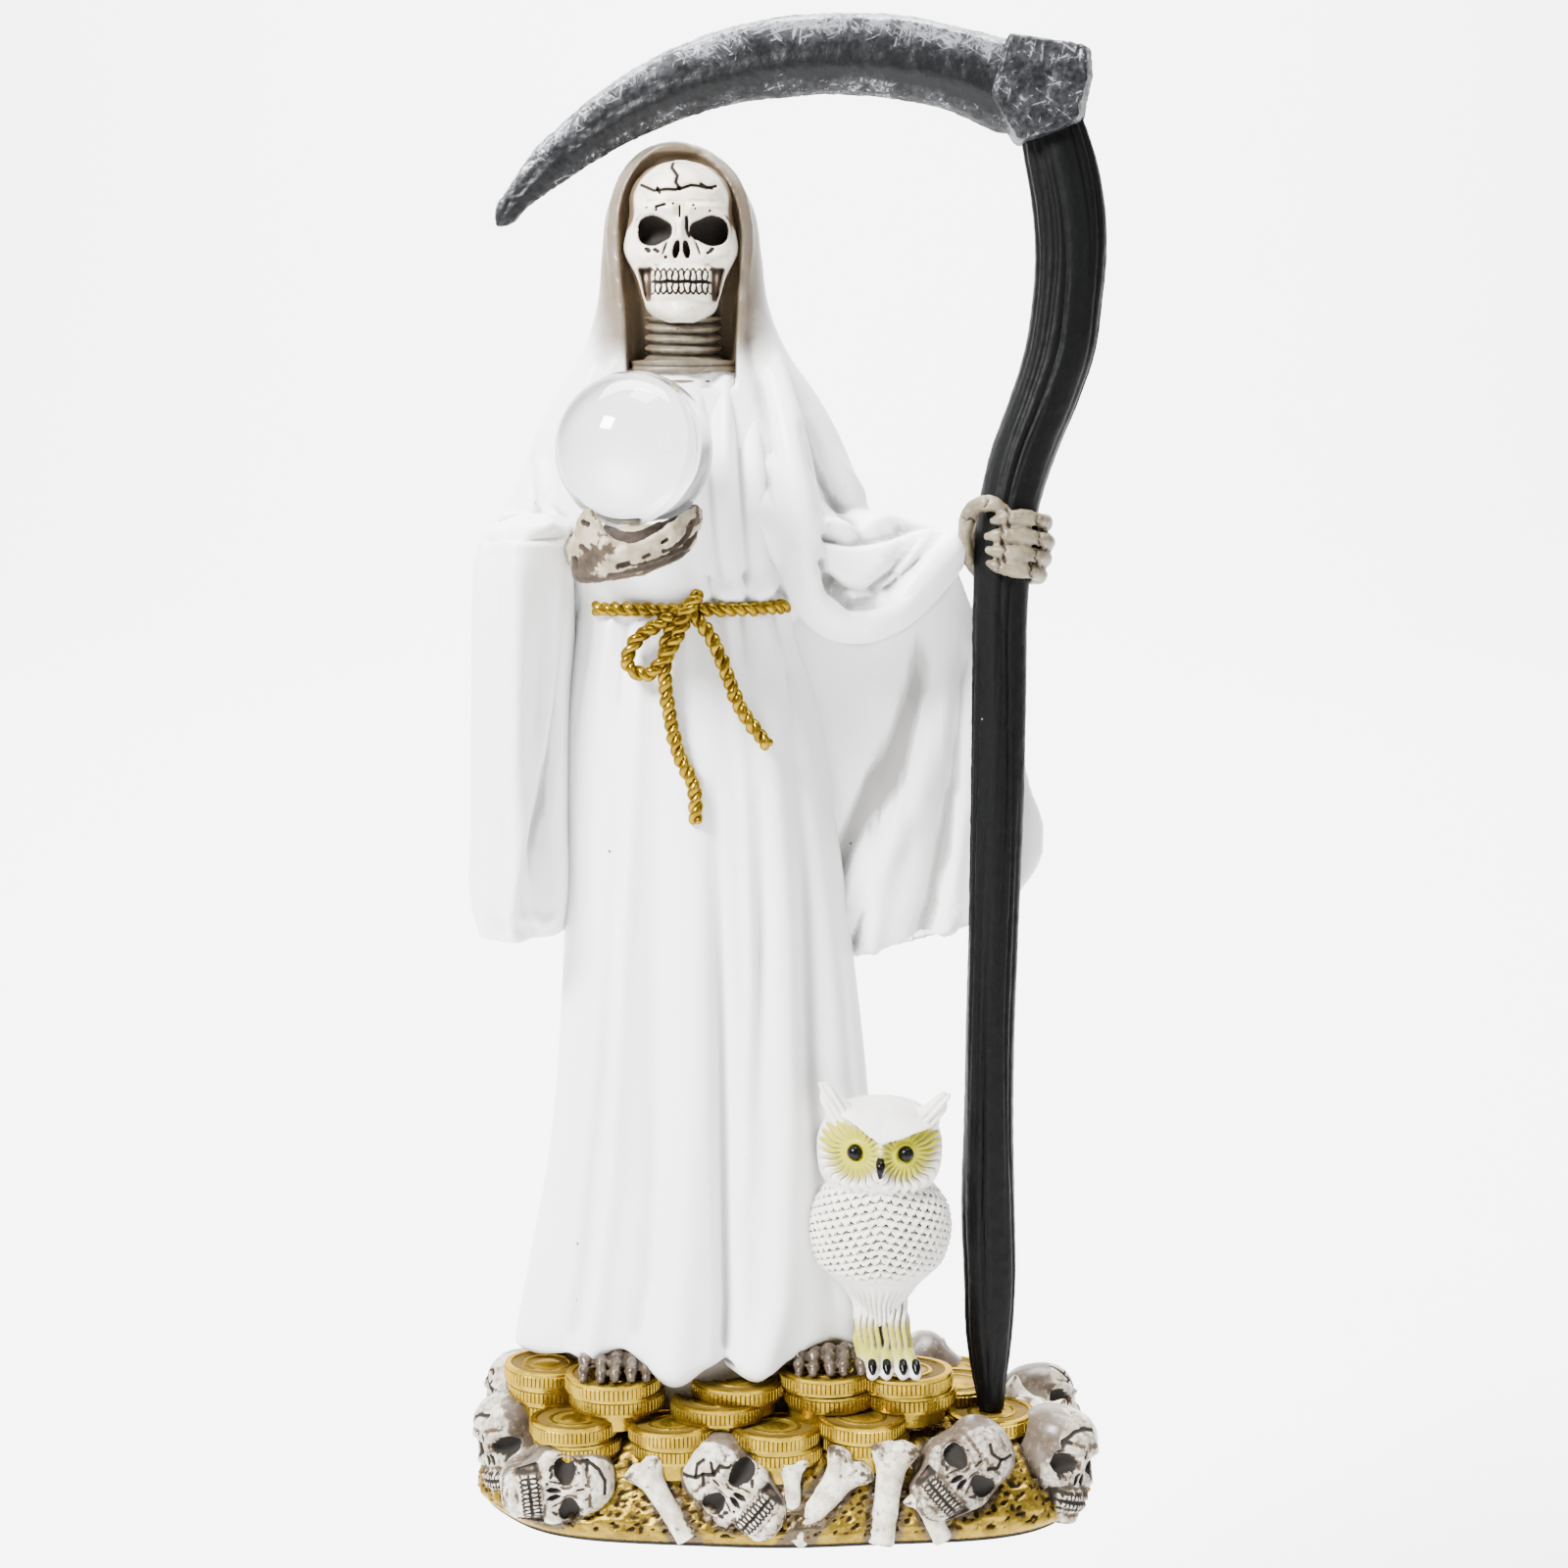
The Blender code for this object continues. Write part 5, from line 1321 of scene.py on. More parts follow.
@dataclass
class CuppedHand:
    """The right hand under the glass ball: a cupped palm with the thumb at its left."""

    ball_centre: Point = (-28.5, -40, 218)
    seat: float = 15.15
    outline: Stations = Stations((
        (-41, 195.8, 200.2, -39, 199.8, -33, 198.8), (-40.2, 193.6, 202.2, -41.4, 201, -32, 199.6),
        (-38.9, 192.8, 205.3, -43.8, 202, -31, 200.8), (-37.4, 192.8, 207.6, -45.6, 203, -30, 201.4),
        (-36.1, 192.9, 207.8, -46.8, 203.4, -29.6, 202), (-35, 193, 206.3, -47.6, 203.6, -29.2, 202.2),
        (-34.2, 193.1, 204.1, -48.1, 203.8, -29, 202.3), (-33, 193.3, 202.5, -48.6, 204, -29, 202.7),
        (-31.5, 193.5, 201.6, -49.1, 204.2, -29, 203.3), (-28.9, 193.9, 201.1, -49.5, 204.6, -29, 204.2),
        (-26, 194.7, 201.8, -49.3, 205.2, -29.2, 205), (-23, 195.9, 203.6, -48.5, 206.2, -29.8, 205.7),
        (-20, 197.3, 205.8, -46.8, 207.2, -31, 206.3), (-17.8, 199.2, 207.2, -44.6, 207.6, -33, 206.6),
        (-16.5, 201.6, 207.7, -42.6, 207.4, -35, 206.4), (-15.7, 204, 207, -41, 206.2, -37, 205.6),
    ))
    grooves: tuple[Stroke, ...] = strokes(
        (0.42, (-0.9, -1, -0.6), -17.2, 204.8, -18.1, 202.1, -19.3, 200.7, -20.8, 199.6, -22.6, 199.2),
        (
            0.42, (-0.9, -1, -0.5), -16.3, 202.3, -17.6, 200.8, -18.8, 199.5, -22.3, 198, -25.3, 196.9,
            -28.4, 196.4,
        ),
        (0.34, (-0.7, -0.7, -0.4), -17.6, 199, -20.5, 197.6, -24, 196.4, -28.5, 195.4, -33, 194.7),
        (0.5, -0.9, -31.2, 196.2, -29.2, 196.8), (0.34, -0.8, -26.4, 198, -25.2, 198.6),
        (0.42, -0.9, -22.6, 201, -22, 201.3), (0.5, -0.8, -38.4, 200.1, -37.4, 199.3),
        (0.48, -0.9, -38, 204.6, -37.2, 204.3), (0.45, -0.8, -40, 197.6, -39.5, 196),
    )
    patches: tuple[Stroke, ...] = strokes(
        (2.3, (1.4, 1.5, 1.2), -39.3, 195.6, -36.6, 197.6, -33.4, 199.6),
        (0.8, (1.3, 1.1, 0.7), -36.3, 207.8, -35.2, 205.2, -34.4, 203.2, -32.8, 201.9),
        (0.8, 1.2, -16.5, 207.6, -16.2, 204.6),
        (1.1, (1.3, 1), -39.5, 193.3, -35, 193.5, -30.5, 194.1, -26, 195.3, -22, 196.9, -18.5, 199.2),
        (0.8, (0.7, 0.5), -17.4, 203.8, -19.6, 200.4, -22.6, 199),
    )

    def net(self) -> Net:
        """The cupped palm: an open section at each place across, from its heel to the fingertips."""
        x = np.linspace(*self.outline.ends, 120)
        under, rim, front, back_rim, back, ledge = self.outline.at(x)
        middle, width = 0.5 * (front + back), back - front
        ring = (
            (front + 0.7, rim), (front - 0.4, rim - 0.7), (front - 0.9, 0.55 * rim + 0.45 * under),
            (front + 1.4, 0.2 * rim + 0.8 * under), (0.5 * (front + middle), under + 0.2), (middle, under),
            (0.5 * (back + middle), under + 0.8), (back, 0.5 * (under + back_rim)), (back - 0.5, back_rim),
            (back - np.minimum(2.4, 0.3 * width), back_rim), (middle, ledge + 0.4),
            (front + np.minimum(4.6, 0.35 * width), ledge),
            (front + np.minimum(3.0, 0.26 * width), 0.5 * (ledge + rim) - 0.6),
            (front + np.minimum(2.1, 0.2 * width), rim - 1.8), (front + 1.2, rim - 0.4),
        )
        corners = np.array([(y, np.broadcast_to(z, x.shape)) for y, z in ring])
        beyond = np.roll(corners, -1, axis=0)
        sides = [corners + (beyond - corners) * share for share in (0.0, 0.25, 0.5, 0.75)]
        y, z = np.stack(sides, axis=1).reshape(-1, 2, len(x)).transpose(1, 2, 0)
        return gathered(x[:, None], y, z)

    def build(self) -> None:
        """Melts palm and forearm together, hollows the seat of the ball and cuts the grooves."""
        arm = ((-44.0, -6.0, 197.4), (-39.6, -18.0, 197.8), (-36.6, -29.0, 198.0), (-35.0, -36.0, 198.0))
        parts = (skin("palm", self.net()), limb("forearm", arm, (3.6, 3.0, 2.8, 3.0), 32))
        hand = fuse("right_hand", parts, 0.38, 3, 150000)
        cut(hand, ball("seat", self.ball_centre, self.seat, 96, 64))
        sculpt(hand, self.grooves, 0.0)
        roughen(hand, 2.4, 0.9)
        roughen(hand, 0.9, 0.4)
        x, y, z = points_of(hand).T
        _, rim, front, _, _, _ = self.outline.at(x)
        within = ease((y - front - 1.0) / 0.6) * (z > rim - 3.0) * (x > -34.5)
        within = within * (normals_of(hand)[:, 2] > -0.2)
        # Dark paint and painted shadow just inside the rim, in the gap under the ball.
        gap = within * ease((rim + 2.0 - z) / 0.7)
        browned = sum(patch.lift(x, z) for patch in self.patches)
        browned = browned - 2.0 * sum(groove.lift(x, z) for groove in self.grooves)
        wash_and_shade_amount = browned * (y < -36.0) * (1.0 - within) + 2.4 * gap
        dress(hand, HAND_WHITE, crisp=50.0, wash_and_shade=(10, 0.4), wash_and_shade_amount=wash_and_shade_amount, tint=within * (1.0 - gap))


@dataclass
class Feet:
    """The toes that show under the hem, in two clusters on the coins."""

    feet: tuple[Point, ...] = ((-34, -24, 33), (9.2, -21.4, 33.4))
    step: float = 3.1
    knuckles: tuple[Point, ...] = ((3.2, 1.1, 2), (0.4, 0.9, 1.75), (-1.9, -0.2, 1.5), (-3.1, -1.3, 1.1))

    def build(self) -> None:
        """Models each toe as four knuckles and melts each foot together."""
        for side, (x, y, z) in zip(("right", "left"), self.feet):
            parts = []
            for toe in range(5):
                shift = toe - 2.0
                middle = Vector((x + self.step * shift, y + 0.35 * shift * shift, z))
                lean = 0.3 * math.sin(3.0 * toe + x)
                for back, up, radius in self.knuckles:
                    shift_up = up + 0.25 * math.cos(5.0 * toe + back)
                    place = middle + Vector((lean * (2.0 - back) * 0.3, back, shift_up))
                    parts.append(ball("knuckle", place, radius, 20, 14, (0.86, 1.15, 0.95)))
            foot = fuse(f"{side}_toes", parts, 0.34, 1, 40000)
            roughen(foot, 0.9, 0.35)
            dress(foot, TOE_BROWN, wash_and_shade=(10, 0.16))


# The rope


@dataclass
class WaistRope:
    """The gilded rope round the waist, with a loop and two hanging tails, laid from two strands."""

    strand: float = 0.88
    spread: float = 0.66
    pitch: float = 4.8
    girdle_height: float = 186.2
    loop: tuple[Point, ...] = (
        (-19.5, -18.6, 186.4), (-24, -19, 184), (-29.5, -19.2, 180), (-31, -19.2, 175.6),
        (-27.5, -19.6, 173.4), (-23.6, -20, 177), (-20.6, -20, 182.4), (-18.6, -18.8, 186.6),
    )
    left_tail: tuple[Point, ...] = (
        (-19.6, -18.6, 186), (-23.2, -19.2, 180.6), (-23.6, -19.4, 173), (-23, -19.6, 167), (-21, -20, 158),
        (-18, -20.4, 151), (-17.6, -20.6, 144.4),
    )
    right_tail: tuple[Point, ...] = (
        (-18.6, -18.4, 186), (-15.2, -18.8, 182), (-11.6, -19, 174.4), (-8.6, -19.2, 166.6),
        (-3.4, -19, 159.6),
    )
    knot: tuple[Point, ...] = (
        (-17.2, -16.6, 189.2), (-17.6, -19.6, 188.4), (-19.2, -20.8, 186.4), (-20.8, -19.8, 184.2),
        (-21.4, -17.2, 183.4),
    )

    def girdle(self) -> tuple[Point, ...]:
        """Points across the front of the waist."""
        turns = np.arange(-48.0, 67.0, 6.0)
        ring = oval_net(np.full(turns.shape, self.girdle_height), turns, -20.6, 0.0, 22.4, 16.6, 16.0, 0.6)
        return tuple(map(tuple, ring))

    def strands(self, path: Sequence[Point]) -> list[Thing]:
        """Twists two strands about a path."""
        length = sum(math.dist(a, b) for a, b in zip(path, path[1:]))
        middle = along_path(path, max(int(length / 0.34), 12))
        ahead = np.gradient(middle, axis=0)
        ahead /= np.linalg.norm(ahead, axis=1)[:, None]
        across = np.cross(ahead, (0.0, 1.0, 0.0))
        across /= np.linalg.norm(across, axis=1)[:, None]
        over = np.cross(ahead, across)
        travelled = np.linspace(0.0, length, len(middle))
        made = []
        for index in range(2):
            phase = 2.0 * np.pi * travelled / self.pitch + np.pi * index
            shift = np.cos(phase)[:, None] * across + np.sin(phase)[:, None] * over
            worn = 1.0 + 0.12 * np.sin(travelled * 1.7 + index)
            made.append(skin("strand", sweep_net(middle + shift * self.spread, self.strand * worn, 12)))
        return made

    def build(self) -> None:
        """Lays the girdle, the loop, the tails and the knot, and gilds them."""
        paths = (self.girdle(), self.loop, self.left_tail, self.right_tail, self.knot)
        strands = [strand for path in paths for strand in self.strands(path)]
        rope = join_up("waist_rope", strands)
        roughen(rope, 1.2, 0.35)
        dress(rope, GOLD_PAINT, wash_and_shade=(4, 0.16))


# The owl


@dataclass
class Owl:
    """The white owl that stands on the coins beside the gown."""

    axis: Spot = (19.4, -16)
    sizes: Stations = Stations((
        (41, 4.9, 5, 5.4), (45, 5.4, 5.9, 6.4), (48, 7.4, 7.4, 8), (52, 11.4, 9.8, 10.4),
        (56.6, 13.6, 10.9, 11.4), (61.2, 14.2, 11.1, 11.4), (66, 13.1, 10.2, 10.6), (69.4, 11, 9.2, 9.8),
        (72, 12, 10.4, 10.2), (76, 12.6, 11, 10.4), (80, 12.3, 10.6, 10.2), (84, 9.8, 8.4, 8.6),
        (86.6, 5.6, 5, 5.4), (87.4, 1.8, 1.6, 1.8),
    ))
    left_eye: Spot = (14.2, 78)
    right_eye: Spot = (24.4, 77.7)
    beak_top: Spot = (19.2, 76.9)
    brow: tuple[Spot, ...] = (
        (7, 84.6), (10.4, 85.1), (12.9, 84.6), (15.2, 83.2), (17.1, 81.6), (19.4, 80.3), (23.1, 81),
        (25.4, 81.8), (28.7, 82.4), (31, 82.6),
    )
    toes: tuple[float, ...] = (17.8, 20.7, 24, 26.6)
    row: float = 1.55
    feather: float = 1.8

    def plumage(self, u: Net, z: Net) -> tuple[Net, Net]:
        """How far the rows of overlapping feathers stand out, and the painted shadow line under each tip and
        along each overlap.
        """
        v = (z + 0.30 * np.abs(u)) / self.row
        rank = np.floor(v)
        f = v - rank
        column = u / self.feather + 0.5 * (rank % 2.0)
        across = 2.0 * (column - np.floor(column) - 0.5)
        tip = f - 0.5 * across**2
        scale = np.where(tip >= 0.0, 0.74 * (1.0 - 0.85 * tip), 0.02 + 0.34 * -tip)
        feathered = ease((70.0 - z) / 1.5) * ease((z - 50.0) / 4.0)
        below = hump(1.0 - f, 0.14) * ease((np.abs(across) - 0.4) / 0.3)
        return scale * feathered, np.maximum(hump(tip + 0.08, 0.18), below) * feathered

    def face(self, x: Net, z: Net) -> tuple[Net, Net]:
        """How far the discs round the eyes and the brows stand out, and how yellow they are."""
        over = z - np.interp(x, *np.array(self.brow).T)
        under = ease((0.3 - over) / 0.5)
        out = (
            1.5 * ease((over + 0.3) / 0.6) * ease((5.0 - over) / 5.0)
            + 0.8 * hump(x - 19.3, 1.2) * ease((z - 73.0) / 2.0) * under
        )
        yellow = np.zeros(x.shape)
        for side, (eye_x, eye_z) in ((-1.0, self.left_eye), (1.0, self.right_eye)):
            dx, dz = (x - eye_x) * side, z - eye_z
            reach = np.hypot(dx, dz)
            angle = np.degrees(np.arctan2(dz, dx))
            mine = ease(((x - 19.3) * side + 0.4) / 0.8) * under
            rays = np.cos(
                np.radians(angle * 24.0) + 0.9 * np.sin(reach * 1.7) + 0.7 * np.sin(np.radians(angle * 3.0))
            )
            out += mine * (-1.3 * hump(reach, 3.0) + 0.5 * hump(reach - 2.0, 0.4))
            out += mine * 0.34 * rays * ease((reach - 2.4) / 1.4) * ease((8.6 - reach) / 1.2)
            out += mine * 0.7 * hump(reach - 6.8, 1.3)
            fade = 6.6 + 0.7 * rays + 1.6 * ease((dz + 1.0) / 3.0) * ease(dx / 3.0) - reach
            yellow += mine * ease(fade / 2.6)
        return out, np.clip(yellow, 0.0, 1.0)

    def build(self) -> None:
        """Lofts the body, presses its plumage and adds tufts, eyes, beak, legs and claws."""
        t = np.linspace(0.0, 1.0, 220)[:, None]
        heights = 41.0 + 46.4 * np.sin(0.5 * np.pi * t**1.05)
        turns = bearings(184, 0.4)[None, :]
        half, front, back = self.sizes.at(heights)
        base = oval_net(heights, turns, *self.axis, half, front, back, 0.0)
        round_way = np.radians(turns) * 0.5 * (half + front)
        relief, yellow = self.face(base[..., 0], heights)
        facing = ease((cos_of(turns) - 0.15) / 0.3) * (heights > 69.0)
        feathers, lines = self.plumage(round_way, heights + 0.0 * turns)
        body = ease((heights - 44.0) / 3.0) * feathers
        tufted = 0.3 * np.cos(np.radians(turns * 34.0) + 0.8 * np.sin(heights)) * ease((51.0 - heights) / 4.0)
        crown = (
            0.16 * np.cos(np.radians(turns * 34.0) + heights * 2.6) * ease((heights - 70.0) / 2.0)
            * (1.0 - facing)
        )
        out = relief * facing + body + tufted + crown
        piece = skin("owl_body", oval_net(heights, turns, *self.axis, half, front, back, out))
        tint = capped(yellow * facing * (heights > 72.0))
        # Painted shadow: dark lines under the feather tips, laid with the recess colour.
        dress(piece, OWL_PLUMAGE, wash_and_shade=(5, 0.14), wash_and_shade_amount=capped(1.25 * lines) - 0.5 * tint, tint=tint)
        self.build_tufts()
        self.build_legs()
        self.build_black()

    def build_tufts(self) -> None:
        """The two feathered ear tufts."""
        parts = []
        for name, path, radii, slant in (
            ("left", ((12.6, -18.6, 82.6), (11.0, -19.2, 85.0), (9.4, -19.6, 87.8), (7.9, -19.8, 90.4)),
             (3.6, 3.2, 2.7, 2.2, 1.7, 1.0), (0.83, 0.5)),
            ("right", ((27.4, -18.8, 82.2), (29.2, -19.4, 84.2), (31.0, -19.8, 86.4), (32.5, -20.0, 88.3)),
             (3.4, 3.0, 2.5, 2.1, 1.6, 1.0), (0.7, -0.7)),
        ):
            tuft = limb(f"{name}_tuft", path, radii, 64)
            points, normals = points_of(tuft), normals_of(tuft)
            ridges = 0.2 * np.cos(4.4 * (points[:, 0] * slant[0] + points[:, 2] * slant[1]))
            move_to(tuft, points + normals * ridges[:, None])
            parts.append(tuft)
        tufts = join_up("owl_tufts", parts)
        dress(tufts, OWL_PLUMAGE, wash_and_shade=(8, 0.12))

    def build_legs(self) -> None:
        """The feathered legs and the pale toes."""
        x, y = self.axis[0] + 0.6, self.axis[1]
        parts = []
        for side in (-1.0, 1.0):
            path = (
                (x + side * 1.8, y - 0.6, 48.0), (x + side * 2.3, y - 1.8, 43.0),
                (x + side * 2.7, y - 3.4, 38.0),
                (x + 0.8 + side * 3.0, y - 4.6, 34.0),
            )
            parts.append(limb(f"leg_{side}", path, (3.6, 3.2, 3.1, 3.2, 3.0), 48))
        for toe, place in enumerate(self.toes):
            start = (x + 0.6 * (place - x), y - 4.5, 36.2)
            middle = (0.8 * place + 0.2 * x, y - 7.6, 34.6)
            parts.append(
                limb(f"toe_{toe}", (start, middle, (place, y - 10.0, 32.4)), (1.8, 1.7, 1.5, 1.2), 20)
            )
        legs = fuse("owl_legs", parts, 0.36, 1, 90000)
        points, normals = points_of(legs), normals_of(legs)
        x, _, z = points.T
        down = 0.34 * np.cos(x * 4.6 + 1.2 * np.sin(0.8 * z)) * ease((z - 35.5) / 3.0)
        move_to(legs, points + normals * down[:, None])
        tint = 0.85 * ease((44.0 - z) / 4.0) * ease((z - 32.0) / 4.0)
        dress(legs, OWL_PLUMAGE, wash_and_shade=(8, 0.12), tint=tint)

    def build_black(self) -> None:
        """The glossy black eyes, beak and claws."""
        x, y = self.axis
        parts = []
        for eye_x, eye_z in (self.left_eye, self.right_eye):
            half, front, _ = self.sizes.at(eye_z)
            depth = front * math.sqrt(max(1.0 - ((eye_x - x) / half) ** 2, 0.1))
            parts.append(ball("eye", (eye_x, y - depth + 1.0, eye_z), 1.6, 32, 20))
        top_x, top_z = self.beak_top
        beak = (
            (top_x, y - 11.0, top_z), (top_x, y - 12.8, top_z - 1.2), (top_x - 0.1, y - 12.6, top_z - 3.2)
        )
        parts.append(limb("beak", beak, (0.8, 0.95, 0.8, 0.35), 20))
        for place in self.toes:
            claw = ((place, y - 9.2, 34.6), (place + 0.1, y - 11.0, 33.2))
            parts.append(limb("claw", claw, (0.9, 0.95, 0.6), 18))
        black = join_up("owl_eyes_beak_claws", parts)
        dress(black, GLOSS_BLACK, wash_and_shade=(1, 0.5))


# The base


@dataclass(frozen=True)
class CoinPile:
    """Coins lying on each other: centre, height of the top face, radius and how many."""

    x: float
    y: float
    top: float
    radius: float
    count: int


@dataclass(frozen=True)
class BaseSkull:
    """A skull of the base: centre, turns in degrees, size against the head and how dark it is, from brown
    paint and from painted shade.
    """

    centre: Point
    turns: Point
    size: float
    stain_and_shade: float = 0.45


@dataclass(frozen=True)
class Bone:
    """A long bone with a two-lobed knuckle at the start, and one at the end unless that is buried."""

    start: Point
    end: Point
    radius: float
    buried: bool = True

    def net(self) -> Net:
        """Rings from one knuckle to the other."""
        start, end = np.array(self.start), np.array(self.end)
        length = np.linalg.norm(end - start)
        along = (end - start) / length
        out = np.array((0.0, 0.0, 1.0)) if abs(along[1]) > 0.6 else np.array((0.0, -1.0, 0.0))
        across = np.cross(along, out)
        across /= np.linalg.norm(across)
        over = np.cross(across, along)
        profile = Stations(
            ((0.0, 0.7, 0.4), (0.02, 1.3, 0.75), (0.07, 2.0, 1.2), (0.14, 1.85, 1.15), (0.24, 1.3, 1.05),
             (0.38, 1.0, 0.95), (0.5, 0.95, 0.92))
        )
        t = (0.5 - 0.5 * np.cos(np.pi * np.linspace(0.0, 1.0, 44)))[:, None]
        from_end = np.where(t > 0.5, 0.5 if self.buried else 1.0 - t, t)
        wide, deep = profile.at(from_end)
        angles = circle(28)
        cleft = 1.0 - 0.28 * hump(from_end, 0.10) * hump(np.cos(angles), 0.35)
        inward = 0.10 * length * hump(np.cos(angles), 0.42) * hump(from_end, 0.05) * np.sign(0.5 - t)
        place = start + (t * length + inward)[..., None] * along
        side = (np.cos(angles) * wide * self.radius)[..., None] * across
        return place + side + (np.sin(angles) * deep * cleft * self.radius)[..., None] * over


@dataclass
class Base:
    """The mound of grit with its coins, skulls and bones, on a black felt pad."""

    mound: Stations = Stations((
        (0.7, 0.2, 61.3, 36, 35), (2, 0.2, 62.6, 37, 35.4), (4, 0.2, 62.8, 37.2, 35.5),
        (9, 0.2, 60.5, 34.6, 33.6), (14, 0, 55, 31.6, 30), (18.5, -1, 48, 27, 25),
    ))
    coin: float = 3.4
    struck: tuple[Spot, ...] = (
        (0.3, 0.12), (0.9, 0), (0.25, -0.38), (2.2, 0), (0.25, 0.25), (0.5, 0), (0.25, -0.25), (1.6, 0),
        (0.3, 0.2),
    )
    piles: tuple[CoinPile, ...] = (
        CoinPile(-34.8, -20, 31, 9.6, 2), CoinPile(-49, -10, 30, 8.8, 3), CoinPile(-9.4, -18, 29.4, 9.4, 1),
        CoinPile(-13.5, -21.5, 26, 9.4, 1), CoinPile(8.6, -18, 31.2, 9.4, 2),
        CoinPile(24.8, -17.2, 30.8, 9.6, 2), CoinPile(-22.5, -26.4, 22.8, 8.8, 2),
        CoinPile(-42.6, -24.4, 23, 8.8, 2), CoinPile(-1.8, -26.6, 22.2, 9, 2),
        CoinPile(15.6, -25.4, 23.8, 8.8, 2), CoinPile(43, -12, 20.4, 8.8, 1),
        CoinPile(36.4, -1, 23, 8.8, 2), CoinPile(-30, 6, 26, 8.8, 2), CoinPile(36, 14, 21, 8.8, 1),
        CoinPile(-48, 8, 24, 8.8, 2),
    )
    skulls: tuple[BaseSkull, ...] = (
        BaseSkull((-46.4, -29, 11.2), (-12, 84, -4), 0.73, 0.3),
        BaseSkull((-9.2, -31, 10.4), (-10, -48, 4), 0.74, 0.3),
        BaseSkull((35, -30.4, 13.8), (-10, 48, -6), 0.72, 0.62),
        BaseSkull((55.4, -17, 10.4), (4, 14, 40), 0.72, 0.5), BaseSkull((54.4, 3, 14), (-16, 30, 62), 0.66),
        BaseSkull((32.6, 20, 17.4), (-24, 30, 150), 0.6), BaseSkull((-56, -12, 13), (8, -10, -40), 0.66),
        BaseSkull((-55.6, 5, 17), (6, 14, -70), 0.64), BaseSkull((-46, 19, 18), (10, -16, -150), 0.64),
        BaseSkull((-12, 26.4, 13), (4, 12, 176), 0.7), BaseSkull((16, 27.2, 12.4), (6, 80, 168), 0.68),
    )
    bones: tuple[Bone, ...] = (
        Bone((-28.9, -33.2, 17), (-19.4, -35.6, 1.6), 2.2), Bone((14.6, -32.4, 17.8), (1.9, -35.4, 1), 2.8),
        Bone((22.2, -31.8, 21), (19.4, -35.6, 0.6), 2.7), Bone((27, -35.4, 11.6), (31.8, -35.4, 1.4), 2),
        Bone((1.4, -33.4, 17.6), (1.9, -35, 5), 1.7), Bone((50, -8, 19.6), (60, 8, 14), 2.2, False),
        Bone((46, -2, 21), (58, -6, 16), 2.2, False), Bone((-30, 26, 19), (-24, 34, 3), 2.4),
        Bone((2, 27, 19), (4, 34.6, 3), 2.4), Bone((34, 25, 17), (44, 30, 3), 2.4),
    )
    cracks: tuple[tuple[Stroke, ...], ...] = (
        strokes(
            (0.42, -0.8, -7.6, 22.4, -7, 25.6, -4.4, 28.4, -1.2, 29.6, 2.4, 29.2),
            (0.36, -0.7, -7, 25.6, -5.2, 25.2),
        ),
        strokes(
            (0.42, -0.9, -5.6, 30, -3.4, 27.4, -1.2, 26.6, 0.8, 24.4, 3.4, 24.6, 4.8, 22.8),
            (0.38, -0.9, -3.4, 27.4, -0.6, 29.4, 1.6, 29), (0.38, -0.9, -1.2, 26.6, -3.2, 24.6),
            (0.38, -0.9, 0.8, 24.4, 2.4, 27),
        ),
        strokes(
            (0.42, -0.8, 5, 30.4, 3.6, 27.8, 4.4, 25.6, 2.6, 23.6),
            (0.38, -0.8, 3.6, 27.8, 0.4, 27.2, -1.6, 28.4),
        ),
    )

    def outline(self, heights: Net, turns: Net) -> Net:
        """The mound's rounded-square section at each height and bearing."""
        centre, half, front, back = self.mound.at(heights)
        sine, cosine = np.sin(np.radians(turns)), cos_of(turns)
        square = (np.abs(sine) ** 3 + np.abs(cosine) ** 3) ** (-1.0 / 3.0)
        lumps = 1.0 + 0.012 * cos_of(9.0 * turns) + 0.010 * cos_of(5.0 * turns + 40.0)
        depth = np.where(cosine > 0.0, front, back)
        x, y = centre + half * sine * square * lumps, -depth * cosine * square * lumps
        return gathered(x, y, heights)

    def build(self) -> None:
        """Builds the base from the pad upwards."""
        self.build_pad()
        self.build_mound()
        self.build_coins()
        self.build_skulls()
        self.build_bones()

    def build_pad(self) -> None:
        """The felt pad under the mound."""
        heights = np.array((0.0, 0.25, 0.8, 1.2))[:, None]
        net = self.outline(np.full((4, 1), 0.7), bearings(240, 0.0)[None, :])
        net[..., 2] = heights
        net[..., :2] *= np.array((0.992, 0.998, 0.998, 0.99))[:, None, None]
        pad = skin("felt_pad", net)
        dress(pad, FELT_BLACK, crisp=40.0, wash_and_shade=(1, 0.5))

    def build_mound(self) -> None:
        """The gritty mound."""
        side = self.outline(np.linspace(0.7, 18.5, 42)[:, None], bearings(520, 0.0)[None, :])
        middle = np.array((self.mound.rows[-1][1], 0.0, 18.5))
        top = middle + (side[-1:] - middle) * np.linspace(0.97, 0.05, 28)[:, None, None]
        mound = skin("grit_mound", np.concatenate((side, top)))
        points, normals = points_of(mound), normals_of(mound)
        gritty = ease((points[:, 2] - 1.8) / 1.4)
        bumps = np.array([self.grit(point) for point in points])
        pits = np.array([noise.noise(Vector(point) / 0.95) for point in points])
        pits = ease((pits - 0.26) / 0.16) * gritty
        move_to(mound, points + normals * (bumps * gritty - 0.6 * pits)[:, None])
        wash_and_shade_amount = 1.5 * pits + 0.8 * gritty * ease(-bumps / 0.7)
        dress(mound, GRAVEL_GOLD, wash_and_shade=(4, 0.4), wash_and_shade_amount=wash_and_shade_amount, tint=self.browned(points))

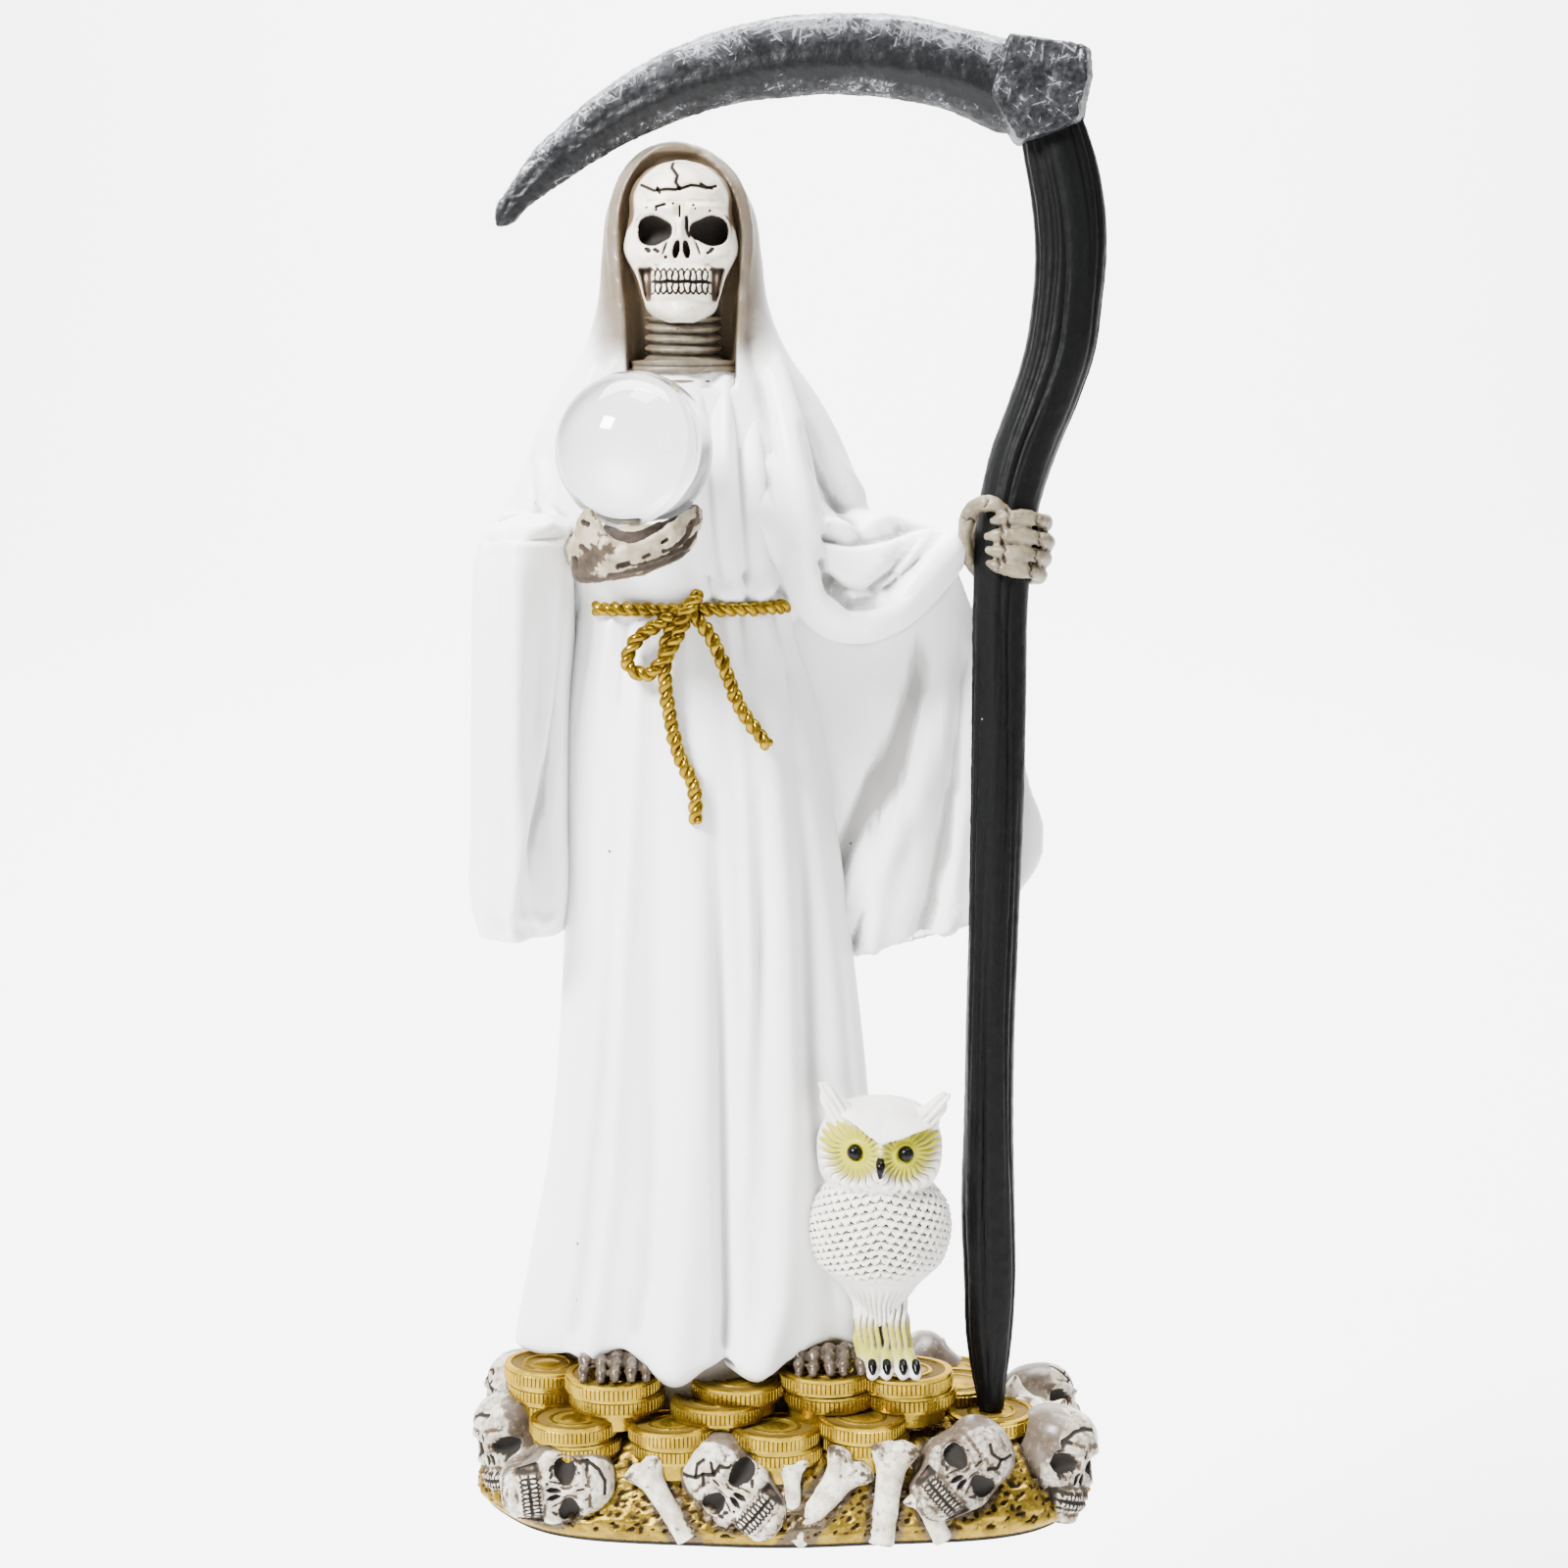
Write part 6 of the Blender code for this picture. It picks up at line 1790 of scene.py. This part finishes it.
    def browned(self, points: Net) -> Net:
        """How much darker taupe lies on the grit within about a millimetre of each skull and bone."""
        gap = np.full(len(points), 99.0)
        for skull in self.skulls:
            gap = np.minimum(gap, np.linalg.norm(points - np.array(skull.centre), axis=1) - 12.4 * skull.size)
        for bone in self.bones:
            start, end = np.array(bone.start), np.array(bone.end)
            share = np.clip((points - start) @ (end - start) / ((end - start) @ (end - start)), 0.0, 1.0)
            nearest = start + share[:, None] * (end - start)
            gap = np.minimum(gap, np.linalg.norm(points - nearest, axis=1) - 1.25 * bone.radius)
        return 0.9 * ease((1.3 - gap) / 1.2)

    @staticmethod
    def grit(point: Net) -> float:
        """Height of the grit at a place: rounded grains about 1.4 mm apart, with some soft lumps."""
        place = Vector(point)
        nearest = noise.voronoi(place / 1.4)[0][0]
        return 1.1 * (0.5 - nearest) + 0.6 * noise.noise(place / 4.0)

    def build_coins(self) -> None:
        """One coin, struck once and laid in every pile."""
        model = add_primitive(
            "coin", Primitive.CYLINDER, vertices=64, radius=9.0 * MM, depth=(self.coin - 0.05) * MM
        )
        mesh = open_mesh(model)
        for face in mesh.faces:
            face.select = abs(face.normal.z) < 0.5
        bmesh.update_edit_mesh(model.data)
        bpy.ops.mesh.inset(thickness=0.55 * MM, depth=0.0, use_individual=False)
        bpy.ops.mesh.inset(thickness=0.15 * MM, depth=0.24 * MM, use_individual=True)
        bpy.ops.mesh.select_all(action="DESELECT")
        mesh = bmesh.from_edit_mesh(model.data)
        for face in mesh.faces:
            face.select = face.normal.z > 0.9 and face.calc_area() > 1e-4
        bmesh.update_edit_mesh(model.data)
        for inwards, down in self.struck:
            bpy.ops.mesh.inset(thickness=inwards * MM, depth=down * MM, use_individual=False)
        close_mesh()
        chance = np.random.default_rng(7)
        coins = []
        for pile in self.piles:
            for level in range(pile.count):
                coin = place_object("coin", model.data.copy())
                shift = 0.8 * level
                middle = Vector((pile.x + shift, pile.y + shift * 0.5, pile.top - self.coin * (level + 0.5)))
                tilt = Euler(
                    [math.radians(a) for a in (*chance.uniform(-1.6, 1.6, 2), chance.uniform(0.0, 360.0))]
                )
                size = pile.radius / 9.0
                grown = Matrix.Diagonal((size, size, 1.0, 1.0))
                coin.data.transform(Matrix.Translation(middle * MM) @ tilt.to_matrix().to_4x4() @ grown)
                coins.append(coin)
            core = add_primitive(
                "core", Primitive.CYLINDER, vertices=48, radius=(pile.radius - 1.4) * MM, depth=1.0
            )
            low, high = pile.top - self.coin * pile.count - 3.0, pile.top - 1.6
            core.data.transform(Matrix.Diagonal((1.0, 1.0, (high - low) * MM, 1.0)))
            core.data.transform(Matrix.Translation(Vector((pile.x, pile.y, (low + high) / 2.0)) * MM))
            coins.append(core)
        bpy.data.objects.remove(model)
        pieces = join_up("coins", coins)
        dress(pieces, COIN_GOLD, crisp=40.0, wash_and_shade=(1, 0.25))

    def build_skulls(self) -> None:
        """The skulls of the base, finer on the side that faces the viewer."""
        groups: dict[str, list[Thing]] = {"front_skulls": [], "other_skulls": []}
        for index, skull in enumerate(self.skulls):
            name = "front_skulls" if index < 3 else "other_skulls"
            fine = (132, 108) if index < 3 else (72, 60)
            points, wash_and_shade_amount, browned = Skull(spread=0.84, carving=0.55).net(*fine, self.cracks[index % 3])
            piece = skin("base_skull", points)
            # Brown paint and painted shade: each skull is darkened and browned by its own amount, most those
            # at the sides.
            mark_recesses(piece, 5, 0.35, capped(1.3 * wash_and_shade_amount) + 0.45 * skull.stain_and_shade)
            mark(piece, "tint", capped(np.maximum(browned, skull.stain_and_shade), 1.0, 1.0))
            turned = Euler([math.radians(a) for a in skull.turns]).to_matrix().to_4x4()
            piece.data.transform(
                Matrix.Translation(Vector(skull.centre) * MM) @ turned @ Matrix.Scale(skull.size, 4)
            )
            groups[name].append(piece)
        for name, made in groups.items():
            skulls = join_up(name, made)
            trim(skulls)
            dress(skulls, BONE_WHITE)

    def build_bones(self) -> None:
        """The bones of the base."""
        bones = join_up("base_bones", [skin("bone", bone.net()) for bone in self.bones])
        roughen(bones, 3.0, 0.4)
        trim(bones)
        dress(bones, BONE_WHITE, wash_and_shade=(6, 0.5), wash_and_shade_amount=-0.25)


# The scythe


@dataclass
class Scythe:
    """The scythe: a crooked wooden handle, a socket block and a curved blade, with the hand that grips it."""

    handle: Stations = Stations((
        (20.8, 42.8, -12, 2.6, 2.6), (28.1, 42.5, -11.8, 3.7, 3.6), (36.5, 42.4, -11.6, 4.8, 4.5),
        (47, 42.5, -11.4, 5.3, 4.8), (62.4, 42, -11, 5.5, 5), (80, 41.9, -10.8, 5.1, 4.9),
        (98.3, 42, -10.4, 5, 4.9), (120, 42.5, -9.8, 5.1, 5), (148.3, 43.2, -9.2, 5.4, 5.1),
        (170, 43.5, -8.8, 5.5, 5.2), (188, 43.7, -8.5, 5.6, 5.4), (207.7, 45.5, -8.2, 6.2, 5.8),
        (217.5, 48.2, -7.8, 6.7, 6), (227.2, 51.9, -7.5, 7, 6.2), (237, 55, -7.3, 7.1, 6.4),
        (247, 56.4, -7.1, 7, 6.4), (256.3, 57, -7, 7.15, 6.4), (266, 56.4, -7, 7.3, 6.4),
        (275.4, 54.6, -7, 7.2, 6.2), (284, 52.4, -7, 6.4, 5.8),
    ))
    blade: Stations = Stations((
        (0, -57.3, 262.3, -56.8, 261.8, 0.6), (0.25, -57.4, 264.6, -54.9, 261.9, 1.5),
        (1, -54.5, 269.7, -50.4, 265.9, 1.8), (2, -49.5, 277, -43.4, 270.7, 2.2),
        (3, -43.3, 282.7, -36, 275.4, 2.6), (4, -34.9, 289.2, -26.6, 280.2, 3),
        (5, -23.2, 296, -12.8, 285, 3.5), (6, -7.7, 301.3, 0, 286.9, 3.9),
        (7, 7.7, 303.2, 13.6, 287.4, 4.2), (8, 25.1, 302.6, 30.5, 285, 4.5),
        (9, 42.6, 298.6, 42.3, 280.2, 5), (10, 50.3, 296.9, 48.5, 279.6, 5),
    ))
    blade_y: float = -7.0
    bevel: Stations = Stations((
        (0, 0.05), (0.04, 0.35), (0.12, 0.62), (0.24, 0.86), (0.3, 1), (0.6, 1), (0.84, 0.92), (0.93, 0.78),
        (1, 0.1),
    ))
    socket_face: tuple[Spot, ...] = (
        (43.8, 298.6), (58.8, 296.3), (59.2, 290.6), (57.4, 282.2), (53.2, 279.8), (45.9, 277.8),
        (40.5, 286.9),
    )
    socket_front: float = -15.6
    socket_depth: float = 17.0
    grooves: Table = (
        (-72, 5, 0.5), (-52, 3.4, 0.6), (-33, 4.2, 0.55), (-12, 3, 0.95), (-4, 2.2, 0.4), (14, 3.6, 0.6),
        (34, 3.2, 0.55), (55, 4.4, 0.6), (80, 4, 0.5), (108, 4, 0.5), (140, 4.4, 0.5), (172, 4, 0.5),
        (-106, 4, 0.5), (-140, 4.4, 0.5),
    )
    fingers: tuple[tuple[Spot, ...], ...] = (
        ((40.3, 203.8), (44.8, 204.4), (50.2, 204.2), (52.7, 202.9)),
        ((39.1, 200.7), (43.5, 201), (50.7, 200.4), (53.1, 198.8)),
        ((39.4, 198), (44, 197.5), (50.1, 197), (52.6, 195.8)),
        ((39.6, 195.4), (43, 194.6), (49.1, 193.8), (51.8, 192.4)),
    )

    def build(self) -> None:
        """Builds the handle, the blade, the socket and the hand."""
        self.build_handle()
        self.build_blade()
        self.build_socket()
        self.build_hand()

    def build_handle(self) -> None:
        """The handle, with long splits in its wood."""
        heights = np.linspace(20.8, 284.0, 340)[:, None]
        turns = bearings(80, 0.25)[None, :]
        x, y, half, depth = self.handle.at(heights)
        out = np.zeros(np.broadcast_shapes(heights.shape, turns.shape))
        for index, (bearing, width, deep) in enumerate(self.grooves):
            wander = (
                4.0 * np.sin(heights / (31.0 + 3.0 * index) + index)
                + 2.0 * np.sin(heights / 9.0 + 2.0 * index)
            )
            strength = 0.45 + 0.55 * np.sin(heights / (19.0 + 2.0 * index) + 1.7 * index)
            out -= deep * np.clip(strength, 0.0, 1.0) * hump(turned_by(bearing + wander, turns), width)
        out += 0.12 * np.cos(np.radians(turns * 5.0) + heights / 24.0)
        out *= ease((heights - 22.0) / 12.0)
        piece = skin("scythe_handle", oval_net(heights, turns, x, y, half, depth, depth, out))
        roughen(piece, 2.2, 0.22)
        edge = 0.5 * ease((44.0 - points_of(piece)[:, 2]) / 14.0)
        dress(piece, HANDLE_BLACK, Slot.SCYTHE, edge=edge)

    def build_blade(self) -> None:
        """The blade, thick at the back and bevelled to its lower edge."""
        along = np.linspace(0.0, 10.0, 240)[:, None]
        upper_x, upper_z, lower_x, lower_z, thick = self.blade.at(along)
        angle = circle(72)
        u = 0.5 - 0.5 * np.cos(angle)
        side = np.where(np.sin(angle) >= 0.0, -1.0, 1.0)
        (cover,) = self.bevel.at(u)
        x = lower_x + (upper_x - lower_x) * u
        z = lower_z + (upper_z - lower_z) * u
        y = self.blade_y + side * thick * np.where((u < 1e-6) | (u > 1.0 - 1e-6), 0.0, cover)
        net = gathered(x, y, z)[:, ::-1]
        piece = skin("scythe_blade", net)
        roughen(piece, 1.1, 0.5)
        roughen(piece, 5.0, 0.5)
        u_at = capped(np.broadcast_to(u[:, ::-1], net.shape[:2]))
        along_at = capped(np.broadcast_to(along, net.shape[:2]), 0.0, 10.0)
        edge = hump(u_at - 0.92, 0.30) + 0.5 * ease((0.26 - u_at) / 0.12) - 0.2 * hump(u_at - 0.42, 0.16)
        edge -= 0.25 * ease((3.0 - along_at) / 3.0)
        dress(piece, BLADE_SILVER, Slot.SCYTHE, crisp=55.0, edge=edge)

    def build_socket(self) -> None:
        """The block that joins the blade to the handle, its right side turned a little to the viewer."""
        corners = np.array(self.socket_face)
        middle = corners.mean(axis=0)
        rings = []
        for depth, shrink, shift in ((0.0, 1.0, 0.0), (0.5, 1.03, 1.6), (1.0, 0.98, 1.8)):
            moved = np.where(corners[:, 0] > middle[0], shift, shift * 0.3)
            x = middle[0] + (corners[:, 0] - middle[0]) * shrink + moved
            z = middle[1] + (corners[:, 1] - middle[1]) * shrink
            rings.append(np.stack((x, np.full(7, self.socket_front + self.socket_depth * depth), z), axis=-1))
        piece = skin("scythe_socket", np.array(rings))
        apply(
            piece, "BEVEL", width=0.9 * MM, segments=3, limit_method="ANGLE",
            angle_limit=math.radians(25.0)
        )
        apply(piece, "REMESH", mode="VOXEL", voxel_size=0.38 * MM, adaptivity=0.0)
        roughen(piece, 0.9, 0.6)
        roughen(piece, 3.0, 0.5)
        dress(piece, BLADE_SILVER, Slot.SCYTHE, edge=0.5)

    def build_hand(self) -> None:
        """The left hand: four jointed fingers round the front of the handle, a thumb, a palm and a wrist."""
        parts = [
            limb("wrist", ((30.0, -2.6, 198.8), (38.0, -4.0, 198.6)), (3.8, 4.0), 40),
            ball("palm", (40.0, -4.2, 199.0), 1.0, 40, 28, (4.2, 4.6, 7.4)),
        ]
        splits = []
        for (tip_x, tip_z), (near_x, near_z), (far_x, far_z), (end_x, end_z) in self.fingers:
            path = (
                (end_x - 4.2, -3.4, end_z), (end_x - 0.9, -7.4, end_z), (far_x + 0.9, -13.2, far_z - 0.4),
                (far_x - 0.6, -14.9, far_z), (near_x, -16.0, near_z), (tip_x + 1.2, -15.3, tip_z),
            )
            radii = (1.7, 1.6, 1.75, 1.5, 1.85, 1.75, 1.45, 1.35, 1.4, 1.7, 1.65, 1.4, 1.3, 0.8)
            parts.append(limb("finger", path, radii, 28))
            for x, z in ((near_x - 0.4, near_z), (far_x, far_z)):
                zigzag = ((x - 0.3, z + 1.7), (x + 0.4, z + 0.6), (x - 0.3, z - 0.3), (x + 0.2, z - 1.7))
                splits.append(Stroke(zigzag, 0.24, (-0.7, -0.5, -0.7)))
            splits.append(
                Stroke(((near_x + 1.0, near_z + 0.7), (far_x - 1.4, far_z + 0.6)), 0.2, (-0.25,) * 2)
            )
        thumb = (
            (37.2, -9.4, 195.4), (36.2, -10.6, 199.8), (36.5, -11.4, 203.4), (38.2, -12.6, 206.6),
            (40.8, -13.8, 207.2),
            (44.2, -14.8, 205.9),
        )
        parts.append(limb("thumb", thumb, (1.0, 1.35, 1.4, 1.4, 1.75, 1.7, 1.5, 1.75, 1.5, 0.9), 28))
        splits.append(Stroke(((35.2, 204.6), (36.4, 203.6), (37.2, 204.2), (38.6, 203.2)), 0.24, (-0.6,) * 2))
        splits.append(Stroke(((40.2, 209.0), (40.5, 207.6), (39.8, 206.4)), 0.24, (-0.6,) * 2))
        hand = fuse("left_hand", parts, 0.38, 1, 150000)
        sculpt(hand, splits, 0.0)
        roughen(hand, 1.1, 0.4)
        x, y, z = points_of(hand).T
        cracks = -1.7 * sum(split.lift(x, z) for split in splits) * (y < -10.0)
        dress(hand, HAND_TAN, Slot.SCYTHE, wash_and_shade=(14, 0.3), wash_and_shade_amount=cracks)


@dataclass
class GlassBall:
    """The clear ball that rests in the cupped hand."""

    centre: Point = (-28.5, -40, 218)
    radius: float = 15.0

    def build(self) -> None:
        """Turns and polishes the ball."""
        dress(ball("glass_ball", self.centre, self.radius, 128, 80), CLEAR_GLASS, Slot.BALL)


# The studio


def aim_at(thing: Thing, place: Point, target: Point) -> None:
    """Puts a lamp or a camera at a place and turns it to a target."""
    thing.location = place
    thing.rotation_euler = (Vector(target) - Vector(place)).to_track_quat("-Z", "Y").to_euler()


@dataclass(frozen=True)
class Lamp:
    """A soft rectangular lamp that looks at the figurine."""

    name: str
    place: Point
    size: float
    watts: float
    aim: Point = (0, 0, 0.15)

    def hang(self) -> None:
        """Puts the lamp in the scene."""
        light = bpy.data.lights.new(self.name, "AREA")
        light.shape = "SQUARE"
        light.size = self.size
        light.energy = self.watts
        aim_at(place_object(self.name, light), self.place, self.aim)


@dataclass
class Studio:
    """A pale floor and backdrop, soft lamps and the camera. Places are in metres."""

    lamps: tuple[Lamp, ...] = (
        Lamp('key_lamp', (-0.55, -0.58, 0.8), 0.28, 52), Lamp('fill_lamp', (0.9, -0.85, 0.5), 0.5, 4),
        Lamp('top_lamp', (0.12, -0.05, 1.05), 0.35, 12),
        Lamp('backdrop_lamp', (0, 0.9, 2.2), 2, 420, (0, 2.4, 0.5)),
    )
    sweep: tuple[Spot, ...] = ((-3, 0), (1.6, 0), (2.2, 0.12), (2.6, 0.5), (2.75, 1.1), (2.75, 3.5))
    eye: Point = (0, -0.62, 0.225)
    target: Point = (0, 0, 0.1493)
    lens: float = 69.745

    def build(self) -> None:
        """Sets the floor, the light and the camera."""
        mesh = bpy.data.meshes.new("sweep")
        rail = along_path(tuple((0.0, y, z) for y, z in self.sweep), 60)
        corners = [(x, y, z) for _, y, z in rail for x in (-5.0, 5.0)]
        mesh.from_pydata(corners, [], [(2 * i, 2 * i + 1, 2 * i + 3, 2 * i + 2) for i in range(59)])
        sweep = place_object("sweep", mesh)
        smooth(sweep)
        sweep.data.materials.append(STUDIO_FLOOR.build())
        world = bpy.data.worlds.new("studio_air")
        world.use_nodes = True
        sky = world.node_tree.nodes["Background"]
        sky.inputs["Color"].default_value = (1.0, 1.0, 1.0, 1.0)
        sky.inputs["Strength"].default_value = 0.26
        bpy.context.scene.world = world
        for lamp in self.lamps:
            lamp.hang()
        camera = place_object("camera", bpy.data.cameras.new("camera"))
        camera.data.lens = self.lens
        camera.data.sensor_width = 36.0
        aim_at(camera, self.eye, self.target)
        bpy.context.scene.camera = camera


def main() -> None:
    """Builds every piece in order and sets the studio."""
    logging.basicConfig(level=logging.INFO, format="%(message)s")
    pieces = (
        Base(), UnderGown(), Gown(), Robe(), Head(), CuppedHand(), Feet(), WaistRope(), Owl(), Scythe(),
        GlassBall()
    )
    for piece in pieces:
        piece.build()
    Studio().build()


if __name__ == "__main__":
    main()
